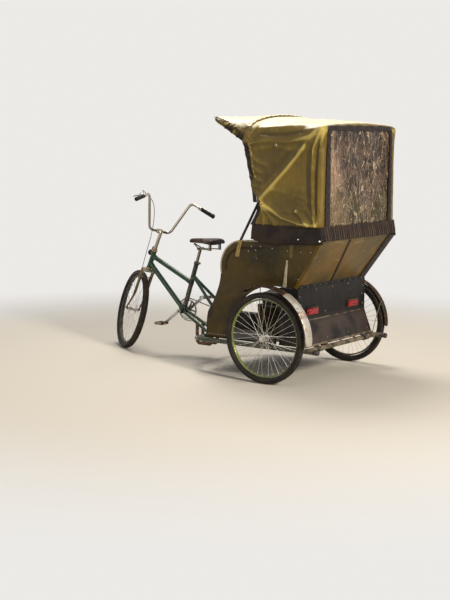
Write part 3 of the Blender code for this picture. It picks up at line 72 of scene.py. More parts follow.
def smooth_line(points, steps):
    """Points on a smooth curve through the given ones."""
    points = [Vector(point) for point in points]
    padded = [points[0] * 2 - points[1], *points, points[-1] * 2 - points[-2]]
    line = []
    for a, b, c, d in zip(padded, padded[1:], padded[2:], padded[3:]):
        for step in range(steps):
            t = step / steps
            line.append((b * 2 + (c - a) * t + (a * 2 - b * 5 + c * 4 - d) * t * t
                         + (b * 3 - a - c * 3 + d) * t * t * t) / 2)
    line.append(points[-1])
    return line


def spaced(points, count):
    """The same line with a number of points at equal distances."""
    points = [Vector(point) for point in points]
    lengths = [0.0]
    for a, b in zip(points, points[1:]):
        lengths.append(lengths[-1] + (b - a).length)
    result, index = [], 0
    for step in range(count):
        goal = lengths[-1] * step / (count - 1)
        while index < len(points) - 2 and lengths[index + 1] < goal:
            index += 1
        span = lengths[index + 1] - lengths[index]
        result.append(blend_points(points[index], points[index + 1],
                                   (goal - lengths[index]) / span if span else 0))
    return result


def bent(points, bend, steps=8):
    """A path whose inner corners are arcs of one radius."""
    points = [Vector(point) for point in points]
    path = [points[0]]
    for before, corner, after in zip(points, points[1:], points[2:]):
        back, ahead = (before - corner).normalized(), (after - corner).normalized()
        half = back.angle(ahead) / 2
        start = corner + back * bend / tan(half)
        centre = corner + (back + ahead).normalized() * bend / sin(half)
        axis = back.cross(ahead).normalized()
        for step in range(steps + 1):
            turn = (2 * half - pi) * step / steps
            path.append(centre + Matrix.Rotation(turn, 3, axis) @ (start - centre))
    path.append(points[-1])
    return path


def arc(centre, radius, start, end, steps):
    turns = [start + (end - start) * step / steps for step in range(steps + 1)]
    return [(centre[0] + radius * cos(turn), centre[1] + radius * sin(turn)) for turn in turns]


def facing(point, direction):
    """Matrix that puts the X axis at a point, along a direction."""
    turn = Vector((1, 0, 0)).rotation_difference(Vector(direction))
    return Matrix.Translation(point) @ turn.to_matrix().to_4x4()


def skin(shape, rings, finish=0, open_rings=False, joined=False, capped=True):
    """Faces between rings of points; ends are capped unless the rings are open or joined."""
    rows = [[shape.verts.new(point) for point in ring] for ring in rings]
    pairs = list(zip(rows, rows[1:]))
    if joined:
        pairs.append((rows[-1], rows[0]))
    faces = []
    for row, following in pairs:
        for index in range(len(row) - open_rings):
            after = (index + 1) % len(row)
            faces.append(shape.faces.new((row[index], row[after],
                                          following[after], following[index])))
    if capped and not open_rings and not joined:
        faces += [shape.faces.new(rows[0]), shape.faces.new(rows[-1])]
    for face in faces:
        face.material_index = finish
    return rows


def tube(shape, path, radius, sides=16, finish=0, joined=False, flat=1.0, across=None):
    """A round or oval bar along a path; radius is a number, or one for each point."""
    path = [Vector(point) for point in path]
    count = len(path)
    sizes = radius if isinstance(radius, (list, tuple)) else [radius] * count
    runs = [(path[(i + 1) % count] - path[i]).normalized() for i in range(count)]
    across = Vector(across) if across else runs[0].orthogonal().normalized()
    rings = []
    for index, point in enumerate(path):
        before = runs[index - 1] if joined or index else runs[0]
        after = runs[index] if joined or index < count - 1 else runs[count - 2]
        along = (before + after).normalized()
        across = (across - along * across.dot(along)).normalized()
        other = along.cross(across)
        rings.append([point + across * sizes[index] * cos(PI2 * s / sides)
                      + other * sizes[index] * flat * sin(PI2 * s / sides)
                      for s in range(sides)])
    return skin(shape, rings, finish, joined=joined)


def lathe(shape, profile, place=Matrix(), steps=32, finish=0, joined=False):
    """Turn a profile of (x, radius) about the X axis and put it in place."""
    rows = []
    for x, radius in profile:
        if radius == 0:
            rows.append([shape.verts.new(place @ Vector((x, 0, 0)))] * steps)
            continue
        rows.append([shape.verts.new(place @ Vector((x, radius * cos(PI2 * s / steps),
                                                     radius * sin(PI2 * s / steps))))
                     for s in range(steps)])
    pairs = list(zip(rows, rows[1:]))
    if joined:
        pairs.append((rows[-1], rows[0]))
    for row, following in pairs:
        for step in range(steps):
            after = (step + 1) % steps
            corners = dict.fromkeys((row[step], row[after], following[after], following[step]))
            if len(corners) > 2:
                shape.faces.new(list(corners)).material_index = finish


def brick(shape, low, high, place=Matrix(), rounding=0.002, finish=0, steps=2):
    """A block with rounded edges between two corners."""
    low, high = Vector(low), Vector(high)
    corners = bmesh.ops.create_cube(shape, size=1)["verts"]
    size = place @ Matrix.Translation((low + high) / 2) @ Matrix.Diagonal((*(high - low), 1))
    bmesh.ops.transform(shape, matrix=size, verts=corners)
    for face in {face for corner in corners for face in corner.link_faces}:
        face.material_index = finish
    edges = list({edge for corner in corners for edge in corner.link_edges})
    bmesh.ops.bevel(shape, geom=edges, offset=rounding, segments=steps, affect="EDGES",
                    profile=0.5)


def bolt(shape, point, direction, size=0.006, finish=0, nut=True):
    """Washer, six-sided head and a domed end, standing on a face."""
    place = facing(point, direction)
    lathe(shape, [(0, 0), (0, size * 1.35), (size * 0.2, size * 1.3), (size * 0.2, 0)], place, 16,
          finish)
    if nut:
        lathe(shape, [(size * 0.15, 0), (size * 0.15, size), (size * 0.75, size),
                      (size * 0.9, size * 0.8), (size * 0.9, 0)], place, 6, finish)
        lathe(shape, [(size * 0.8, 0), (size * 0.8, size * 0.5), (size * 1.2, size * 0.42),
                      (size * 1.3, 0)], place, 10, finish)
    else:
        lathe(shape, [(size * 0.1, 0), (size * 0.1, size), (size * 0.45, size * 0.85),
                      (size * 0.7, size * 0.45), (size * 0.78, 0)], place, 14, finish)


def plate(shape, outline, low, high, place=Matrix(), finish=0):
    """A flat plate in the YZ plane between two X levels."""
    skin(shape, [[place @ Vector((x, y, z)) for y, z in outline] for x in (low, high)], finish)


def swept(shape, steps, section, finish=0):
    """A surface through the sections at equal shares of a way, from 0 to 1."""
    skin(shape, [section(step / steps) for step in range(steps + 1)], finish)


def rib(shape, outline, a, b, finish=0):
    """A plate of an outline behind or before the axle, between two X values."""
    plate(shape, [(AXLE_Y + y, z) for y, z in outline], min(a, b), max(a, b), finish=finish)


def rivets(shape, spots, direction, size, finish):
    for spot in spots:
        bolt(shape, spot, direction, size, finish, nut=False)


def linked(name, data):
    """A new object of this data, in the scene."""
    thing = bpy.data.objects.new(name, data)
    bpy.context.scene.collection.objects.link(thing)
    return thing


def face_outward(thing, outward):
    """Turn a sheet over if more of it looks inward."""
    if sum(outward(face) * face.area for face in thing.data.polygons) < 0:
        thing.data.flip_normals()


def add_sheet(thing, thick=0.0016, offset=-1):
    """Give a sheet its thickness."""
    cloth = thing.modifiers.new("cloth", "SOLIDIFY")
    cloth.thickness, cloth.offset = thick, offset


def piece(name, shape, finishes, body, stands_for=(), sharp=35, place=None, smooth=True):
    """Make one named object of a shape, ride it on its body and hide the imported solids it stands
    for.
    """
    if place is not None:
        shape.transform(place)
    bmesh.ops.recalc_face_normals(shape, faces=shape.faces)
    mesh = bpy.data.meshes.new(name)
    shape.to_mesh(mesh)
    shape.free()
    for finish in finishes:
        mesh.materials.append(PAINTS[finish])
    if smooth:
        mesh.shade_smooth()
        mesh.set_sharp_from_angle(angle=radians(sharp))
    thing = linked(name, mesh)
    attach(thing, body)
    if stands_for:
        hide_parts(*stands_for)
    return thing


def rounded(thing, width, steps=2, angle=30):
    """Soften the edges of a piece."""
    edge = thing.modifiers.new("soft edges", "BEVEL")
    edge.width, edge.segments, edge.angle_limit = width, steps, radians(angle)
    edge.use_clamp_overlap = True
    return thing


# Camera

EYE = (8.011, 5.814, 1.802)
HEADING, PITCH, ROLL = 125.859, 7.568, 0.308


def camera():
    lens = bpy.data.cameras.new("view")
    lens.lens, lens.sensor_width, lens.clip_end = 75, 36, 100
    eye = linked("view", lens)
    eye.matrix_world = (Matrix.Translation(EYE)
                        @ Matrix.Rotation(radians(HEADING), 4, "Z")
                        @ Matrix.Rotation(radians(90 - PITCH), 4, "X")
                        @ Matrix.Rotation(radians(ROLL), 4, "Z"))
    bpy.context.scene.camera = eye



camera()


# Finishes

def node(tree, kind, values=None, **settings):
    """A shader node whose inputs are set to numbers or joined to other nodes' outputs."""
    made = tree.nodes.new("ShaderNode" + kind)
    for key, value in settings.items():
        setattr(made, key, value)
    for key, value in (values or {}).items():
        if isinstance(value, bpy.types.NodeSocket):
            tree.links.new(value, made.inputs[key])
        else:
            made.inputs[key].default_value = value
    return made


def effect(name, inputs, recipe):
    """A node group with float inputs and one varying value."""
    tree = bpy.data.node_groups.new(name, "ShaderNodeTree")
    for key, value in inputs.items():
        made = tree.interface.new_socket(name=key, in_out="INPUT", socket_type="NodeSocketFloat")
        made.default_value = value
    tree.interface.new_socket(name="Value", in_out="OUTPUT", socket_type="NodeSocketFloat")
    given = tree.nodes.new("NodeGroupInput").outputs
    tree.links.new(recipe(tree, given), tree.nodes.new("NodeGroupOutput").inputs["Value"])
    return tree


def place_of(tree):
    return node(tree, "TexCoord").outputs["Object"]


def math(tree, operation, *values):
    return node(tree, "Math", dict(enumerate(values)), operation=operation).outputs[0]


def remap(tree, value, low, high, to_low=0.0, to_high=1.0, kind="SMOOTHSTEP"):
    return node(tree, "MapRange", {"Value": value, "From Min": low, "From Max": high,
                                   "To Min": to_low, "To Max": to_high},
                interpolation_type=kind).outputs["Result"]


def cloud(tree, scale, detail=3.0, vector=None, distortion=0.0):
    return node(tree, "TexNoise", {"Vector": vector or place_of(tree), "Scale": scale,
                                   "Detail": detail, "Distortion": distortion}).outputs["Fac"]


def blotches(tree, given):
    return remap(tree, cloud(tree, given["Scale"], given["Detail"]), given["Low"], given["High"])


def worn_edges(tree, given):
    edge = node(tree, "NewGeometry").outputs["Pointiness"]
    edge = remap(tree, edge, given["Start"], given["End"])
    chips = remap(tree, cloud(tree, given["Scale"], 5.0), 0.38, 0.62)
    return math(tree, "MULTIPLY", edge, chips)


def settled_dust(tree, given):
    normal = node(tree, "NewGeometry").outputs["Normal"]
    up = node(tree, "SeparateXYZ", {"Vector": normal}).outputs["Z"]
    up = remap(tree, up, given["Start"], 1.0)
    return math(tree, "MULTIPLY", up, remap(tree, cloud(tree, given["Scale"], 4.0), 0.30, 0.70))


def road_grime(tree, given):
    height = node(tree, "SeparateXYZ", {"Vector": place_of(tree)}).outputs["Z"]
    low = remap(tree, height, given["Top"], given["Bottom"])
    return math(tree, "MULTIPLY", low, remap(tree, cloud(tree, given["Scale"], 5.0), 0.32, 0.60))


def scratches(tree, given):
    stretch = node(tree, "CombineXYZ", {"X": given["Along X"], "Y": given["Along Y"],
                                        "Z": given["Along Z"]}).outputs[0]
    vector = node(tree, "VectorMath", {0: place_of(tree), 1: stretch},
                  operation="MULTIPLY").outputs[0]
    return remap(tree, cloud(tree, given["Scale"], 2.0, vector), given["Low"], given["High"])


def fine_grain(tree, given):
    cells = node(tree, "TexVoronoi", {"Vector": place_of(tree), "Scale": given["Scale"]},
                 feature="SMOOTH_F1").outputs["Distance"]
    return math(tree, "ADD", cells, cloud(tree, given["Scale"], 2.0))


def weave(tree, given):
    spot = node(tree, "VectorMath", {0: place_of(tree), 3: given["Scale"]},
                operation="SCALE").outputs[0]
    parts = node(tree, "SeparateXYZ", {"Vector": spot}).outputs
    waves = [math(tree, "SINE", parts[axis]) for axis in "XYZ"]
    total = math(tree, "MULTIPLY", waves[0], waves[1])
    return math(tree, "ADD", total, waves[2])


def creases(tree, given):
    """Sharp crossing folds, as in thin sheet that has been rolled up often."""
    stretch = node(tree, "CombineXYZ", {"X": 1.0, "Y": 1.0, "Z": given["Along Z"]}).outputs[0]
    vector = node(tree, "VectorMath", {0: place_of(tree), 1: stretch},
                  operation="MULTIPLY").outputs[0]
    fine = cloud(tree, given["Scale"], given["Detail"], vector, given["Twist"])
    away = math(tree, "ABSOLUTE", math(tree, "SUBTRACT", fine, 0.5))
    return remap(tree, away, 0.0, given["Width"], 1.0, 0.0, "LINEAR")


EFFECTS = {recipe.__name__: effect(recipe.__name__, inputs, recipe) for recipe, inputs in (
    (blotches, {"Scale": 6.0, "Detail": 4.0, "Low": 0.4, "High": 0.65}),
    (worn_edges, {"Start": 0.51, "End": 0.58, "Scale": 60.0}),
    (settled_dust, {"Start": 0.3, "Scale": 9.0}),
    (road_grime, {"Top": 0.6, "Bottom": 0.1, "Scale": 9.0}),
    (scratches, {"Scale": 30.0, "Along X": 1.0, "Along Y": 1.0, "Along Z": 0.05,
                 "Low": 0.62, "High": 0.72}),
    (fine_grain, {"Scale": 500.0}),
    (weave, {"Scale": 3000.0}),
    (creases, {"Scale": 9.0, "Detail": 4.0, "Along Z": 0.5, "Twist": 0.6, "Width": 0.05}),
)}


def use(tree, name, **values):
    """One of the shared effects, placed in a material with its own values."""
    made = tree.nodes.new("ShaderNodeGroup")
    made.node_tree = EFFECTS[name]
    made.label = name
    for key, value in values.items():
        made.inputs[key.replace("_", " ").title()].default_value = value
    return made.outputs["Value"]


def mix(tree, mask, first, second, kind="RGBA"):
    """Mix two colours or numbers by a mask."""
    made = node(tree, "Mix", data_type=kind)
    ends = ("A_Color", "B_Color") if kind == "RGBA" else ("A_Float", "B_Float")
    values = {"Factor_Float": mask, ends[0]: first, ends[1]: second}
    for made_input in made.inputs:
        if made_input.identifier in values:
            value = values[made_input.identifier]
            if isinstance(value, bpy.types.NodeSocket):
                tree.links.new(value, made_input)
            else:
                made_input.default_value = (*value, 1.0) if kind == "RGBA" else value
    kinds = {"RGBA": "Result_Color", "FLOAT": "Result_Float"}
    return next(o for o in made.outputs if o.identifier == kinds[kind])


PAINTS = {}
SLOTS = {}
SHEEN = 0.16


def finish(name, slot, colour, roughness, layers=(), bumps=(), metallic=0.0, **sockets):
    """A Principled material: a base, layers of colour and roughness over masks, and bumps.

    A layer is (effect, values, colour, roughness, strength); a bump is (effect, values, depth).
    """
    material = bpy.data.materials.new(name)
    material.use_nodes = True
    tree = material.node_tree
    shader = tree.nodes["Principled BSDF"]
    shader.inputs["Metallic"].default_value = metallic
    shader.inputs["Specular IOR Level"].default_value = SHEEN
    for key, value in sockets.items():
        shader.inputs[key.replace("_", " ")].default_value = value
    shade, rough = colour, roughness
    for kind, values, layer_colour, layer_rough, strength in layers:
        mask = use(tree, kind, **values)
        if strength < 1:
            mask = math(tree, "MULTIPLY", mask, strength)
        shade = mix(tree, mask, shade, layer_colour)
        rough = mix(tree, mask, rough, layer_rough, "FLOAT")
    tree.links.new(shade, shader.inputs["Base Color"])
    tree.links.new(rough, shader.inputs["Roughness"])
    relief = None
    for kind, values, depth in bumps:
        values = {"Height": use(tree, kind, **values), "Distance": depth, "Strength": 1.0}
        if relief:
            values["Normal"] = relief
        relief = node(tree, "Bump", values).outputs["Normal"]
    if relief:
        tree.links.new(relief, shader.inputs["Normal"])
    PAINTS[name], SLOTS[name] = material, slot
    return material


def coat(kind, colour, rough, strength, **values):
    return kind, values, colour, rough, strength


def bump(kind, depth, **values):
    return kind, values, depth


def patches(scale, colour, rough, strength, low=0.4, high=0.65, detail=4.0):
    return coat("blotches", colour, rough, strength, scale=scale, low=low, high=high,
                 detail=detail)


def edges(colour, rough, strength, start=0.51, end=0.58, scale=60.0):
    return coat("worn_edges", colour, rough, strength, start=start, end=end, scale=scale)


def grain(scale, depth):
    return bump("fine_grain", depth, scale=scale)


def woven(scale, depth):
    return bump("weave", depth, scale=scale)


def make_finishes():
    dust = (0.42, 0.34, 0.24)
    grainy = grain(420.0, 0.00025)
    uneven = bump("blotches", 0.0012, scale=14.0, low=0.3, high=0.7)
    finish("frame_enamel", "frame_green", (0.009, 0.05, 0.022), 0.2,
           [patches(7.0, (0.014, 0.068, 0.03), 0.3, 0.6),
            edges((0.26, 0.24, 0.18), 0.45, 0.7, 0.6, 0.72),
            patches(70.0, (0.05, 0.035, 0.02), 0.6, 0.5, 0.68, 0.74),
            coat("settled_dust", dust, 0.6, 0.1, start=0.5)],
           [grain(240.0, 0.00015)], Coat_Weight=0.5, Coat_Roughness=0.08)
    finish("fork_bronze", "frame_green", (0.12, 0.08, 0.036), 0.3,
           [patches(16.0, (0.055, 0.04, 0.022), 0.45, 0.8),
            edges((0.36, 0.28, 0.16), 0.35, 0.7, 0.52, 0.6)],
           [grain(240.0, 0.00015)], metallic=0.6, Coat_Weight=0.3)
    finish("seat_tube_dark", "frame_green", (0.012, 0.024, 0.016), 0.28,
           [patches(11.0, (0.03, 0.032, 0.026), 0.45, 0.5),
            edges((0.26, 0.24, 0.2), 0.45, 0.7, 0.53, 0.62)],
           [grain(240.0, 0.00015)], Coat_Weight=0.35)
    finish("bare_steel", "steel", (0.24, 0.21, 0.17), 0.36,
           [patches(40.0, (0.16, 0.1, 0.06), 0.62, 0.75, 0.5, 0.72),
            coat("scratches", (0.55, 0.54, 0.52), 0.28, 0.5, scale=70.0, along_z=0.3)],
           [grain(600.0, 0.0002)], metallic=0.9)
    finish("chain_steel", "steel", (0.13, 0.11, 0.09), 0.42,
           [patches(60.0, (0.2, 0.1, 0.05), 0.7, 0.7, 0.45, 0.7),
            edges((0.5, 0.48, 0.44), 0.3, 0.8, 0.5, 0.56)],
           [grain(600.0, 0.0002)], metallic=0.8)
    finish("chrome_plate", "chrome", (0.46, 0.42, 0.36), 0.15,
           [patches(40.0, (0.16, 0.11, 0.07), 0.4, 0.55, 0.54, 0.7),
            patches(8.0, (0.3, 0.26, 0.21), 0.26, 0.6)],
           [grain(300.0, 6e-05)], metallic=1.0)
    finish("cast_alloy", "alloy", (0.5, 0.49, 0.47), 0.34,
           [patches(25.0, (0.34, 0.32, 0.29), 0.5, 0.6),
            edges((0.68, 0.67, 0.65), 0.22, 0.8, 0.51, 0.58)],
           [grain(500.0, 0.0002)], metallic=1.0)
    finish("headset_brass", "chrome", (0.42, 0.3, 0.15), 0.3,
           [patches(60.0, (0.22, 0.14, 0.07), 0.5, 0.7)],
           [grain(500.0, 0.0002)], metallic=1.0)
    finish("tyre_tread", "tyre", (0.014, 0.012, 0.011), 0.74,
           [patches(7.0, (0.046, 0.034, 0.025), 0.88, 0.7, 0.35, 0.75),
            edges((0.1, 0.08, 0.06), 0.9, 0.4, 0.5, 0.56, scale=30.0)],
           [grain(380.0, 0.0005)])
    finish("tyre_wall", "tyre", (0.015, 0.013, 0.012), 0.5,
           [patches(12.0, (0.042, 0.031, 0.023), 0.7, 0.7, 0.4, 0.7)],
           [grain(700.0, 0.0003), uneven])
    finish("rim_lime", "rim_green", (0.175, 0.215, 0.045), 0.3,
           [patches(9.0, (0.085, 0.11, 0.03), 0.45, 0.8),
            edges((0.45, 0.46, 0.35), 0.3, 0.8, 0.52, 0.6)],
           [grain(300.0, 0.0001)], metallic=0.25, Coat_Weight=0.4)
    finish("rim_black", "rim_dark", (0.045, 0.042, 0.04), 0.3,
           [patches(16.0, (0.1, 0.085, 0.07), 0.5, 0.7),
            edges((0.5, 0.47, 0.42), 0.3, 0.8, 0.52, 0.6)],
           [grain(300.0, 0.0001)], metallic=0.5)
    finish("rubber_black", "rubber", (0.016, 0.015, 0.015), 0.66,
           [patches(30.0, (0.045, 0.04, 0.036), 0.8, 0.6)],
           [grain(700.0, 0.0003)])
    finish("plastic_black", "plastic", (0.02, 0.02, 0.021), 0.42,
           [patches(22.0, (0.055, 0.052, 0.048), 0.6, 0.6),
            edges((0.12, 0.115, 0.11), 0.5, 0.6)],
           [grain(620.0, 0.0002)])
    finish("cable_sleeve", "rubber", (0.012, 0.012, 0.013), 0.38,
           [patches(60.0, (0.04, 0.037, 0.033), 0.6, 0.6)],
           [grain(900.0, 0.0001)])
    finish("saddle_hide", "saddle_brown", (0.04, 0.021, 0.018), 0.3,
           [patches(15.0, (0.17, 0.095, 0.08), 0.42, 0.7, 0.46, 0.7),
            coat("scratches", (0.06, 0.035, 0.03), 0.6, 0.6, scale=45.0, along_y=0.2, along_z=1.0),
            edges((0.36, 0.24, 0.19), 0.55, 0.7, 0.51, 0.56)],
           [grain(330.0, 0.0006), bump("creases", 0.0012, scale=22.0, along_z=1.0, width=0.04)])
    finish("cab_enamel", "cab_olive", (0.07, 0.046, 0.01), 0.3,
           [patches(3.0, (0.022, 0.018, 0.007), 0.38, 0.95, 0.36, 0.66),
            patches(19.0, (0.115, 0.076, 0.018), 0.45, 0.35, 0.5, 0.78),
            coat("scratches", (0.25, 0.19, 0.08), 0.5, 0.35, scale=24.0, along_y=0.4, low=0.66,
                 high=0.72),
            coat("road_grime", (0.016, 0.013, 0.01), 0.5, 0.95, top=0.86, bottom=0.46, scale=5.0),
            edges((0.24, 0.17, 0.07), 0.45, 0.5, 0.53, 0.62)],
           [uneven, grain(260.0, 0.00025)], Coat_Weight=0.1, Coat_Roughness=0.25)
    finish("tub_enamel", "cab_olive", (0.135, 0.074, 0.007), 0.34,
           [patches(2.4, (0.055, 0.04, 0.01), 0.36, 0.9, 0.38, 0.64),
            patches(13.0, (0.215, 0.128, 0.02), 0.45, 0.45, 0.5, 0.74),
            coat("scratches", (0.3, 0.22, 0.1), 0.5, 0.4, scale=20.0, along_x=0.15, along_z=1.0,
                 low=0.66, high=0.72)],
           [uneven, grain(260.0, 0.00025)], Coat_Weight=0.06, Coat_Roughness=0.3)
    finish("box_black", "charcoal", (0.006, 0.0048, 0.0045), 0.42,
           [patches(5.0, (0.02, 0.016, 0.013), 0.48, 0.7, 0.42, 0.72),
            coat("scratches", (0.06, 0.048, 0.038), 0.5, 0.35, scale=26.0, along_x=0.12,
                 along_z=1.0, low=0.66, high=0.72),
            coat("road_grime", (0.058, 0.042, 0.036), 0.46, 0.85, top=0.5, bottom=0.42,
                 scale=6.0)],
           [uneven, grain(300.0, 0.0003)])
    finish("floor_rubber", "floor", (0.03, 0.027, 0.024), 0.72,
           [patches(8.0, (0.09, 0.072, 0.052), 0.85, 0.8),
            coat("scratches", (0.13, 0.11, 0.085), 0.8, 0.5, scale=30.0, along_z=1.0,
                 along_y=0.1)],
           [bump("scratches", 0.0015, scale=18.0, along_x=6.0, along_y=0.02, along_z=1.0, low=0.4,
                 high=0.6), grainy])
    finish("lens_red", "lamp_red", (0.42, 0.01, 0.012), 0.16,
           [patches(45.0, (0.12, 0.004, 0.005), 0.3, 0.85, 0.42, 0.58)],
           [woven(700.0, 0.0005)], Coat_Weight=0.6)
    finish("lens_amber", "lamp_red", (0.75, 0.23, 0.02), 0.18,
           [patches(90.0, (0.5, 0.13, 0.01), 0.3, 0.6)],
           [woven(900.0, 0.0004)], Coat_Weight=0.5)
    finish("seat_vinyl", "seat_vinyl", (0.055, 0.034, 0.024), 0.42,
           [patches(8.0, (0.1, 0.065, 0.045), 0.55, 0.7),
            coat("creases", (0.03, 0.02, 0.015), 0.6, 0.35, scale=14.0, along_z=1.0)],
           [grain(360.0, 0.0005), bump("creases", 0.0015, scale=10.0, along_z=1.0, width=0.06)],
           Coat_Weight=0.1)
    finish("guard_silver", "guard_silver", (0.62, 0.6, 0.56), 0.24,
           [patches(20.0, (0.3, 0.15, 0.07), 0.75, 0.85, 0.55, 0.66),
            patches(70.0, (0.1, 0.045, 0.02), 0.85, 0.9, 0.6, 0.68),
            patches(7.0, (0.44, 0.38, 0.31), 0.42, 0.6)],
           [grain(240.0, 0.0004)], metallic=0.55)
    # Dark guard steel: rust, with painted shade where the guards lie in shadow.
    finish("guard_rust_and_shade", "guard_silver", (0.04, 0.026, 0.018), 0.5,
           [patches(24.0, (0.15, 0.075, 0.035), 0.65, 0.8, 0.5, 0.68),
            patches(9.0, (0.02, 0.015, 0.012), 0.45, 0.7)],
           [grain(240.0, 0.0004)], metallic=0.35)
    finish("rusty_brown", "steel", (0.1, 0.058, 0.04), 0.58,
           [patches(30.0, (0.2, 0.105, 0.055), 0.75, 0.8, 0.4, 0.65),
            edges((0.3, 0.22, 0.16), 0.5, 0.6)],
           [grain(300.0, 0.0004)], metallic=0.3)
    finish("rail_pale", "steel", (0.22, 0.17, 0.11), 0.34,
           [patches(14.0, (0.045, 0.035, 0.025), 0.5, 0.9, 0.42, 0.62),
            coat("scratches", (0.6, 0.56, 0.5), 0.3, 0.6, scale=50.0, along_x=0.1, along_z=1.0)],
           [grain(300.0, 0.0003)], metallic=0.45)
    finish("rail_enamel", "frame_green", (0.012, 0.03, 0.018), 0.3,
           [patches(12.0, (0.045, 0.032, 0.02), 0.55, 0.8, 0.45, 0.7),
            edges((0.3, 0.26, 0.2), 0.45, 0.7)],
           [grain(300.0, 0.0003)], Coat_Weight=0.2)
    finish("trim_black", "skirt_dark", (0.01, 0.007, 0.0075), 0.38,
           [patches(18.0, (0.026, 0.018, 0.016), 0.5, 0.6),
            edges((0.09, 0.07, 0.055), 0.5, 0.3)],
           [woven(2600.0, 0.0002), uneven])
    finish("skirt_cloth", "skirt_dark", (0.0115, 0.007, 0.007), 0.36,
           [patches(8.0, (0.036, 0.023, 0.014), 0.48, 0.7),
            coat("settled_dust", dust, 0.7, 0.1, start=0.4)],
           [woven(2400.0, 0.0002), bump("creases", 0.002, scale=9.0, along_z=0.6, width=0.12)])
    finish("cord_pale", "cab_olive", (0.46, 0.42, 0.32), 0.45,
           [patches(40.0, (0.3, 0.25, 0.16), 0.6, 0.7)],
           [woven(3000.0, 0.0002)])
    finish("strap_gold", "cab_olive", (0.36, 0.26, 0.085), 0.55,
           [patches(30.0, (0.24, 0.17, 0.06), 0.7, 0.7)],
           [woven(2600.0, 0.0003)])
    finish("bare_spoke", "steel", (0.62, 0.6, 0.57), 0.22,
           [patches(60.0, (0.3, 0.2, 0.12), 0.5, 0.6, 0.52, 0.72)],
           [grain(600.0, 5e-05)], metallic=0.95)
    finish("rim_edge_dark", "rim_dark", (0.06, 0.055, 0.05), 0.4,
           [patches(30.0, (0.14, 0.12, 0.1), 0.5, 0.7)],
           [grain(400.0, 0.0002)], metallic=0.6)
    finish("bright_snap", "steel", (0.66, 0.62, 0.52), 0.22,
           [patches(120.0, (0.42, 0.36, 0.26), 0.4, 0.6)],
           [grain(900.0, 5e-05)], metallic=0.9)
    # A dark copy of the hood cloth: painted shade, for the visor's side strip and the curtain
    # rolled under it.
    finish("hood_shade", "hood_vinyl", (0.03, 0.022, 0.01), 0.4,
           [patches(20.0, (0.3, 0.22, 0.045), 0.4, 0.75, 0.5, 0.62)],
           [bump("creases", 0.004, scale=18.0, along_z=1.0, width=0.12), grain(500.0, 0.0002)])
    hood_finish()
    skirt_finish()
    window_finish()

def hood_finish():
    """Coated gold-green cloth with a soft sheen; painted fold highlights and shade; a pale top of
    painted sunlight, bleaching and dust.
    """
    material = finish("hood_cloth", "hood_vinyl", (0.178, 0.118, 0.013), 0.28,
                      [patches(2.6, (0.09, 0.06, 0.008), 0.33, 0.9, 0.38, 0.66),
                       patches(17.0, (0.27, 0.19, 0.028), 0.36, 0.4, 0.54, 0.78)],
                      [bump("creases", 0.0022, scale=6.0, along_z=0.7, width=0.22, detail=2.0),
                       grain(520.0, 0.0002), woven(1900.0, 0.00012)], Coat_Weight=0.1,
                      Coat_Roughness=0.25, Specular_IOR_Level=0.24)
    tree = material.node_tree
    shader = tree.nodes["Principled BSDF"]
    shade = shader.inputs["Base Color"].links[0].from_socket
    # The fold attribute paints light into the cloth: a painted highlight on fold ridges and
    # painted shade in the valleys.
    fold = node(tree, "Attribute", attribute_name="fold").outputs["Fac"]
    shade = mix(tree, remap(tree, fold, 0.50, 1.05, 0.0, 0.75), shade, (0.60, 0.47, 0.13))
    shade = mix(tree, remap(tree, fold, 0.18, -0.45, 0.0, 0.82), shade, (0.070, 0.046, 0.008))
    # Faces that look up turn pale: painted sunlight on the roof, with bleaching and settled dust.
    dust_and_sunlight = use(tree, "settled_dust", start=0.45, scale=4.0)
    up = node(tree, "SeparateXYZ", {"Vector": node(tree, "NewGeometry").outputs["Normal"]})
    sunlit_and_bleached = remap(tree, up.outputs["Z"], 0.60, 0.93, 0.0, 0.94)
    shade = mix(tree, sunlit_and_bleached, shade, (0.80, 0.74, 0.53))
    shade = mix(tree, math(tree, "MULTIPLY", dust_and_sunlight, 0.45), shade, (0.88, 0.85, 0.74))
    tree.links.new(shade, shader.inputs["Base Color"])


def skirt_finish():
    """Painted highlight on the crests of the skirt's pleats."""
    tree = PAINTS["skirt_cloth"].node_tree
    shader = tree.nodes["Principled BSDF"]
    shade = shader.inputs["Base Color"].links[0].from_socket
    crest_highlight = node(tree, "Attribute", attribute_name="fold").outputs["Fac"]
    shade = mix(tree, remap(tree, crest_highlight, 0.62, 0.95, 0.0, 0.75), shade, (0.120, 0.078, 0.056))
    tree.links.new(shade, shader.inputs["Base Color"])


# Crease lines painted into the window's colour: scale, stretch along Z, twist, width, colour and
# strength. The dark row is painted shade in the crinkles, the pale rows are painted glints.
WINDOW_LINES = (
    (44.0, 0.45, 0.8, 0.045, (0.020, 0.013, 0.010), 0.50),
    (7.0, 0.50, 2.4, 0.014, (0.90, 0.72, 0.50), 0.85),
    (19.0, 0.34, 1.6, 0.020, (0.62, 0.44, 0.28), 0.50),
)


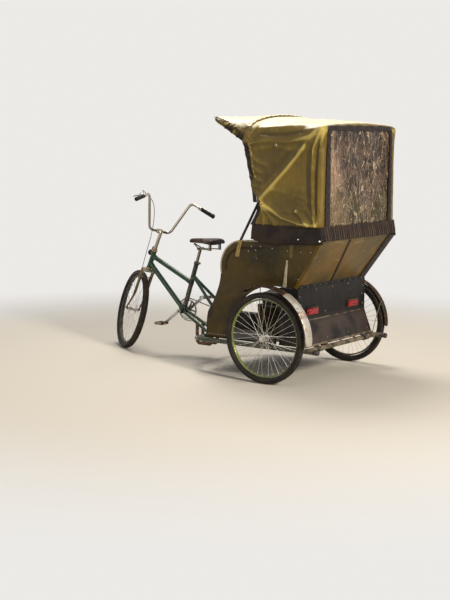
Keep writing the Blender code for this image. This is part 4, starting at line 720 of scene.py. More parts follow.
def window_finish():
    """Clear vinyl gone brown and crinkled, with a painted lit patch on the left, painted glints
    and painted shade along the crinkles, and greener and darker towards the bottom.
    """
    material = finish("clear_vinyl", "clear_vinyl", (0.048, 0.029, 0.025), 0.17,
                      [patches(7.0, (0.17, 0.105, 0.07), 0.22, 0.8, 0.44, 0.6, detail=6.0),
                       patches(15.0, (0.03, 0.026, 0.014), 0.24, 0.75, 0.52, 0.62, detail=6.0)],
                      [bump("creases", 0.008, scale=8.0, along_z=0.45, twist=2.0, width=0.1),
                       bump("creases", 0.004, scale=24.0, along_z=0.4, twist=1.0, width=0.12)],
                      Coat_Weight=0.18, Coat_Roughness=0.1)
    tree = material.node_tree
    shader = tree.nodes["Principled BSDF"]
    shade = shader.inputs["Base Color"].links[0].from_socket
    spot = node(tree, "SeparateXYZ", {"Vector": place_of(tree)}).outputs
    slant = math(tree, "SUBTRACT", spot["X"], math(tree, "MULTIPLY", spot["Z"], 0.42))
    uneven = math(tree, "MULTIPLY", cloud(tree, 4.5, 5.0), 0.62)
    # A slanting patch on the left is painted light.
    lit = remap(tree, math(tree, "ADD", slant, uneven), -0.170, 0.010, 0.0, 0.88)
    shade = mix(tree, lit, shade, (0.44, 0.285, 0.190))
    # Greener and darker towards the bottom.
    low = remap(tree, math(tree, "ADD", spot["Z"], uneven), 1.74, 1.52, 0.0, 0.60)
    shade = mix(tree, low, shade, (0.105, 0.088, 0.026))
    for scale, along, twist, width, colour, strength in WINDOW_LINES:
        lines = use(tree, "creases", scale=scale, along_z=along, twist=twist, width=width)
        shade = mix(tree, math(tree, "MULTIPLY", lines, strength), shade, colour)
    tree.links.new(shade, shader.inputs["Base Color"])
    haze = use(tree, "blotches", scale=5.0, low=0.3, high=0.75)
    tree.links.new(remap(tree, haze, 0.0, 1.0, 0.80, 0.93, "LINEAR"), shader.inputs["Alpha"])


make_finishes()


# Steering: made in its own frame, whose Z axis is the head tube's

HEAD_FOOT = Vector((0, -0.75679, 0.7))
HEAD_LEAN = radians(23)
STEER_REST = radians(36)
HEAD = Matrix.Translation(HEAD_FOOT) @ Matrix.Rotation(-HEAD_LEAN, 4, "X")
STEER = HEAD @ Matrix.Rotation(-STEER_REST, 4, "Z")
HEAD_LENGTH = 0.150
DROP = 0.42416
FORK_OFFSET = 0.060
BLADE_SPREAD = 0.048
STEM_TOP = 0.315
STEM_REACH = 0.040
BAR_RADIUS = 0.0111
GRIP_LENGTH = 0.125
LEVER_BAND = 0.024
MOVING_GAP = 0.006
BAR_RISE = 0.300
CABLE_RADIUS = 0.0025


def bar_points(side):
    return [Vector((0, -0.04, 0.315)), Vector((side * 0.09, -0.04, 0.315)),
            Vector((side * 0.185, -0.04, 0.615)), Vector((side * 0.335, 0.15, 0.6039))]


def grip_place(side):
    """End of the bar and the direction back along its grip."""
    path = bar_points(side)
    return path[3], (path[2] - path[3]).normalized()


def brake_cable():
    """The front brake's cable, along the same points as its solid."""
    end, back = grip_place(1)
    root = end + back * (GRIP_LENGTH + MOVING_GAP + LEVER_BAND + SEAT_GAP)
    ahead = Vector((0, -1, 0))
    ahead = (ahead - back * ahead.dot(back)).normalized()
    start = root + ahead * (BAR_RADIUS + CABLE_RADIUS * 1.5)
    y = -STEM_REACH - 0.020 - 0.045
    x = BLADE_SPREAD - 0.0025
    arm_top = -0.010 - 0.030 - MOVING_GAP / 2 - SEAT_GAP
    low_y = -0.0140 * cos(pi / 8) - 0.0012 - 0.010 - CABLE_RADIUS
    route = [start, start + back * LEVER_BAND + ahead * CABLE_RADIUS * 2,
             start + back * 0.090 + ahead * 0.045,
             Vector((0.090, y - 0.045, STEM_TOP + BAR_RISE * 0.62)),
             Vector((0.045, y, STEM_TOP)),
             Vector((x, low_y - LEVER_BAND, HEAD_LENGTH / 2)),
             Vector((x, low_y - CABLE_RADIUS * 3, 0)),
             Vector((x, low_y, arm_top)), Vector((x, low_y, arm_top - 0.016))]
    points = [STEER @ point for point in smooth_line(route, 4)]
    curve = bpy.data.curves.new("front_brake_cable_line", "CURVE")
    curve.dimensions = "3D"
    spline = curve.splines.new("BEZIER")
    spline.bezier_points.add(len(points) - 1)
    for knot, point in zip(spline.bezier_points, points):
        knot.co = point
        knot.handle_left_type = knot.handle_right_type = "AUTO"
    curve.bevel_depth = CABLE_RADIUS
    curve.bevel_resolution = 4
    curve.resolution_u = 3
    curve.use_fill_caps = True
    curve.materials.append(PAINTS["cable_sleeve"])
    line = linked("brake_cable_front", curve)
    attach(line, "steering")
    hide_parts("front_brake_cable")


brake_cable()


def fork():
    """Steerer, a forged crown, two raked blades with dropouts, and the axle with its nuts."""
    shape = bmesh.new()
    crown_top, crown_low = -0.0103, -0.0403
    outline = [(-0.0525, -0.006), (-0.045, -0.015), (-0.016, -0.018), (0.016, -0.018),
               (0.045, -0.015), (0.0525, -0.006), (0.0525, 0.006), (0.045, 0.015),
               (0.016, 0.018), (-0.016, 0.018), (-0.045, 0.015), (-0.0525, 0.006)]
    levels = [(crown_low, 0.90), (crown_low + 0.004, 1.0), (crown_top - 0.005, 1.0),
              (crown_top, 0.90)]
    skin(shape, [[Vector((x * grow, y * grow, z)) for x, y in outline] for z, grow in levels], 1)
    tube(shape, [(0, 0, crown_low), (0, 0, 0.169)], 0.0127, 20, 2)
    for side in (1, -1):
        x = side * BLADE_SPREAD
        tip_x = side * (0.0453 + 0.003 + 0.0085)
        path = bent([(x, 0, crown_top - 0.006), (x, 0, -DROP * 0.62),
                     (tip_x, -FORK_OFFSET, -DROP + 0.006)], DROP / 3, 12)
        lengths = [i / (len(path) - 1) for i in range(len(path))]
        tube(shape, path, [0.0140 - 0.0055 * share for share in lengths], 18, 0, flat=0.86)
        tube(shape, [(x, 0, crown_low - 0.014), (x, 0, crown_low + 0.004)], [0.0148, 0.0156], 18)
        low = side * 0.0453
        for size in (0.013, 0.0085):
            lathe(shape, [(0, 0.0055), (0, size), (side * 0.006, size), (side * 0.006, 0.0055)],
                  Matrix.Translation((low, -FORK_OFFSET, -DROP)), 24, 0, True)
        bolt(shape, (low + side * 0.0062, -FORK_OFFSET, -DROP), (side, 0, 0), 0.0075, 2)
    tube(shape, [(-0.066, -FORK_OFFSET, -DROP), (0.066, -FORK_OFFSET, -DROP)], 0.005, 14, 2)
    piece("fork_blades", shape, ["fork_bronze", "chrome_plate", "bare_steel"], "steering",
          ("fork", "front_axle"), place=STEER)


def stem_and_bar():
    """Quill stem with its clamp and bolts, and the high-rise bar."""
    shape = bmesh.new()
    tube(shape, [(0, 0, 0.1705), (0, 0, 0.176), (0, 0, 0.177), (0, 0, STEM_TOP - 0.008),
                 (0, 0, STEM_TOP + 0.012), (0, 0, STEM_TOP + 0.015)],
         [0.0175, 0.0175, 0.0148, 0.0148, 0.0150, 0.009], 24)
    bolt(shape, (0, 0, STEM_TOP + 0.015), (0, 0, 1), 0.007, 1)
    tube(shape, [(0, 0.004, STEM_TOP), (0, -0.020, STEM_TOP), (0, -STEM_REACH, STEM_TOP)],
         [0.0145, 0.0150, 0.0175], 20)
    clamp_place = Matrix.Translation((0, -STEM_REACH, STEM_TOP))
    lathe(shape, [(-0.023, 0.0113), (-0.023, 0.0165), (-0.019, 0.0200), (0.019, 0.0200),
                  (0.023, 0.0165), (0.023, 0.0113)], clamp_place, 28, 0, True)
    brick(shape, (-0.014, -0.030, -0.0105), (0.014, -0.014, 0.0105), clamp_place, 0.003)
    for x in (-0.008, 0.008):
        bolt(shape, (x, -STEM_REACH - 0.030, STEM_TOP), (0, -1, 0), 0.0042, 1)
    piece("stem_clamp", shape, ["chrome_plate", "bare_steel"], "steering", ("stem",), place=STEER)
    shape = bmesh.new()
    left, right = bar_points(1), bar_points(-1)
    tube(shape, bent([*reversed(left[1:]), *right[1:]], 0.045, 12), BAR_RADIUS, 20)
    piece("bar_bend", shape, ["chrome_plate"], "steering", ("handlebar",), place=STEER)


def grips_and_levers():
    for name, side in SIDES:
        end, back = grip_place(side)
        place = facing(end, back)
        shape = bmesh.new()
        profile = [(-0.0045, 0), (-0.0045, 0.0130), (-0.002, 0.0168), (0.004, 0.0165)]
        for rib in range(14):
            x = 0.008 + rib * 0.0078
            profile += [(x, 0.0150), (x + 0.0012, 0.0164), (x + 0.0050, 0.0164),
                        (x + 0.0062, 0.0150)]
        profile += [(0.1195, 0.0150), (0.1205, 0.0172), (0.1250, 0.0172), (0.1250, 0.0112)]
        lathe(shape, profile, place, 28)
        piece(f"grip_ribbed_{name}", shape, ["rubber_black"], "steering", (f"grip_{name}",),
              sharp=50, place=STEER)
        lever(name, side, end, back)


def lever(name, side, end, back):
    """Clamp band, a pivot body with the cable's barrel, and a curved blade under the grip."""
    shape = bmesh.new()
    start = GRIP_LENGTH + MOVING_GAP
    place = facing(end + back * start, back)
    lathe(shape, [(0, 0.0113), (0, 0.0150), (0.003, 0.0162), (0.021, 0.0162), (0.024, 0.0150),
                  (0.024, 0.0113)], place, 24, 0, True)
    root = end + back * (start + LEVER_BAND / 2)
    ahead = Vector((side, 0, 0))
    ahead = (ahead - back * ahead.dot(back)).normalized()
    up = back.cross(ahead).normalized()
    knee = root + ahead * 0.034
    tube(shape, [root + ahead * 0.010, root + ahead * 0.022, knee], [0.0095, 0.0085, 0.0070], 14,
         0, flat=0.75, across=back)
    tip = knee - back * 0.115 + ahead * 0.010
    middle = blend_points(knee, tip, 0.5) - ahead * 0.009
    blade = smooth_line([knee, blend_points(knee, middle, 0.5) - ahead * 0.001, middle, tip], 6)
    sizes = [0.0062 - 0.0016 * i / (len(blade) - 1) for i in range(len(blade))]
    tube(shape, blade, sizes, 14, 0, flat=0.55, across=up)
    lathe(shape, [(-0.004, 0), (-0.004, 0.0045), (0, 0.0062), (0.004, 0.0045), (0.004, 0)],
          facing(tip, back), 14)
    bolt(shape, knee + up * 0.0052, up, 0.0045, 1)
    forward = Vector((0, -1, 0))
    forward = (forward - back * forward.dot(back)).normalized()
    barrel = root + back * (LEVER_BAND / 2 - 0.012) + forward * (BAR_RADIUS + CABLE_RADIUS * 1.5)
    tube(shape, [barrel, barrel + back * 0.011], [0.0052, 0.0044], 12, 1)
    bolt(shape, root - forward * 0.0155, -forward, 0.004, 1)
    piece(f"brake_lever_{name}", shape, ["chrome_plate", "bare_steel"], "steering",
          (f"lever_{name}",), place=STEER)


def rim_brake():
    """Brake arms with pads and pivots."""
    top = -0.0433
    for name, side in SIDES:
        shape = bmesh.new()
        x = side * (BLADE_SPREAD - 0.0025)
        y = -0.0140 * cos(pi / 8) - 0.0005
        outline = smooth_line([(-0.0070, -0.095), (-0.0080, -0.080), (-0.0060, -0.050),
                               (-0.0050, -0.020), (-0.0062, 0.0)], 4)
        far = smooth_line([(0.0062, 0.0), (0.0050, -0.020), (0.0060, -0.050), (0.0080, -0.080),
                           (0.0070, -0.095)], 4)
        rings = [[Vector((x + a.x, level, top + a.y)) for a in [*outline, *far]]
                 for level in (y - 0.0095, y - 0.0085, y - 0.0012, y)]
        skin(shape, rings)
        bolt(shape, (x, y - 0.0095, top - 0.082), (0, -1, 0), 0.0050, 1)
        bolt(shape, (x, y - 0.0095, top - 0.008), (0, -1, 0), 0.0036, 1)
        brick(shape, (x - 0.004 - side * 0.013, y - 0.014, top - 0.062),
              (x + 0.004 - side * 0.013, y + 0.020, top - 0.050),
              rounding=0.002, finish=2)
        piece(f"brake_arm_shaped_{name}", shape, ["cast_alloy", "bare_steel", "rubber_black"],
              "steering", (f"brake_arm_{name}",), place=STEER)
        rounded(bpy.data.objects[f"brake_arm_shaped_{name}"], 0.0008)


def headset():
    for name, low in (("lower", -0.010), ("upper", HEAD_LENGTH + SEAT_GAP)):
        shape = bmesh.new()
        turn = 1 if name == "upper" else -1
        middle = low + 0.00485
        profile = [(-0.0048, 0.0152), (-0.0048, 0.0205), (-0.0040, 0.0222), (-0.0012, 0.0235),
                   (0.0016, 0.0235), (0.0030, 0.0212), (0.0040, 0.0206), (0.0048, 0.0190),
                   (0.0048, 0.0152)]
        place = facing((0, 0, middle), (0, 0, turn))
        lathe(shape, profile, place, 32, 0, True)
        piece(f"headset_cup_{name}", shape, ["headset_brass"], "chassis", (f"headset_{name}",),
              sharp=28, place=HEAD)
    shape = bmesh.new()
    lathe(shape, [(0, 0.0130), (0, 0.0205), (0.003, 0.0215), (0.0095, 0.0215), (0.0100, 0.0190),
                  (0.0100, 0.0130)], facing((0, 0, 0.1602), (0, 0, 1)), 8, 0, True)
    piece("headset_lock_nut", shape, ["headset_brass"], "steering", place=STEER)
    rounded(bpy.data.objects["headset_lock_nut"], 0.0008)


def lamp_bracket():
    """Bent strap in front of the head, with a round reflector."""
    shape = bmesh.new()
    strap = smooth_line([(0, -0.021, 0.172), (0, -0.040, 0.176), (0, -0.062, 0.160),
                         (0, -0.066, 0.128), (0, -0.066, 0.100)], 5)
    tube(shape, strap, 0.0075, 12, 0, flat=0.25, across=(1, 0, 0))
    place = facing((0, -0.0675, 0.106), (0, -1, 0))
    lathe(shape, [(0, 0), (0, 0.024), (0.004, 0.026), (0.010, 0.026), (0.011, 0.0235),
                  (0.009, 0.0225)], place, 32, 1)
    lathe(shape, [(0.008, 0.0235), (0.010, 0.020), (0.0125, 0.010), (0.0130, 0)], place, 32, 2)
    piece("front_reflector", shape, ["bare_steel", "plastic_black", "rail_pale"], "steering",
          place=STEER)


# Wheels: made about the X axis at their own centre

TYRE_RADIUS = 0.335
RIM_OUTER = 0.289
HUB_Z = TYRE_RADIUS
TRACK = 1.180


def wheel_rim(shape):
    profile = [(-0.0125, 0.2888), (-0.0125, 0.2830), (-0.0105, 0.2805), (-0.0068, 0.2772),
               (-0.0030, 0.2760), (0.0030, 0.2760), (0.0068, 0.2772), (0.0105, 0.2805),
               (0.0125, 0.2830), (0.0125, 0.2888), (0.0100, 0.2888), (-0.0100, 0.2888)]
    lathe(shape, profile, steps=112, finish=0, joined=True)
    for side in (1, -1):
        groove = [(side * 0.0126, 0.2872), (side * 0.0130, 0.2864), (side * 0.0130, 0.2842),
                  (side * 0.0124, 0.2834)]
        lathe(shape, groove, steps=112, finish=3, joined=True)


def wheel_spokes(shape, count=36):
    for index in range(count):
        turn = PI2 * index / count
        side = 1 if index % 2 else -1
        lean = 1 if index // 2 % 2 else -1
        out = side * (0.028 + lean * 0.0014)
        first = turn + lean * radians(54)
        start = Vector((out, 0.0215 * cos(first), 0.0215 * sin(first)))
        rim = Vector((side * 0.0025, 0.2775 * cos(turn), 0.2775 * sin(turn)))
        tube(shape, [start, rim], 0.00115, 6, 1)
        inward = (start - rim).normalized()
        tube(shape, [rim - inward * 0.001, rim + inward * 0.003, rim + inward * 0.012],
             [0.0030, 0.0022, 0.0017], 6, 1)
        lathe(shape, [(-0.0012, 0), (-0.0012, 0.0024), (0, 0.0024), (0.0004, 0)],
              facing(start + Vector((side * 0.0016 * lean, 0, 0)), (lean * side, 0, 0)), 6, 1)


def wheel_hub(shape, shaft):
    profile = [(-0.045, 0), (-0.045, 0.0105), (-0.034, 0.0112), (-0.032, 0.0150),
               (-0.0300, 0.0230), (-0.0292, 0.0245), (-0.0265, 0.0245), (-0.0255, 0.0225),
               (-0.0225, 0.0155), (-0.014, 0.0138)]
    profile += [(-x, radius) for x, radius in reversed(profile)]
    lathe(shape, profile, steps=40, finish=2)
    for side in (1, -1):
        for index in range(18):
            turn = PI2 * index / 18
            lathe(shape, [(0, 0), (0, 0.0016), (0.0003, 0.0016), (0.0003, 0)],
                  facing((side * 0.0291, 0.0205 * cos(turn), 0.0205 * sin(turn)), (side, 0, 0)),
                  8, 3)
    if shaft:
        reach = TRACK / 2 - RAIL_X + 0.011
        lathe(shape, [(-reach, 0), (-reach, 0.0100), (-0.044, 0.0100), (-0.044, 0)], steps=20,
              finish=1)
        lathe(shape, [(0.0440, 0), (0.0440, 0.0155), (0.0445, 0.0180), (0.0400, 0.0190)],
              steps=28, finish=2)
        bolt(shape, (0.0385, 0, 0), (1, 0, 0), 0.0052, 1, nut=False)
        lathe(shape, [(-0.040, 0.0115), (-0.040, 0.0400), (-0.036, 0.0420), (-0.033, 0.0400),
                      (-0.033, 0.0115)], steps=40, finish=3, joined=True)


def valve(shape):
    tube(shape, [(0, 0, 0.2770), (0, 0, 0.2480)], [0.0031, 0.0026], 10, 1)
    tube(shape, [(0, 0, 0.2490), (0, 0, 0.2400)], [0.0038, 0.0033], 10, 3)


def wheel(name, place, body, rim, node_name, shaft):
    shape = bmesh.new()
    wheel_rim(shape)
    wheel_spokes(shape)
    wheel_hub(shape, shaft)
    valve(shape)
    piece(name, shape, [rim, "bare_spoke", "cast_alloy", "rim_edge_dark"], body, (node_name,),
          place=place, sharp=40)


def tyre(name, place, body, node_name):
    """Round casing with a moulded rib, side lugs and two rows of tread blocks."""
    shape = bmesh.new()
    profile = []
    for step in range(25):
        turn = radians(-62 + 304 * step / 24)
        x, r = 0.0268 * cos(turn), 0.3115 + 0.0212 * sin(turn)
        profile.append((x, max(r, RIM_OUTER + 0.0005)))
    lathe(shape, profile, steps=112, finish=1, joined=True)
    for side in (1, -1):
        for radius in (0.2965, 0.3215):
            x = side * 0.0268 * sqrt(max(1 - ((radius - 0.3115) / 0.0212) ** 2, 0.05))
            lathe(shape, [(x - side * 0.001, radius - 0.0014),
                          (x + side * 0.0008, radius - 0.0005),
                          (x + side * 0.0008, radius + 0.0005),
                          (x - side * 0.001, radius + 0.0014)],
                  steps=112, finish=1, joined=True)
    count = 88
    rows = ((-0.0195, 0.0085, 0.5, 0.55), (-0.0066, 0.0100, 0.0, 0.66),
            (0.0066, 0.0100, 0.5, 0.66), (0.0195, 0.0085, 0.0, 0.55))
    for x, width, shift, share in rows:
        lean = -x * 1.1
        for index in range(count):
            start = PI2 * (index + shift) / count
            end = start + PI2 / count * share
            rings = []
            for grow, top in ((1.12, -0.0022), (0.92, 0.0)):
                ring = []
                for across, turn, twist in ((-1, start, -lean), (1, start, lean), (1, end, lean),
                                            (-1, end, -lean)):
                    spot = x + across * width / 2 * grow
                    side_turn = turn + twist * 0.55
                    radius = 0.3349 - 0.0210 * (1 - sqrt(max(1 - (spot / 0.0290) ** 2, 0.0))) + top
                    ring.append(Vector((spot, radius * cos(side_turn), radius * sin(side_turn))))
                rings.append(ring)
            skin(shape, rings, 0)
    piece(name, shape, ["tyre_tread", "tyre_wall"], body, (node_name,), place=place, sharp=38)


def wheels():
    for name, side in SIDES:
        turn = 0 if side > 0 else pi
        place = (Matrix.Translation((side * TRACK / 2, AXLE_Y, HUB_Z))
                 @ Matrix.Rotation(turn, 4, "Z") @ Matrix.Rotation(radians(17), 4, "X"))
        body = f"rear_wheel_{name}_body"
        wheel(f"wire_wheel_{name}", place, body, "rim_lime" if side > 0 else "rim_black",
              f"rear_wheel_{name}", True)
        tyre(f"balloon_tyre_{name}", place, body, f"rear_tyre_{name}")
    place = (STEER @ Matrix.Translation((0, -FORK_OFFSET, -DROP))
             @ Matrix.Rotation(radians(18.95 + 40), 4, "X"))
    wheel("wire_wheel_front", place, "front_wheel_body", "rim_black", "front_wheel", False)
    tyre("balloon_tyre_front", place, "front_wheel_body", "front_tyre")


# Bicycle frame

CRANK_Z = 0.372
CRANK = at(0, -1.195, CRANK_Z)
SADDLE_TOP = 0.975
SADDLE_Y = -0.988
SADDLE_LENGTH = 0.285
SEAT_LEAN = radians(18.1)
CRANK_ARM = 0.168
PEDAL_SIDE = 0.065
RING_X, RING_RADIUS = -0.060, 0.084
REAR_CHAIN_X, SPROCKET_RADIUS = 0.030, 0.040
JACK_Y = -0.860


def seat_point(distance):
    return CRANK + Vector((0, sin(SEAT_LEAN), cos(SEAT_LEAN))) * distance


def head_point(distance):
    return HEAD_FOOT + Vector((0, sin(HEAD_LEAN), cos(HEAD_LEAN))) * distance


def lug(shape, start, direction, radius, length=0.030, finish=0):
    """A short sleeve at a tube's end, with a thinned edge."""
    direction = Vector(direction).normalized()
    tube(shape, [start, start + direction * length * 0.8, start + direction * length],
         [radius + 0.0022, radius + 0.0020, radius + 0.0004], 20, finish)


def front_frame():
    shape = bmesh.new()
    top_a, top_b = head_point(0.105), seat_point(0.245)
    down_a = head_point(0.038)
    lathe(shape, [(0, 0.0150), (0, 0.0212), (0.004, 0.0212), (0.006, 0.0200), (0.144, 0.0200),
                  (0.146, 0.0212), (HEAD_LENGTH, 0.0212), (HEAD_LENGTH, 0.0150)],
          facing(head_point(0), head_point(1) - head_point(0)), 28, 0, True)
    tube(shape, [top_a, top_b], 0.0190, 22)
    tube(shape, [down_a, CRANK], 0.0205, 22)
    tube(shape, [CRANK, seat_point(0.425)], 0.0190, 22, 1)
    lug(shape, top_a + (top_b - top_a).normalized() * 0.012, top_b - top_a, 0.0190)
    lug(shape, top_b + (top_a - top_b).normalized() * 0.012, top_a - top_b, 0.0190)
    lug(shape, down_a + (CRANK - down_a).normalized() * 0.014, CRANK - down_a, 0.0205)
    lug(shape, CRANK + (down_a - CRANK).normalized() * 0.018, down_a - CRANK, 0.0205)
    lug(shape, seat_point(0.018), seat_point(1) - seat_point(0), 0.0190, finish=1)
    tube(shape, [seat_point(0.222), seat_point(0.228), seat_point(0.262), seat_point(0.268)],
         [0.0190, 0.0212, 0.0212, 0.0190], 22, 1)
    tube(shape, [seat_point(0.400), seat_point(0.402), seat_point(0.4255)],
         [0.0192, 0.0218, 0.0218], 22, 1)
    lathe(shape, [(-0.0365, 0.0095), (-0.0365, 0.0225), (-0.034, 0.0245), (0.034, 0.0245),
                  (0.0365, 0.0225), (0.0365, 0.0095)], Matrix.Translation(CRANK), 28, 0, True)
    for side in (1, -1):
        near = CRANK + Vector((side * 0.024, 0, 0))
        far = at(side * 0.050, -0.885, 0.205)
        gap = (far - CRANK).normalized() * 0.0206
        tube(shape, [near, far - gap], 0.0125, 18)
        top, low = seat_point(0.305), at(side * 0.110, -0.665, RAIL_Z)
        down = (low - top).normalized()
        tube(shape, [top, low - down * 0.0206], 0.0125, 18)
        tube(shape, [top + down * 0.012, top + down * 0.05], [0.0150, 0.0127], 18)
    for share in (0.24, 0.62):
        spot = blend_points(down_a, CRANK, share)
        tube(shape, [spot - Vector((0.024, 0, 0)), spot + Vector((0.024, 0, 0))], 0.0035, 10, 2)
    place = facing(seat_point(0.4135) + Vector((0, 0.0215, 0)), (0, 1, 0))
    brick(shape, (0, -0.009, -0.008), (0.014, 0.009, 0.008), place, 0.002, 2)
    bolt(shape, seat_point(0.4135) + Vector((0.009, 0.030, 0.001)), (1, 0, 0), 0.0055, 2)
    piece("frame_tubes", shape, ["frame_enamel", "seat_tube_dark", "bare_steel"], "chassis",
          ("front_frame",))
    guard_loop()


def guard_loop():
    """Stand posts under the stays, their rails back and the rung between them."""
    shape = bmesh.new()
    share = (-1.030 + 1.195) / (-0.885 + 1.195)
    z = 0.372 + (0.205 - 0.372) * share
    x = 0.024 + (0.050 - 0.024) * share
    for side in (1, -1):
        path = bent([at(side * x, -1.030, z), at(side * x, -1.030, 0.124),
                     at(side * x, -0.885, 0.124), at(side * x, -0.885, 0.1872)], 0.027, 8)
        tube(shape, path, 0.0135, 16)
    tube(shape, [at(-x, -0.9575, 0.124), at(x, -0.9575, 0.124)], 0.0108, 14)
    piece("stand_loop", shape, ["rusty_brown"], "chassis")


def saddle():
    """Sprung saddle: a stuffed hide top with a rolled skirt, coils, rails and clamp."""
    head = seat_point((SADDLE_TOP - 0.042 - 0.046 - SEAT_GAP - CRANK_Z) / cos(SEAT_LEAN))
    rail_z = head.z
    low_z = rail_z + 0.0463
    shares = [(0.00, 0.42, 0.50), (0.03, 0.85, 0.66), (0.08, 1.02, 0.76), (0.20, 1.12, 0.84),
              (0.35, 1.22, 0.88), (0.50, 1.60, 0.92), (0.60, 2.25, 0.96), (0.70, 3.20, 1.00),
              (0.80, 3.95, 1.02), (0.88, 4.22, 1.02), (0.95, 4.02, 0.96), (0.99, 3.50, 0.82),
              (1.00, 3.10, 0.66)]
    section = [(-0.93, -0.10), (-1.0, 0.10), (-1.01, 0.38), (-0.93, 0.66), (-0.74, 0.88),
               (-0.44, 0.99), (-0.14, 0.99), (0.0, 0.955), (0.14, 0.99), (0.44, 0.99),
               (0.74, 0.88), (0.93, 0.66), (1.01, 0.38), (1.0, 0.10), (0.93, -0.10), (0.0, 0.06)]
    shape = bmesh.new()
    rings = []
    for along, wide, tall in shares:
        y = AXLE_Y + SADDLE_Y + SADDLE_LENGTH * (along - 0.5)
        half = 0.050 * wide / 2
        height = (SADDLE_TOP - low_z) * tall
        rings.append([Vector((half * across, y, low_z + height * up)) for across, up in section])
    skin(shape, rings)
    hide = piece("saddle_top", shape, ["saddle_hide"], "chassis", ("saddle",), sharp=80)
    swell = hide.modifiers.new("stuffing", "SUBSURF")
    swell.levels = swell.render_levels = 2
    shape = bmesh.new()
    tube(shape, [seat_point(0.3353), head], 0.0127, 20)
    reach = 0.215 * 0.16
    tube(shape, [(-reach, head.y, rail_z), (reach, head.y, rail_z)], 0.0105, 18)
    back_y, nose_y = AXLE_Y + SADDLE_Y + 0.1026, AXLE_Y + SADDLE_Y - 0.1026
    for side in (1, -1):
        x = side * 0.0645
        bolt(shape, (side * reach, head.y, rail_z), (side, 0, 0), 0.0085)
        tip = Vector((side * 0.005, nose_y, low_z - 0.010))
        knee = Vector((x * 0.4, head.y, rail_z))
        tube(shape, bent([tip, knee, Vector((x, back_y, rail_z))], 0.05, 6), 0.0050, 12)
        coil = []
        for step in range(97):
            turn = PI2 * step / 16
            coil.append(Vector((x + 0.0115 * cos(turn), back_y + 0.0115 * sin(turn),
                                rail_z - 0.003 + 0.0455 * step / 96)))
        tube(shape, coil, 0.0026, 8)
        for z in (rail_z - 0.005, low_z - 0.005):
            lathe(shape, [(0, 0), (0, 0.0150), (0.0035, 0.0150), (0.0035, 0)],
                  facing((x, back_y, z), (0, 0, 1)), 24)
    tube(shape, smooth_line([(-0.0645, back_y + 0.004, low_z - 0.004),
                             (0, back_y + 0.022, low_z - 0.004),
                             (0.0645, back_y + 0.004, low_z - 0.004)], 8), 0.0045, 10)
    piece("saddle_springs", shape, ["bare_steel"], "chassis", ("seat_post",))


# Drive: the crank is made in its own frame, turned to its place at rest

CRANK_TURN = Matrix.Translation(CRANK) @ Matrix.Rotation(radians(-52), 4, "X")


def teeth(shape, x, thick, radius, count, place=Matrix(), finish=0, bore=0.0):
    """A toothed ring: each tooth is a rounded wave on the outline."""
    outer = []
    for index in range(count * 4):
        turn = PI2 * index / (count * 4)
        size = radius + (0.0030, 0.0008, -0.0036, 0.0008)[index % 4]
        outer.append((size * cos(turn), size * sin(turn)))
    low, high = x - thick / 2, x + thick / 2
    if not bore:
        plate(shape, outer, low, high, place, finish)
        return
    inner = [(bore * cos(PI2 * i / (count * 4)), bore * sin(PI2 * i / (count * 4)))
             for i in range(count * 4)]
    rings = [[place @ Vector((low, *i)), place @ Vector((low, *o)), place @ Vector((high, *o)),
              place @ Vector((high, *i))] for i, o in zip(inner, outer)]
    skin(shape, rings, finish, joined=True)


def crankset():
    shape = bmesh.new()
    reach = PEDAL_SIDE + 0.013 + 0.004
    tube(shape, [(-reach, 0, 0), (reach, 0, 0)], 0.0085, 18, 1)
    teeth(shape, RING_X, 0.0034, RING_RADIUS, 42, bore=0.0700)
    for index in range(5):
        turn = Matrix.Rotation(PI2 * (index + 1 / 3) / 5, 4, "X")
        rings = []
        for z, wide in ((0.010, 0.013), (0.020, 0.0105), (0.045, 0.0065), (0.066, 0.0070),
                        (0.0745, 0.0085)):
            rings.append([turn @ Vector((x, y * wide, z))
                          for x, y in ((-0.0620, -1), (-0.0615, -1.1), (-0.0585, -1.1),
                                       (-0.0580, -1), (-0.0580, 1), (-0.0585, 1.1),
                                       (-0.0615, 1.1), (-0.0620, 1))])
        skin(shape, rings)
        bolt(shape, turn @ Vector((-0.0620, 0, 0.0715)), (-1, 0, 0), 0.0045, 1)
    for side in (1, -1):
        low = side * PEDAL_SIDE
        rings = []
        for step in range(13):
            share = step / 12
            z = -side * CRANK_ARM * share
            wide = 0.0128 if share < 0.5 else 0.0108
            if 0.04 < share < 0.96:
                wide = 0.0130 - 0.0022 * share
            thick = 0.0130 * (1 - 0.12 * sin(pi * share))
            centre = low + side * 0.0065
            rings.append([Vector((centre + thick / 2 * clamp(1.35 * cos(a), -1),
                                  wide * clamp(1.2 * sin(a), -1), z))
                          for a in [PI2 * k / 16 for k in range(16)]])
        skin(shape, rings)
        for z, size in ((0, 0.0150), (-side * CRANK_ARM, 0.0122)):
            lathe(shape, [(low, 0), (low, size), (low + side * 0.002, size + 0.0005),
                          (low + side * 0.011, size + 0.0005), (low + side * 0.013, size - 0.001),
                          (low + side * 0.013, 0)], Matrix.Translation((0, 0, z)), 26)
        bolt(shape, (low + side * 0.0128, 0, 0), (side, 0, 0), 0.0070, 1)
        tube(shape, [(low + side * 0.004, 0, -side * CRANK_ARM),
                     (low + side * 0.108, 0, -side * CRANK_ARM)], 0.0058, 14, 1)
    piece("crank_arms", shape, ["cast_alloy", "bare_steel"], "crank", ("crankset",),
          place=CRANK_TURN)
    for name, side in SIDES:
        pedal(name, side)


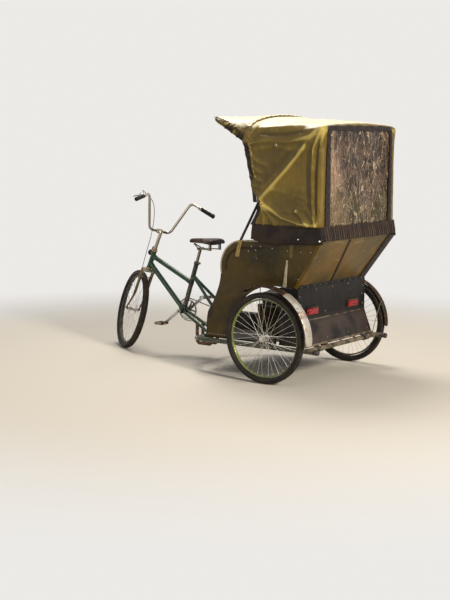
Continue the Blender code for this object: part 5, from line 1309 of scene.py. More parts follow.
def pedal(name, side):
    """Two ribbed rubber blocks between steel plates, with reflectors at both ends."""
    place = (CRANK_TURN @ Matrix.Translation((0, 0, -side * CRANK_ARM))
             @ Matrix.Rotation(radians(52), 4, "X"))
    inner, outer = side * 0.084, side * 0.177
    low, high = sorted((inner, outer))
    shape = bmesh.new()
    for way in (1, -1):
        near, far = sorted((way * 0.0125, way * 0.0355))
        brick(shape, (low + 0.004, near, -0.0095), (high - 0.004, far, 0.0095), place, 0.003)
        for row in range(7):
            x = low + 0.010 + row * 0.0115
            for z in (-0.0105, 0.0090):
                brick(shape, (x, near + 0.001, z), (x + 0.006, far - 0.001, z + 0.0015), place,
                      0.0005, steps=1)
    for x in (low, high - 0.004):
        brick(shape, (x, -0.0372, -0.0085), (x + 0.004, 0.0372, 0.0085), place, 0.0012, 1)
    for way in (1, -1):
        near, far = sorted((way * 0.0352, way * 0.0374))
        brick(shape, (low + 0.022, near, -0.0070), (high - 0.022, far, 0.0070), place, 0.0008, 2)
    lathe(shape, [(low + 0.001, 0.0068), (low + 0.001, 0.0100), (high - 0.001, 0.0095),
                  (high - 0.001, 0.0068)], place, 20, 1, True)
    lathe(shape, [(outer - side * 0.001, 0.0), (outer - side * 0.001, 0.0095),
                  (outer + side * 0.0015, 0.0085), (outer + side * 0.002, 0)], place, 18, 1)
    piece(f"block_pedal_{name}", shape, ["rubber_black", "bare_steel", "lens_amber"],
          f"pedal_{name}_body", (f"pedal_{name}",))


def link_path(first, first_radius, second, second_radius, extra=0.0100):
    """Outline of a chain round two wheels, as (y, z) points."""
    span = Vector(second) - Vector(first)
    base = atan2(span.y, span.x)
    lean = pi / 2 - (first_radius - second_radius) / span.length
    start = arc(first, first_radius + extra, base + lean, base + PI2 - lean, 40)
    return start + arc(second, second_radius + extra, base - lean, base + lean, 30)


def chain(name, node_name, x, *wheels_at):
    outline = link_path(*wheels_at)
    outline = [Vector((0, y, z)) for y, z in outline]
    outline.append(outline[0])
    length = sum((b - a).length for a, b in zip(outline, outline[1:]))
    count = int(length / 0.0127) // 2 * 2
    pins = spaced(outline, count + 1)[:-1]
    shape = bmesh.new()
    for index, pin in enumerate(pins):
        following = pins[(index + 1) % count]
        run = following - pin
        turn = atan2(run.z, run.y)
        centre = (pin + following) / 2
        gap = 0.0036 if index % 2 else 0.0024
        half = run.length / 2
        oval = []
        for k in range(14):
            a = PI2 * k / 14
            along = half * (1 if cos(a) > 0 else -1) * (abs(cos(a)) > 0.3) + 0.0042 * cos(a)
            up = 0.0042 * sin(a) * (0.80 if abs(cos(a)) <= 0.3 else 1.0)
            oval.append((along, up))
        place = (Matrix.Translation((x, centre.y, centre.z)) @ Matrix.Rotation(turn, 4, "X"))
        for side in (1, -1):
            a, b = sorted((side * gap, side * (gap + 0.0011)))
            plate(shape, oval, a, b, place)
        lathe(shape, [(-0.0042, 0), (-0.0042, 0.0017), (0.0042, 0.0017), (0.0042, 0)],
              Matrix.Translation((x, pin.y, pin.z)), 8)
        lathe(shape, [(-0.0023, 0.0017), (-0.0023, 0.0038), (0.0023, 0.0038), (0.0023, 0.0017)],
              Matrix.Translation((x, pin.y, pin.z)), 10)
    piece(name, shape, ["chain_steel"], "chassis", (node_name,))


def drive():
    crank, jack = (CRANK.y, CRANK.z), (AXLE_Y + JACK_Y, AXLE_Z)
    chain("link_chain_front", "front_chain", RING_X, crank, RING_RADIUS, jack, SPROCKET_RADIUS)
    chain("link_chain_rear", "rear_chain", REAR_CHAIN_X, (AXLE_Y, AXLE_Z), SPROCKET_RADIUS,
          jack, SPROCKET_RADIUS)
    shape = bmesh.new()
    centre = Matrix.Translation((0, *jack))
    tube(shape, [(-0.120, *jack), (0.120, *jack)], 0.0080, 18)
    for x in (RING_X, REAR_CHAIN_X):
        teeth(shape, x, 0.0034, SPROCKET_RADIUS, 20, centre)
        lathe(shape, [(x - 0.009, 0), (x - 0.009, 0.016), (x + 0.009, 0.016), (x + 0.009, 0)],
              centre, 24)
    for side in (1, -1):
        lathe(shape, [(side * 0.1055, 0), (side * 0.1055, 0.0135), (side * 0.1085, 0.0140),
                      (side * 0.1130, 0.0125), (side * 0.1130, 0)], centre, 24)
    piece("jack_shaft_sprockets", shape, ["chain_steel"], "chassis", ("jackshaft",))


# Cab frame

RAIL_X = 0.500
RAIL_Z = 0.255
RAIL_TOP = 0.2712
RAIL_TUBE = 0.0175
AXLE_TUBE = 0.0190


def cab_frame():
    """Smooth rails, nose and cross tubes with welds, axle tube, bearing plates and end caps."""
    shape = bmesh.new()
    for side in (1, -1):
        path = [at(side * RAIL_X, 0.3927, RAIL_Z), at(side * RAIL_X, -0.640, RAIL_Z),
                at(side * 0.240, -0.885, 0.205), at(0, -0.885, 0.205)]
        tube(shape, bent(path, 0.070, 10), RAIL_TUBE, 18)
    for y, paint in ((0.300, 1), (-0.160, 0), (-0.665, 0)):
        tube(shape, [at(-RAIL_X, y, RAIL_Z), at(RAIL_X, y, RAIL_Z)], RAIL_TUBE, 20, paint)
        for side in (1, -1):
            tube(shape, [at(side * (RAIL_X - inward), y, RAIL_Z) for inward in (0.0175, 0.0235)],
                 [0.0205, 0.0180], 18, paint)
    tube(shape, [at(-RAIL_X, 0, AXLE_Z), at(RAIL_X, 0, AXLE_Z)], AXLE_TUBE, 24)
    for side in (1, -1):
        x = side * RAIL_X
        rib(shape, [(-0.042, RAIL_Z), (0.042, RAIL_Z), (0.034, 0.300),
                    *arc((0, AXLE_Z), 0.029, 0, pi, 14), (-0.034, 0.300)], x - 0.011, x + 0.011)
        lathe(shape, [(0, 0), (0, 0.0240), (side * 0.004, 0.0235), (side * 0.004, 0.0120)],
              Matrix.Translation((x + side * 0.011, AXLE_Y, AXLE_Z)), 30, 2)
        for y in (-0.026, 0.026):
            bolt(shape, at(x + side * 0.011, y, 0.292), (side, 0, 0), 0.0055, 2)
        rib(shape, [(-0.892, 0.205), (-0.878, 0.205), (-0.844, 0.340),
                    *arc((JACK_Y, AXLE_Z), 0.016, 0.2, pi - 0.2, 8), (-0.876, 0.340)],
            side * 0.096, side * 0.105)
    piece("cab_rails", shape, ["rail_enamel", "rail_pale", "bare_steel"], "chassis",
          ("cab_frame",))
    for name, side in SIDES:
        shape = bmesh.new()
        lathe(shape, [(0, 0), (0, 0.0200), (0.0085, 0.0200), (0.0115, 0.0180), (0.0120, 0)],
              facing(at(side * RAIL_X, 0.393, RAIL_Z), (0, 1, 0)), 26)
        lathe(shape, [(-0.030, 0.0177), (-0.030, 0.0190), (0.0, 0.0196), (0.0, 0.0177)],
              facing(at(side * RAIL_X, 0.393, RAIL_Z), (0, 1, 0)), 26, 0, True)
        piece(f"rail_end_cap_{name}", shape, ["plastic_black"], "chassis", (f"rail_cap_{name}",))
    rear_tube_fittings()


def rear_tube_fittings():
    """Clamp near the left end of the rear tube, and the hangers of the storage box."""
    shape = bmesh.new()
    for x, wide in ((0.345, 0.022), (-0.335, 0.020)):
        place = Matrix.Translation(at(x, 0.300, RAIL_Z))
        lathe(shape, [(-wide, 0.0177), (-wide, 0.0225), (-wide + 0.003, 0.0240),
                      (wide - 0.003, 0.0240), (wide, 0.0225), (wide, 0.0177)], place, 24, 0, True)
        brick(shape, (-wide, 0.016, -0.012), (wide, 0.036, 0.004), place, 0.003)
        for shift in (-0.010, 0.010):
            bolt(shape, at(x + shift, 0.326, RAIL_Z + 0.004), (0, 0, 1), 0.0055, 1)
    for x in (-0.20, 0.0, 0.20):
        place = Matrix.Translation(at(x, 0.275, RAIL_Z + 0.019))
        brick(shape, (-0.012, -0.018, -0.002), (0.012, 0.022, 0.0012), place, 0.0006, 1)
        bolt(shape, at(x, 0.270, RAIL_Z + 0.0202), (0, 0, 1), 0.004, 1, nut=False)
    piece("rear_tube_clamps", shape, ["plastic_black", "bare_steel"], "chassis")


# Cab body

WALL = 0.018
WING_LOW = 0.700
WING_TOP = 1.060
BACK_COS, BACK_SIN = 0.827, 0.563
BOX_HALF = 0.4835
ARCH_RADIUS = 0.372


def half_width(z):
    """Outer half width of the cab at a height, with the fold at the flare eased."""
    over = z - WING_LOW
    return 0.484 + (sqrt(over * over + 0.0002) + over) / 2 * 0.1556


def rear_y(z):
    return 0.197 + (z - WING_LOW) * 0.6806


def wing_outline():
    """Side panel's edge as (y, z) from the rear corner down, round the wheel, toe and shoulder."""
    arch = arc((0, AXLE_Z), ARCH_RADIUS, radians(88), radians(168), 26)
    toe = smooth_line([(-0.600, 0.400, 0), (-0.588, 0.470, 0), (-0.5452, 0.5408, 0),
                       (-0.500, 0.6416, 0),
                       (-0.470, 0.735, 0), (-0.463, 0.800, 0)], 5)
    shoulder = arc((-0.235, 0.800), 0.228, pi, radians(96), 30)
    points = [(rear_y(WING_LOW), WING_LOW), *arch, (-0.390, 0.300), (-0.394, 0.2735),
              (-0.596, 0.2735), (-0.600, 0.280)]
    points += [(p.x, p.y) for p in toe[:-1]] + shoulder
    points += [(0.0, 1.0338), (0.200, 1.0378), (0.4118, 1.042), (rear_y(WING_TOP), WING_TOP)]
    return points


def edge_distance(point, line):
    """Distance from a flat point to a line of flat points."""
    best = 9.0
    for a, b in zip(line, line[1:]):
        run = b - a
        along = clamp((point - a).dot(run) / max(run.length_squared, 1e-12))
        best = min(best, (point - a - run * along).length)
    return best


def wing_relief(y, z, shoulder):
    """How far the pressed panel stands out of its flat shape."""
    away = edge_distance(Vector((y, z)), shoulder)
    roll = 0.0045 * exp(-((away - 0.096) / 0.010) ** 2) + 0.003 * ease((away - 0.085) / 0.03)
    roll -= 0.006 * exp(-(away / 0.012) ** 2)
    swell = 0.004 * exp(-((y + 0.10) / 0.24) ** 2 - ((z - 0.83) / 0.13) ** 2)
    dent = -0.004 * exp(-((y - 0.02) / 0.06) ** 2 - ((z - 0.79) / 0.05) ** 2)
    shin = -0.006 * ease((0.62 - z) / 0.12)
    return min(roll + swell + dent + shin, 0.006) - 0.001


def wings():
    outline = wing_outline()
    shoulder = [Vector(p) for p in arc((-0.235, 0.800), 0.228, radians(196), radians(96), 40)]
    shoulder += [Vector((0.4118, 1.042))]
    for name, side in SIDES:
        shape = bmesh.new()
        shape.faces.new([shape.verts.new((0, y, z)) for y, z in outline])
        for axis, first, last in (((0, 0, 1), 0.29, 1.06), ((0, 1, 0), -0.59, 0.44)):
            level = first
            while level < last:
                bmesh.ops.bisect_plane(shape, geom=[*shape.verts, *shape.edges, *shape.faces],
                                       plane_co=Vector(axis) * level, plane_no=axis, dist=1e-5)
                level += 0.021
        for vertex in shape.verts:
            y, z = vertex.co.y, vertex.co.z
            vertex.co = at(side * (half_width(z) + wing_relief(y, z, shoulder)), y, z)
        wing = piece(f"side_panel_{name}", shape, ["cab_enamel"], "chassis",
                     (f"side_wing_{name}",),
                     sharp=60)
        face_outward(wing, lambda face: face.normal.x * side)
        wall = wing.modifiers.new("wall", "SOLIDIFY")
        wall.thickness, wall.offset = WALL - 0.003, -1
        wing_trim(name, side)


def on_wing(side, y, z, lift=0.0):
    return at(side * (half_width(z) + lift), y, z)


def wing_trim(name, side):
    """Piping round the shoulder, the toe's edge, strap, tapered strip, hardware and rivets."""
    shape = bmesh.new()
    rim = arc((-0.235, 0.800), 0.2285, radians(188), radians(96), 36)
    rim += [(-0.15, 1.0308), (-0.02, 1.0333), (0.05, 1.0347)]
    tube(shape, [at(side * (half_width(z) - 0.0075), y, z) for y, z in rim], 0.0062, 12, 0)
    toe = smooth_line([(0, -0.600, 0.300), (0, -0.600, 0.400), (0, -0.588, 0.470),
                       (0, -0.5452, 0.5408), (0, -0.500, 0.6416), (0, -0.472, 0.730),
                       (0, -0.4632, 0.775)], 5)
    tube(shape, [at(side * (half_width(p.z) - 0.008), p.y, p.z) for p in toe], 0.0055, 10, 1)
    fender = arc((0, AXLE_Z), 0.3725, radians(90), radians(166), 30)
    tube(shape, [at(side * (half_width(z) - 0.004), y, z) for y, z in fender], 0.0048, 10, 1)

    def across(y, z, wide, shoulder, lift, high):
        return [on_wing(side, y + share * wide, z, lift + up)
                for share, up in ((-1, 0), (-shoulder, high), (shoulder, high), (1, 0))]

    swept(shape, 12, lambda t: across(-0.300 + 0.042 * t, 0.905 + 0.118 * t, 0.017, 0.9,
                                      0.0052, 0.0028), 2)
    swept(shape, 12, lambda t: across(0.101 + 0.040 * t, 0.706 + 0.200 * t,
                                      0.0165 - 0.010 * t, 0.8, 0.0045, 0.0035))
    rivets(shape, [on_wing(side, y, z, 0.0078) for y, z in ((-0.296, 0.915), (-0.263, 1.012))],
           (side, 0, 0), 0.0058, 3)
    for y, z in ((-0.16, 0.99), (-0.125, 0.965), (-0.19, 0.955), (-0.08, 0.995)):
        bolt(shape, on_wing(side, y, z, 0.0050), (side, 0, 0), 0.0055, 3)
    lathe(shape, [(0, 0), (0, 0.019), (0.004, 0.020), (0.008, 0.018), (0.010, 0.012),
                  (0.0105, 0.0)],
          facing(on_wing(side, -0.135, 0.900, 0.003), (side, 0, 0)), 36, 4)
    inner = arc((-0.235, 0.800), 0.176, radians(180), radians(100), 30)
    inner += [(-0.16, 0.9775), (-0.05, 0.985)]
    tube(shape, [on_wing(side, y, z, 0.0045) for y, z in inner], 0.0036, 10, 1)
    spots = ((0.150, 0.975), (0.262, 0.972), (0.345, 0.975), (0.225, 0.770), (0.020, 0.985))
    rivets(shape, [on_wing(side, y, z, 0.0035) for y, z in spots], (side, 0, 0), 0.0042, 3)
    rivets(shape, [on_wing(side, -0.593 + 0.19 * (step + 0.5) / 9, 0.300, -0.0045)
                   for step in range(9)], (side, 0, 0), 0.0038, 3)
    piece(f"panel_trim_{name}", shape, ["cord_pale", "trim_black", "strap_gold", "bare_steel",
                                        "plastic_black"], "chassis")


def rear_trim():
    """Corner mouldings of the sloped back, its slanted strip, lower lip and screws."""
    shape = bmesh.new()

    def on_back(x, z, lift=0.0):
        return at(x, rear_y(z) + lift * BACK_COS, z - lift * BACK_SIN)

    def moulding(side, wide, share):
        z = 0.700 + 0.352 * share
        edge = side * (half_width(z) + 0.004)
        return [on_back(edge - side * inward, z, lift) for inward, lift in (
            (0, -0.016), (0, 0.0055), (0.004, 0.0085), (wide - 0.004, 0.0085), (wide, 0.0060),
            (wide, 0.0005), (0.004, 0.0005), (0.004, -0.016))]

    def strip(share):
        x, z = 0.018 + 0.107 * share, 0.716 + 0.328 * share
        return [on_back(x + across, z, lift) for across, lift in (
            (-0.012, 0.0005), (-0.011, 0.0045), (0.011, 0.0045), (0.012, 0.0005))]

    def lip(share):
        return [on_back(-0.478 + 0.956 * share, z, lift) for z, lift in (
            (0.7005, 0.0005), (0.7005, 0.0095), (0.704, 0.0110), (0.716, 0.0070),
            (0.722, 0.0005))]

    swept(shape, 12, lambda share: moulding(1, 0.012, share))
    swept(shape, 12, lambda share: moulding(-1, 0.095, share), 1)
    swept(shape, 8, strip, 1)
    swept(shape, 24, lip, 2)
    out = Vector((0, BACK_COS, -BACK_SIN))
    rivets(shape, [on_back(-0.43 + 0.086 * step, 0.709, 0.0095) for step in range(11)], out,
           0.0040, 3)
    spots = ((0.40, 0.90), (0.40, 1.02), (-0.40, 0.90), (-0.40, 1.02), (0.20, 1.02), (-0.2, 1.02))
    rivets(shape, [on_back(x, z, 0.0005) for x, z in spots], out, 0.0045, 3)
    piece("tub_trim", shape, ["tub_enamel", "trim_black", "box_black", "bare_steel"], "chassis")


def box_fittings():
    """Rivets, seams, corner angles and a lower lip on the storage box."""
    shape = bmesh.new()
    spots = [(-0.455, 0.64), (0.455, 0.64), (-0.455, 0.50), (0.455, 0.50), (0.0, 0.675),
             (0.23, 0.675), (-0.23, 0.675), (0.10, 0.50), (-0.44, 0.58), (0.44, 0.58)]
    rivets(shape, [at(x, 0.212, z) for x, z in spots], (0, 1, 0), 0.0048, 1)
    rivets(shape, [at(x, 0.2665, 0.316) for x in (-0.44, -0.15, 0.15, 0.44)],
           Vector((0, 0.179, 0.070)).normalized(), 0.0042, 1)
    angle = [(0.206, 0.690), (0.2135, 0.690), (0.2135, 0.4555), (0.2830, 0.2790),
             (0.2760, 0.2765), (0.2060, 0.4540)]
    for side in (1, -1):
        rib(shape, angle, side * BOX_HALF, side * (BOX_HALF - 0.014))
    for section in (((0.2125, 0.4515), (0.2160, 0.4530), (0.2150, 0.4590), (0.2120, 0.4600)),
                    ((0.268, 0.2755), (0.2850, 0.2755), (0.2862, 0.2790), (0.2800, 0.2900),
                     (0.2775, 0.2890))):
        swept(shape, 32, lambda share: [at(-BOX_HALF + 2 * BOX_HALF * share, y, z)
                                        for y, z in section], 2)
    piece("box_fittings", shape, ["box_black", "bare_steel", "rail_pale"], "chassis")


def tail_lights():
    """Ribbed red lens in a black tray with a small hood over it."""
    for name, side in SIDES:
        x = side * 0.292
        shape = bmesh.new()
        place = Matrix.Translation(at(x, 0.2123, 0.520))
        brick(shape, (-0.070, 0.0, -0.028), (0.070, 0.007, 0.028), place, 0.003, 1)
        brick(shape, (-0.0655, 0.005, -0.0240), (0.0655, 0.0185, 0.0235), place, 0.005, 0, 3)
        for column in range(7):
            left = -0.060 + column * 0.0174
            for row in range(3):
                low = -0.0205 + row * 0.0140
                brick(shape, (left, 0.016, low), (left + 0.0156, 0.0212, low + 0.0122), place,
                      0.0022, 0)
        rings = []
        for step in range(13):
            share = -1 + 2 * step / 12
            out = 0.028 - 0.006 * share * share
            rings.append([place @ Vector((share * 0.0725, y, z)) for y, z in (
                (0.0, 0.0275), (0.0, 0.0310), (out, 0.0300), (out, 0.0282))])
        skin(shape, rings, 2)
        for shift in (-0.064, 0.064):
            bolt(shape, at(x + shift, 0.2185, 0.520 - 0.0255), (0, 1, 0), 0.0028, 2, nut=False)
        piece(f"tail_lamp_{name}", shape, ["lens_red", "plastic_black", "rail_pale"], "chassis",
              (f"tail_light_{name}",))


GUARD_SIZES = {"left": (0.380, 1.0), "right": (0.354, 0.58)}


def mudguards():
    """Rolled steel guards with turned edges, stays, clips and bolts."""
    for name, side in SIDES:
        centre = Vector((side * TRACK / 2, AXLE_Y, HUB_Z))
        section = [(-0.0420, -0.0040), (-0.0425, 0.0005), (-0.0395, 0.0022), (-0.0370, 0.0010),
                   (-0.0320, 0.0030), (-0.0210, 0.0078), (-0.0100, 0.0098), (-0.0040, 0.0102)]
        section += [(0, 0.0112)] + [(-x, up) for x, up in reversed(section)]
        section += [(x * 0.97, up - 0.0016) for x, up in reversed(section)]
        shape = bmesh.new()
        rings = []
        radius, span = GUARD_SIZES[name]
        for step in range(73):
            turn = radians(-3 + 125 * step / 72)
            out = Vector((0, cos(turn), sin(turn)))
            narrow = span - 0.25 * ease((abs(step - 36) - 33) / 3) ** 2
            rings.append([centre + out * (radius + up) + Vector((x * narrow, 0, 0))
                          for x, up in section])
        skin(shape, rings)
        # Faces past 62 degrees at the guard's front take the dark finish: painted shade with rust.
        for face in shape.faces:
            middle = face.calc_center_median() - centre
            if middle.z > tan(radians(62)) * middle.y:
                face.material_index = 2
        for turn, foot_y in ((28, 0.2825), (100, -0.126)):
            turn = radians(turn)
            out = Vector((0, cos(turn), sin(turn)))
            foot = at(side * RAIL_X, foot_y, RAIL_TOP + 0.0005)
            reach = 0.036 * span
            inner = centre + out * (radius - 0.003) + Vector((-side * reach, 0, 0))
            outer = centre + out * (radius - 0.003) + Vector((side * reach, 0, 0))
            tube(shape, [outer, inner], 0.0030, 8, 1)
            knee = blend_points(inner, foot, 0.5) + Vector((-side * 0.004, 0, 0))
            tube(shape, smooth_line([inner, knee, foot + Vector((0, 0, 0.004))], 4), 0.0030, 10, 1)
            lathe(shape, [(0, 0), (0, 0.0085), (0.003, 0.0085), (0.003, 0)],
                  facing(foot, (0, 0, 1)), 18, 1)
            bolt(shape, foot + Vector((0, 0, 0.002)), (0, 0, 1), 0.0045, 1)
            rivets(shape, [spot + out * 0.0055 for spot in (inner, outer)], out, 0.0040, 1)
        # The far guard takes the dark finish all over.
        paint = "guard_silver" if side > 0 else "guard_rust_and_shade"
        piece(f"rolled_guard_{name}", shape, [paint, "bare_steel", "guard_rust_and_shade"], "chassis",
              (f"mudguard_{name}",))


SQUARE = ((0, 0), (1, 0), (1, 1), (0, 1))


def channels(u, count, start, depth=0.9):
    """One on a stuffed panel, and less in the sewn channels between the panels."""
    channel = abs(((u * count) % 1.0) - 0.5) * 2
    return 1 - clamp((channel - start) / (1 - start)) ** 1.6 * depth


def border_of(columns, rows):
    """The counts round the edge of a grid, once round."""
    return ([(i, 0) for i in range(columns)] + [(columns, j) for j in range(rows)]
            + [(columns - i, rows) for i in range(columns)] + [(0, rows - j) for j in range(rows)])


def cushion(name, node_name, low, high, panels=5, crown=0.020):
    """A stuffed seat: crowned between sewn channels, drawn in at its corners, with piping."""
    shape = bmesh.new()
    columns, rows, layers = 60, 20, 8
    size = [high[i] - low[i] for i in range(3)]

    def point(u, v, w):
        edge = min(u, 1 - u) * size[0], min(v, 1 - v) * size[1]
        rim = ease(min(edge) / 0.055)
        swell = crown * rim * channels(u, panels, 0.86) * (0.75 + 0.25 * sin(pi * v))
        z = low[2] + 0.004 + (size[2] - crown - 0.006) * w + (swell if w > 0.5 else 0)
        draw = 0.010 * (1 - sin(pi * clamp(w))) + 0.006
        pull = draw + exp(-(hypot(*edge) / 0.06) ** 2) * 0.012
        x = low[0] + size[0] * u + pull * (1 - 2 * u)
        y = low[1] + size[1] * v + pull * (1 - 2 * v)
        return Vector((x, y, z))

    rings = []
    outline = [(i / columns, j / rows) for i, j in border_of(columns, rows)]
    for layer in range(layers + 1):
        rings.append([point(u, v, layer / layers) for u, v in outline])
    wall = skin(shape, rings, capped=False)
    for w, row in ((1.0, wall[-1]), (0.0, wall[0])):
        lookup = {}
        for (u, v), vertex in zip(outline, row):
            lookup[(round(u * columns), round(v * rows))] = vertex
        for i in range(columns + 1):
            for j in range(rows + 1):
                if (i, j) not in lookup:
                    lookup[(i, j)] = shape.verts.new(point(i / columns, j / rows, w))
        for i in range(columns):
            for j in range(rows):
                shape.faces.new([lookup[(i + a, j + b)] for a, b in SQUARE])
    for level in (0.90, 0.08):
        welt = [point(u, v, level) for u, v in outline[::2]]
        middle = sum(welt, Vector()) / len(welt)
        welt = [p + (p - middle).normalized() * 0.0012 for p in welt]
        tube(shape, welt, 0.0036, 8, 1, joined=True)
    pad = piece(name, shape, ["seat_vinyl", "trim_black"], "chassis", (node_name,), sharp=80)


def seats():
    half = 0.484 - WALL - 0.004
    cushion("bench_pad", "seat_cushion", (-half, AXLE_Y - 0.148, 0.5605),
            (half, AXLE_Y + 0.0543, 0.6702))
    back_pad(0.704, 1.041)


def back_pad(low_z, high_z):
    """The back cushion: upright channels between its ends, leaning on the sloped panel."""
    shape = bmesh.new()
    columns, rows = 72, 24
    depth = 0.083

    def point(u, w, front):
        z = low_z + 0.003 + (high_z - low_z - 0.006) * w
        width = half_width(z) - WALL - 0.007
        near = min(min(u, 1 - u) * 2 * width, min(w, 1 - w) * (high_z - low_z))
        rim = ease(near / 0.050)
        channel = channels(u, 7, 0.84)
        back = AXLE_Y + rear_y(z) - WALL - 0.0012
        if front:
            y = back - depth * (0.42 + 0.58 * rim * (0.72 + 0.28 * channel))
        else:
            y = back - 0.004 * (1 - rim)
        return Vector((width * (2 * u - 1) * (1 - 0.012 * (1 - rim)), y, z))

    lookup = {}
    for front in (0, 1):
        for i in range(columns + 1):
            for j in range(rows + 1):
                lookup[(front, i, j)] = shape.verts.new(point(i / columns, j / rows, front))
        for i in range(columns):
            for j in range(rows):
                shape.faces.new([lookup[(front, i + a, j + b)] for a, b in SQUARE])
    border = border_of(columns, rows)
    for (a, b), (c, d) in zip(border, border[1:] + border[:1]):
        shape.faces.new((lookup[(0, a, b)], lookup[(0, c, d)], lookup[(1, c, d)],
                         lookup[(1, a, b)]))
    welt = [point(a / columns, b / rows, 1) + Vector((0, -0.001, 0)) for a, b in border[::2]]
    tube(shape, welt, 0.0036, 8, 1, joined=True)
    pad = piece("back_pad", shape, ["seat_vinyl", "trim_black"], "chassis", ("back_cushion",),
                sharp=80)


# Hood

HOOD_BACK = 0.434
HOOD_LOW = 1.150
CORNER = 0.030
WINDOW_HALF = 0.450
WINDOW_TOP = 1.845
WINDOW_SEED = 1795840692    # without a seed the clock gives one, and the crinkles change
SHOULDER_SHARES = ((1.00, 0.00), (0.975, 0.30), (0.90, 0.58), (0.72, 0.80), (0.40, 0.95))


def hood_front(z):
    """Front edge of the hood's side: it leans back to the pivot, then stands."""
    if z < 1.310:
        return -0.150 - 0.008 * (1.310 - z) / 0.160
    return -0.245 + 0.095 * max((1.750 - z) / 0.440, 0)


def hood_arch(share, inset=0.0):
    """Cross-section from the lower left over the top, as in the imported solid."""
    low, top = 0.531 - inset, 0.516 - inset
    crown = 1.935 - 0.045 * share - inset
    shoulder = 1.750 + 0.085 * share
    pinch = 0.160 / (shoulder - HOOD_LOW)
    left = [(low, HOOD_LOW), (low + (top - low) * pinch, 1.310)]
    left += [(top * across, shoulder + (crown - shoulder) * up) for across, up in SHOULDER_SHARES]
    return left + [(0, crown)] + [(-x, z) for x, z in reversed(left)]


def smooth_arch(share, count, inset=0.0):
    """The same section as a smooth line of equal steps: (x, 0, z)."""
    points = [Vector((x, 0, z)) for x, z in hood_arch(share, inset)]
    low = [blend_points(points[1], points[2], s / 4) for s in range(1, 4)]
    high = [Vector((-p.x, 0, p.z)) for p in reversed(low)]
    points = points[:2] + low + points[2:-2] + high + points[-2:]
    return spaced(smooth_line(points, 6), count)


LEFT_CREASES = (
    (((-0.095, 1.335), (0.000, 1.430), (0.130, 1.556), (0.283, 1.724)), 0.0130, 0.012),
    (((-0.095, 1.335), (0.130, 1.556), (0.283, 1.724), (0.36, 1.82)), 0.0110, 0.070),
    (((-0.120, 1.430), (0.050, 1.600), (0.180, 1.690)), -0.0080, 0.030),
    (((-0.218, 1.731), (-0.080, 1.749), (0.127, 1.744), (0.318, 1.784), (0.421, 1.845)),
     0.0150, 0.013),
    (((-0.110, 1.806), (-0.020, 1.797), (0.110, 1.797), (0.240, 1.822)), -0.0150, 0.014),
    (((-0.130, 1.838), (0.060, 1.852), (0.260, 1.864)), 0.0120, 0.012),
    (((-0.205, 1.780), (-0.150, 1.850), (-0.110, 1.890)), 0.0150, 0.014),
    (((0.027, 1.717), (-0.100, 1.700), (-0.220, 1.685)), 0.0070, 0.010),
    (((0.027, 1.717), (0.160, 1.690), (0.290, 1.700)), 0.0060, 0.012),
    (((-0.210, 1.660), (-0.120, 1.600), (-0.060, 1.585)), 0.0080, 0.009),
    (((-0.200, 1.580), (-0.100, 1.525)), 0.0080, 0.009),
    (((-0.185, 1.500), (-0.090, 1.465)), 0.0080, 0.008),
    (((-0.170, 1.430), (-0.090, 1.425)), 0.0080, 0.008),
    (((-0.075, 1.300), (0.093, 1.210), (0.250, 1.168), (0.390, 1.160)), 0.0170, 0.012),
    (((-0.070, 1.300), (0.060, 1.255), (0.200, 1.250)), 0.0080, 0.012),
    (((-0.075, 1.290), (-0.060, 1.150)), 0.0100, 0.010),
    (((-0.065, 1.285), (0.040, 1.150)), 0.0100, 0.010),
    (((0.214, 1.262), (0.318, 1.158)), 0.0120, 0.010),
    (((0.214, 1.262), (0.300, 1.275), (0.352, 1.210)), 0.0090, 0.009),
    (((0.010, 1.410), (0.130, 1.380), (0.260, 1.420)), 0.0060, 0.022),
    (((0.140, 1.340), (0.240, 1.360), (0.310, 1.330)), 0.0050, 0.014),
    (((0.410, 1.830), (0.352, 1.700), (0.343, 1.500), (0.352, 1.300), (0.378, 1.170)),
     0.0150, 0.011),
    (((0.428, 1.830), (0.402, 1.680), (0.396, 1.450), (0.402, 1.180)), 0.0120, 0.009),
    (((0.385, 1.720), (0.372, 1.500), (0.382, 1.250)), -0.0090, 0.009),
    (((0.300, 1.720), (0.300, 1.500), (0.322, 1.300)), -0.0080, 0.018),
    (((0.030, 1.600), (0.100, 1.680), (0.200, 1.715)), 0.0060, 0.012),
)
RIGHT_CREASES = (
    (((-0.095, 1.330), (0.000, 1.425), (0.120, 1.560), (0.270, 1.735)), 0.0120, 0.013),
    (((-0.095, 1.330), (0.120, 1.560), (0.360, 1.815)), 0.0110, 0.070),
    (((-0.218, 1.735), (-0.070, 1.750), (0.140, 1.750), (0.420, 1.840)), 0.0140, 0.014),
    (((-0.070, 1.802), (0.070, 1.800), (0.220, 1.812)), -0.0200, 0.018),
    (((-0.120, 1.840), (0.080, 1.854), (0.280, 1.862)), 0.0110, 0.013),
    (((-0.200, 1.640), (-0.110, 1.590)), 0.0080, 0.010),
    (((-0.180, 1.520), (-0.090, 1.480)), 0.0080, 0.009),
    (((-0.075, 1.300), (0.080, 1.220), (0.240, 1.170), (0.380, 1.160)), 0.0150, 0.013),
    (((-0.070, 1.290), (0.020, 1.150)), 0.0100, 0.011),
    (((0.200, 1.260), (0.300, 1.160)), 0.0110, 0.011),
    (((0.050, 1.440), (0.160, 1.405), (0.290, 1.460)), 0.0060, 0.024),
    (((0.405, 1.830), (0.350, 1.680), (0.348, 1.450), (0.372, 1.170)), 0.0140, 0.012),
    (((0.428, 1.830), (0.400, 1.600), (0.402, 1.180)), 0.0110, 0.010),
    (((0.380, 1.700), (0.374, 1.480), (0.384, 1.250)), -0.0080, 0.010),
)
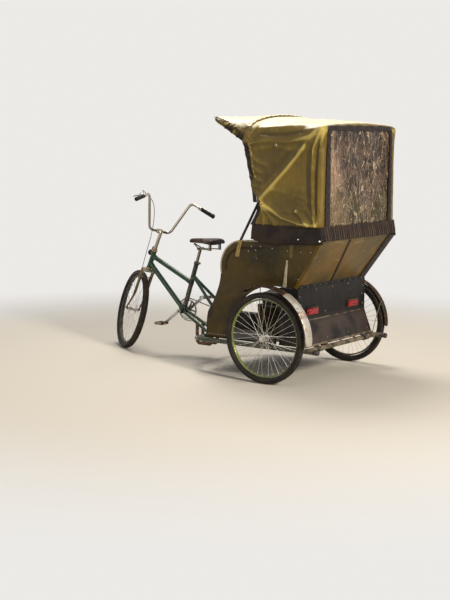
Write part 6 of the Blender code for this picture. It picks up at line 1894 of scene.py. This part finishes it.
ROOF_CREASES = (
    (((-0.52, -0.172), (0.0, -0.165), (0.52, -0.172)), 0.0070, 0.020),
    (((-0.50, 0.285), (0.0, 0.292), (0.50, 0.285)), 0.0060, 0.030),
    (((0.50, -0.17), (0.36, -0.06), (0.18, 0.02)), 0.0080, 0.016),
    (((0.47, -0.11), (0.40, 0.02), (0.30, 0.12)), 0.0060, 0.014),
    (((0.44, 0.02), (0.30, 0.08), (0.10, 0.10)), 0.0050, 0.020),
    (((-0.50, -0.17), (-0.33, -0.04), (-0.12, 0.03)), 0.0070, 0.018),
    (((-0.45, 0.22), (-0.20, 0.10), (0.06, 0.16)), 0.0050, 0.022),
    (((0.45, 0.40), (0.42, 0.20), (0.44, 0.0)), 0.0040, 0.012),
    (((0.0, -0.10), (0.02, 0.10), (0.0, 0.24)), -0.0060, 0.120),
)


def as_lines(creases):
    return [([Vector(p) for p in line], height, width) for line, height, width in creases]


LEFT_CREASES, RIGHT_CREASES, ROOF_CREASES = (
    as_lines(lines) for lines in (LEFT_CREASES, RIGHT_CREASES, ROOF_CREASES))


def relief(point, creases):
    """Sum of sharp-crested folds at a flat point."""
    total = 0.0
    for line, height, width in creases:
        away = edge_distance(point, line)
        total += height * exp(-(sqrt(away * away + 9e-6) - 0.003) / width)
    return total


def cloth_front(z):
    """Front edge of the cloth itself: drawn back to a notch where the bows' pivot pinches it."""
    if z < 1.318:
        notch = (z - HOOD_LOW) / (1.318 - HOOD_LOW)
    else:
        notch = exp(-((z - 1.318) / 0.045) ** 2)
    return hood_front(z) + 0.070 * clamp(notch) - 0.010 * clamp((1.318 - z) / 0.16)


def hood_push(point):
    """How far the cloth stands out of the taut shell at a point, and a value for its painted
    highlights and shade: its folds' share of that, lowered ahead of the diagonal crease.
    """
    x, y, z = point.x, point.y - AXLE_Y, point.z
    roof = ease((z - 1.84) / 0.06) * ease((0.50 - abs(x)) / 0.10)
    side = relief(Vector((y, z)), LEFT_CREASES if x > 0 else RIGHT_CREASES) if roof < 1 else 0.0
    top = relief(Vector((x, y)), ROOF_CREASES) if roof > 0 else 0.0
    sag = (-0.008 * sin(pi * clamp((y + 0.13) / 0.52)) * sin(pi * clamp((z - 1.15) / 0.62))
           * (1 - roof))
    small = noise.fractal(point * 5.5, 0.9, 2.1, 4) * 0.0035
    fine = noise.fractal(point * 19.0 + Vector((3, 1, 7)), 0.8, 2.0, 3) * 0.0012
    gather = 0.0025 * sin(point.y * 210 + 3 * sin(z * 23)) * exp(-((z - 1.155) / 0.030) ** 2)
    folds = side * (1 - roof) + top * roof
    # Ahead of the diagonal crease the cloth sags a little, and its value is lowered there as
    # painted shade.
    ahead = (z - 1.335) * 0.684 - (y + 0.095) * 0.729
    slack = clamp(ahead / 0.05) * clamp((0.34 - ahead) / 0.10) * clamp((1.76 - z) / 0.03)
    push = folds + sag + small + fine + gather - 0.004 * slack
    return clamp(push, -0.0150, 0.034), clamp(folds / 0.020 - 0.30 * slack, -1)


def window_outline(count, grow=0.0):
    """The rear window's edge from the lower left over the top."""
    half, top = WINDOW_HALF + grow, WINDOW_TOP + grow
    path = bent([(half, 0, HOOD_LOW), (half, 0, top), (-half, 0, top), (-half, 0, HOOD_LOW)],
                0.022, 6)
    return spaced(path, count)


def hood_cover():
    """One sheet: both sides, the roof, rounded rear corners and the border of the window."""
    columns = 281
    shape = bmesh.new()
    fold = shape.verts.layers.float.new("fold")
    rows = []
    steps = 84
    for step in range(steps + 1):
        share = step / steps
        arch = smooth_arch(share * 0.955, columns)
        rows.append([at(p.x, cloth_front(p.z) + (HOOD_BACK - CORNER - cloth_front(p.z)) * share,
                        p.z)
                     for p in arch])
    for step in range(1, 7):
        turn = pi / 2 * step / 6
        arch = smooth_arch(0.955 + 0.045 * sin(turn), columns, CORNER * (1 - cos(turn)))
        rows.append([at(p.x, HOOD_BACK - CORNER + CORNER * sin(turn), max(p.z, HOOD_LOW))
                     for p in arch])
    ring = window_outline(columns, 0.004)
    last = rows[-1]
    for step in range(1, 6):
        share = step / 5
        rows.append([blend_points(a, at(b.x, HOOD_BACK, b.z), share) for a, b in zip(last, ring)])
    grid = skin(shape, rows, open_rings=True)
    shape.normal_update()
    centre = at(0, 0.1, 1.5)
    moves = {}
    for index, row in enumerate(grid):
        for vertex in row:
            normal = vertex.normal.copy()
            if normal.dot(vertex.co - centre) < 0:
                normal.negate()
            # The fold value feeds the cloth's painted highlights and painted shade.
            push, vertex[fold] = hood_push(vertex.co)
            if index > steps:
                push *= 1 - 0.6 * ease((index - steps) / 6)
                if index > steps + 6:
                    z, x = vertex.co.z, vertex.co.x
                    push += 0.0025 * sin(z * 52 + 2 * sin(z * 17)) + 0.002 * sin(x * 60 + z * 9)
                    push = clamp(push, -0.002, 0.004)
            moves[vertex] = normal * push
    for vertex, move in moves.items():
        vertex.co += move
    hood = piece("hood_cover", shape, ["hood_cloth"], "chassis", ("hood", "hood_rear"), sharp=70)
    face_outward(hood, lambda face: (face.center - centre).dot(face.normal))
    add_sheet(hood)


def front_binding():
    """Black tape down the front edges of the sides, with gathered cloth drawn in behind it."""
    shape = bmesh.new()
    for side in (1, -1):
        for low, high, front in ((1.312, 1.756, hood_front), (HOOD_LOW, 1.306, cloth_front)):
            tape, gather = [], []
            for step in range(67):
                z = low + (high - low) * step / 66
                x = side * (0.5165 + 0.0145 * clamp((1.310 - z) / 0.160))
                base = at(x, front(z), z)
                wide = 0.030 + 0.003 * sin(z * 31)
                lift = 0.0045 + max(hood_push(base + Vector((0, back * wide, 0)))[0]
                                    for back in (0, 0.5, 1.0))
                tape.append([base + Vector((side * out, back, 0)) for out, back in
                             ((lift - 0.012, 0.006), (lift - 0.006, -0.0040), (lift, -0.0030),
                              (lift + 0.0015, wide * 0.3), (lift + 0.0006, wide),
                              (lift - 0.005, wide - 0.001))])
                puff = 0.0030 + 0.0050 * abs(sin(z * 85)) + 0.002 * sin(z * 38)
                deep = 0.020 + cloth_front(z) - front(z)
                gather.append([base + Vector((side * out, wide + back * deep, 0)) for out, back in
                               ((lift - 0.006, 0.0), (lift + puff * 0.6 - 0.002, 0.18),
                                (lift + puff - 0.002, 0.45),
                                (lift + puff * 0.5 - 0.003, 0.85), (lift - 0.010, 1.1))])
            skin(shape, tape)
            if front is hood_front:
                skin(shape, gather, 1)
    piece("front_binding", shape, ["trim_black", "hood_cloth"], "chassis", sharp=60)


def window():
    """Crinkled sheet in a bound opening: slack, with long folds down it."""
    noise.seed_set(WINDOW_SEED)
    shape = bmesh.new()
    columns, lines = 84, 70
    rows = []
    for j in range(lines + 1):
        row = []
        for i in range(columns + 1):
            x = (WINDOW_HALF + 0.006) * (2 * i / columns - 1)
            z = HOOD_LOW + 0.002 + (WINDOW_TOP + 0.002 - HOOD_LOW) * j / lines
            rim = ease(min(i, columns - i) / 7) * ease(min(j, lines - j) / 6)
            slack = 0.006 * sin(x * 21 + 2.2 * sin(z * 6.0)) * rim
            crush = noise.turbulence_vector(Vector((x * 9, 2, z * 5)), 3, False).y * 0.006 * rim
            fine = noise.fractal(Vector((x * 34, 5, z * 22)), 0.7, 2.1, 3) * 0.0016
            row.append(at(x, HOOD_BACK - 0.0045 + clamp(slack + crush + fine, -0.010, 0.006), z))
        rows.append(row)
    skin(shape, rows, open_rings=True)
    sheet = piece("window_sheet", shape, ["clear_vinyl"], "chassis", ("rear_window",), sharp=80)
    add_sheet(sheet, 0.0008, 0)
    shape = bmesh.new()
    inner, outer = window_outline(181, -0.006), window_outline(181, 0.0)
    rings = []
    for a, b in zip(inner, outer):
        out = (b - a).normalized()
        left = ease((b.x - 0.40) / 0.05)
        top = ease((b.z - 1.80) / 0.04)
        right = ease((-b.x - 0.40) / 0.05)
        wide = 0.040 + 0.026 * left + 0.006 * right - 0.002 * top + 0.0035 * sin(b.x * 41) * top
        a = a - out * (0.012 * left + 0.030 * right + 0.010 * top)
        ripple = 0.0012 * sin(b.z * 95 + b.x * 60)
        rings.append([at(a.x + out.x * wide * share, HOOD_BACK + lift, a.z + out.z * wide * share)
                      for share, lift in ((0, -0.002), (0, 0.0075 + ripple),
                                          (0.5, 0.0115 + ripple), (1, 0.0095 + ripple),
                                          (1, -0.001))])
    skin(shape, rings)
    piece("window_binding", shape, ["trim_black"], "chassis", sharp=50)


def visor():
    """Front flap: a sheet over the front bow's top."""
    shape = bmesh.new()
    arch = [p for p in smooth_arch(0.0, 231) if p.z >= 1.7500]
    arch = spaced([Vector((0.516, 0, 1.750)), *arch[1:-1], Vector((-0.516, 0, 1.750))], 161)
    rows = []
    steps = 34
    for step in range(steps + 1):
        share = step / steps
        row = []
        for p in arch:
            root = hood_front(p.z) + 0.006
            tip_z = 1.925 + (p.z - 1.750) * 0.03
            drape = 0.012 * ease((p.z - 1.84) / 0.06) * (1 - share) ** 2
            z = p.z + (tip_z - p.z) * share ** 0.94 + drape
            edge = 1 - ease((p.z - 1.75) / 0.10)
            pleat = 0.0085 * sin(share * 50 + p.z * 75) * edge * sin(pi * clamp(share * 1.05))
            slack = noise.fractal(Vector((p.x * 7, share * 2.4, p.z * 6)), 0.8, 2.1, 4) * 0.0045
            y = root + (-0.517 - root) * share
            out = Vector((p.x, 0, max(p.z - 1.75, 0) * 2.2)).normalized()
            row.append(at(p.x, y, z) + out * (pleat + slack * ease(share * 6) + 0.002))
        rows.append(row)
    skin(shape, rows, open_rings=True)
    # Faces along the flap's sides take hood_shade: painted shade under the flap.
    for face in shape.faces:
        middle = face.calc_center_median()
        share = clamp((hood_front(1.75) - middle.y + AXLE_Y) / (0.517 + hood_front(1.75)))
        if abs(middle.x) > 0.485 and middle.z < 1.800 + 0.160 * share:
            face.material_index = 1
    flap = piece("visor_flap", shape, ["hood_cloth", "hood_shade"], "chassis", ("visor",),
                 sharp=70)
    face_outward(flap, lambda face: face.normal.z)
    add_sheet(flap)


def curtain():
    """The curtain rolled up under the visor's edge, with its hem and its ties."""
    shape = bmesh.new()
    left = [at(0.506, -0.238, 1.748), at(0.507, -0.33, 1.803), at(0.508, -0.43, 1.864),
            at(0.506, -0.500, 1.903)]
    path = left + [at(0.470, -0.506, 1.912), at(0.25, -0.506, 1.914), at(0, -0.506, 1.914)]
    path += [Vector((-p.x, p.y, p.z)) for p in reversed(path[:-1])]
    line = spaced(smooth_line(path, 10), 281)
    rings = []
    across = Vector((1, 0, 0))
    for index, p in enumerate(line):
        along = (line[min(index + 1, 280)] - line[max(index - 1, 0)]).normalized()
        across = (across - along * across.dot(along)).normalized()
        other = along.cross(across)
        size = 0.0105 * (1 + 0.20 * sin(index * 0.83) + 0.10 * sin(index * 0.31 + 1))
        ring = []
        for k in range(14):
            turn = PI2 * k / 14
            wave = 1 + 0.16 * sin(3 * turn + index * 0.22)
            ring.append(p + across * size * wave * cos(turn) * 0.78
                        + other * size * wave * sin(turn))
        rings.append(ring)
    skin(shape, rings)
    # The roll takes the dark hood_shade cloth: painted shade under the visor.
    piece("curtain_roll", shape, ["hood_shade"], "chassis", sharp=80)
    shape = bmesh.new()
    hem = [p + Vector((0, 0.003, -0.0095)) for p in spaced(smooth_line(path, 10), 121)]
    tube(shape, hem, 0.0060, 10, 0)
    for index in range(6, 116, 9):
        p = hem[index] + Vector((0, -0.003, 0.0095))
        along = (hem[index + 1] - hem[index - 1]).normalized()
        side = along.orthogonal().normalized()
        other = along.cross(side)
        band = [p + side * 0.0135 * cos(PI2 * k / 20) + other * 0.0135 * sin(PI2 * k / 20)
                for k in range(20)]
        tube(shape, band, 0.0042, 8, 0, joined=True, flat=0.5)
    piece("visor_hem", shape, ["trim_black"], "chassis", sharp=60)


def visor_cuff():
    """The fold of cloth over the front bow."""
    shape = bmesh.new()
    seam = spaced([p for p in smooth_arch(0.0, 231) if p.z >= 1.728], 261)
    rings = []
    for index, p in enumerate(seam):
        out = Vector((p.x, 0, max(p.z - 1.70, 0) * 2.2)).normalized()
        size = 0.0150 * (1 + 0.13 * sin(index * 0.52) + 0.10 * sin(index * 0.23 + 1))
        centre = at(p.x, hood_front(p.z) + 0.012, p.z) + out * 0.003
        rings.append([centre + out * size * 0.85 * sin(PI2 * k / 14)
                      + Vector((0, size * 1.5 * cos(PI2 * k / 14), 0)) for k in range(14)])
    skin(shape, rings)
    piece("visor_cuff", shape, ["hood_cloth"], "chassis", sharp=80)


def skirt_low(y):
    """Lower edge of the skirt along the side: it dips towards the front and rises behind."""
    line = [Vector(p) for p in ((-0.160, 1.045), (-0.060, 1.022), (0.045, 1.016), (0.249, 1.026),
                                (0.445, 1.034))]
    for a, b in zip(line, line[1:]):
        if y <= b.x:
            return a.y + (b.y - a.y) * ease((y - a.x) / (b.x - a.x))
    return line[-1].y


def skirt():
    """Dark band below the hood: smooth along the sides, knife-pleated across the back."""
    back = 0.4425
    path = bent([(0.5430, -0.158, 0), (0.5430, back + 0.006, 0), (-0.5430, back + 0.006, 0),
                 (-0.5430, -0.158, 0)], 0.026, 10)
    line = spaced(path, 481)
    shape = bmesh.new()
    crest_highlight = shape.verts.layers.float.new("fold")
    rings = []
    lines = 14
    for index, p in enumerate(line):
        before, after = line[max(index - 1, 0)], line[min(index + 1, 480)]
        along = (after - before).normalized()
        out = Vector((along.y, -along.x, 0))
        if out.dot(p - Vector((0, 0.14, 0))) < 0:
            out.negate()
        behind = ease((p.y - 0.425) / 0.02)
        low = skirt_low(p.y) if behind < 1 else 1.057
        fold = ((0.50 - p.x) / 0.0305) % 1.0
        ring = []
        for j in range(lines + 1):
            share = j / lines
            z = low + (1.156 - low) * share
            inward = 0.0100 * ease((z - 1.075) / 0.075)
            pleat = 0
            if abs(p.x) < 0.515:
                pleat = (fold ** 1.6) * 0.0135 * behind * (1 - 0.70 * share)
            flutter = noise.fractal(Vector((p.x * 7, p.y * 7, z * 12)), 0.8, 2.0, 3) * 0.0022
            hem = 0.0012 if share < 0.12 else 0
            stand = half_width(z) - 0.5400 if z < 1.055 and behind < 1 else 0
            ring.append(at(p.x, p.y, z) + out * (pleat + flutter * (1 - share) + hem + 0.0015
                                                 - inward
                                                 + (stand + 0.003 if stand < 0 else 0)))
        rings.append(ring)
    # Each pleat's place goes into the fold layer, for the painted highlight on its crest.
    for index, column in enumerate(skin(shape, rings, open_rings=True)):
        if abs(line[index].x) < 0.515:
            for vertex in column:
                vertex[crest_highlight] = ((0.50 - line[index].x) / 0.0305) % 1.0
    band = piece("skirt_cloth_band", shape, ["skirt_cloth"], "chassis", ("skirt_band",), sharp=40)
    centre = at(0, 0.14, 1.1)
    face_outward(band, lambda face: (face.center - centre).dot(face.normal))
    add_sheet(band)
    shape = bmesh.new()
    for side in (1, -1):
        for y, z, size in ((0.249, 1.062, 0.0055), (0.427, 1.058, 0.0080)):
            lathe(shape, [(0, 0), (0, size), (0.0025, size * 1.03), (0.0050, size * 0.75),
                          (0.0060, 0)],
                  facing(at(side * 0.5455, y, z), (side, 0, 0)), 20)
        lathe(shape, [(0, 0.0045), (0, 0.0095), (0.0022, 0.0092), (0.0030, 0.0062),
                      (0.0012, 0.0045)],
              facing(at(side * 0.5205, 0.035, 1.726), (side, 0, 0.05)), 22, 0, True)
    piece("skirt_snaps", shape, ["bright_snap"], "chassis")


def wing_height(y):
    """Height of the wing's top edge behind its rounded corner."""
    front_y, front_z = -0.235 + 0.228 * cos(radians(96)), 0.800 + 0.228 * sin(radians(96))
    back_y = rear_y(WING_TOP - WALL) - WALL
    return front_z + (WING_TOP - WALL - front_z) * (y - front_y) / (back_y - front_y)


def bow_half(share, inset, low_z):
    points = []
    for x, z in hood_arch(share, inset):
        if x >= 0 and z >= low_z:
            front = hood_front(z)
            points.append(at(x, front + (HOOD_BACK - front) * share, z))
    return points


def bows():
    """Three bent bows with taped tops, hinge plates and feet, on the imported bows' lines."""
    inset = 0.008 + 0.010 + 0.0077
    pivot_x = 0.531 - inset - 0.0077
    main_pivot = at(pivot_x, -0.118, 1.325)
    rear = bow_half(0.935, inset, 0)
    halves = {"front": [main_pivot - Vector((0.0203, 0, 0))] + bow_half(0.05, inset, 1.740),
              "middle": [at(pivot_x, -0.262, 0), main_pivot] + bow_half(0.78, inset, 1.740),
              "rear": [rear[0].copy()] + rear}
    for name, line in halves.items():
        if name != "front":
            foot_z = wing_height(line[0].y - AXLE_Y) + SEAT_GAP
            line[0].x, line[0].z = half_width(foot_z) - WALL / 2, foot_z
            run = line[1] - line[0]
            line[0].z += 0.010 * Vector((run.x, run.y)).length / run.length
        whole = line + [Vector((-p.x, p.y, p.z)) for p in reversed(line[:-1])]
        shape = bmesh.new()
        tube(shape, whole, 0.0098, 16)
        for side in (1, -1):
            foot = Vector((side * line[0].x, line[0].y, line[0].z))
            if name == "front":
                lathe(shape, [(-0.012, 0), (-0.012, 0.0145), (0.010, 0.0145), (0.010, 0)],
                      facing(foot, (side, 0, 0)), 24, 1)
                bolt(shape, foot + Vector((side * 0.010, 0, 0)), (side, 0, 0), 0.0065, 1)
            else:
                lathe(shape, [(-0.002, 0), (-0.002, 0.0085), (0.001, 0.0085), (0.002, 0)],
                      facing(foot + Vector((0, 0, -0.004)), (0, 0, 1)), 20, 1)
            if name == "middle":
                hinge = Vector((side * main_pivot.x, main_pivot.y, main_pivot.z))
                lathe(shape, [(-0.010, 0), (-0.010, 0.0150), (0.009, 0.0150), (0.0095, 0)],
                      facing(hinge, (side, 0, 0)), 24, 1)
        piece(f"bent_bow_{name}", shape, ["trim_black", "bare_steel"], "chassis",
              (f"hood_bow_{name}",), sharp=40)


# Carried-over solids

def dress_solids():
    """Better finishes for the solids whose shape is right."""
    for name, paint in (("rear_panel", "tub_enamel"), ("storage_box", "box_black"),
                        ("floor_board", "floor_rubber"), ("seat_riser", "cab_enamel"),
                        ("seat_board", "floor_rubber")):
        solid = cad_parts[name]
        for slot in solid.material_slots:
            slot.link = "OBJECT"
            slot.material = PAINTS[paint]


# Stage and light

def stage():
    """Pale floor that keeps the shadow, and soft studio lamps at a plain level."""
    shape = bmesh.new()
    bmesh.ops.create_grid(shape, x_segments=8, y_segments=8, size=30)
    mesh = bpy.data.meshes.new("floor")
    shape.to_mesh(mesh)
    shape.free()
    ground = linked("studio_floor", mesh)
    ground.location.z = -0.001
    material = bpy.data.materials.new("floor_pale")
    material.use_nodes = True
    tree = material.node_tree
    shader = tree.nodes["Principled BSDF"]
    shader.inputs["Base Color"].default_value = (0.66, 0.63, 0.58, 1)
    shader.inputs["Roughness"].default_value = 0.9
    away = node(tree, "VectorMath", {0: place_of(tree)}, operation="LENGTH").outputs["Value"]
    fade = remap(tree, away, 2.0, 5.0)
    blend = node(tree, "MixShader", {"Fac": fade, 1: shader.outputs[0],
                                     2: node(tree, "BsdfTransparent").outputs[0]})
    tree.links.new(blend.outputs[0], tree.nodes["Material Output"].inputs["Surface"])
    mesh.materials.append(material)
    world = bpy.data.worlds.new("studio")
    bpy.context.scene.world = world
    world.use_nodes = True
    tree = world.node_tree
    back = tree.nodes["Background"]
    rays = node(tree, "LightPath").outputs
    seen = math(tree, "MAXIMUM", rays["Is Camera Ray"], rays["Is Glossy Ray"])
    seen = math(tree, "MAXIMUM", seen, rays["Is Transmission Ray"])
    strength = remap(tree, seen, 0.0, 1.0, 0.26, 0.86, "LINEAR")
    tree.links.new(strength, back.inputs["Strength"])
    back.inputs["Color"].default_value = (0.98, 0.96, 0.93, 1)
    lamps = (("key", (3.6, 9.6, 5.2), 1.6, 1050, (1.0, 0.90, 0.74)),
             ("fill", (7.6, -1.2, 3.0), 3.0, 60, (1.0, 0.93, 0.84)),
             ("top", (-1.2, -1.0, 5.8), 2.6, 230, (1.0, 0.93, 0.82)))
    for name, place, size, power, colour in lamps:
        lamp = bpy.data.lights.new(name, "AREA")
        lamp.shape, lamp.size, lamp.energy, lamp.color = "DISK", size, power, colour
        thing = linked(name, lamp)
        thing.location = place
        aim = Vector((0, 0.4, 0.9)) - Vector(place)
        thing.rotation_euler = aim.to_track_quat("-Z", "Y").to_euler()
    bpy.context.scene.view_settings.view_transform = "Standard"


for build in (fork, stem_and_bar, grips_and_levers, rim_brake, headset, lamp_bracket, wheels,
              front_frame, saddle, crankset, drive, cab_frame, wings, rear_trim, box_fittings,
              tail_lights, mudguards, seats, hood_cover, front_binding, window, visor, curtain,
              visor_cuff, skirt, bows, dress_solids, stage):
    build()
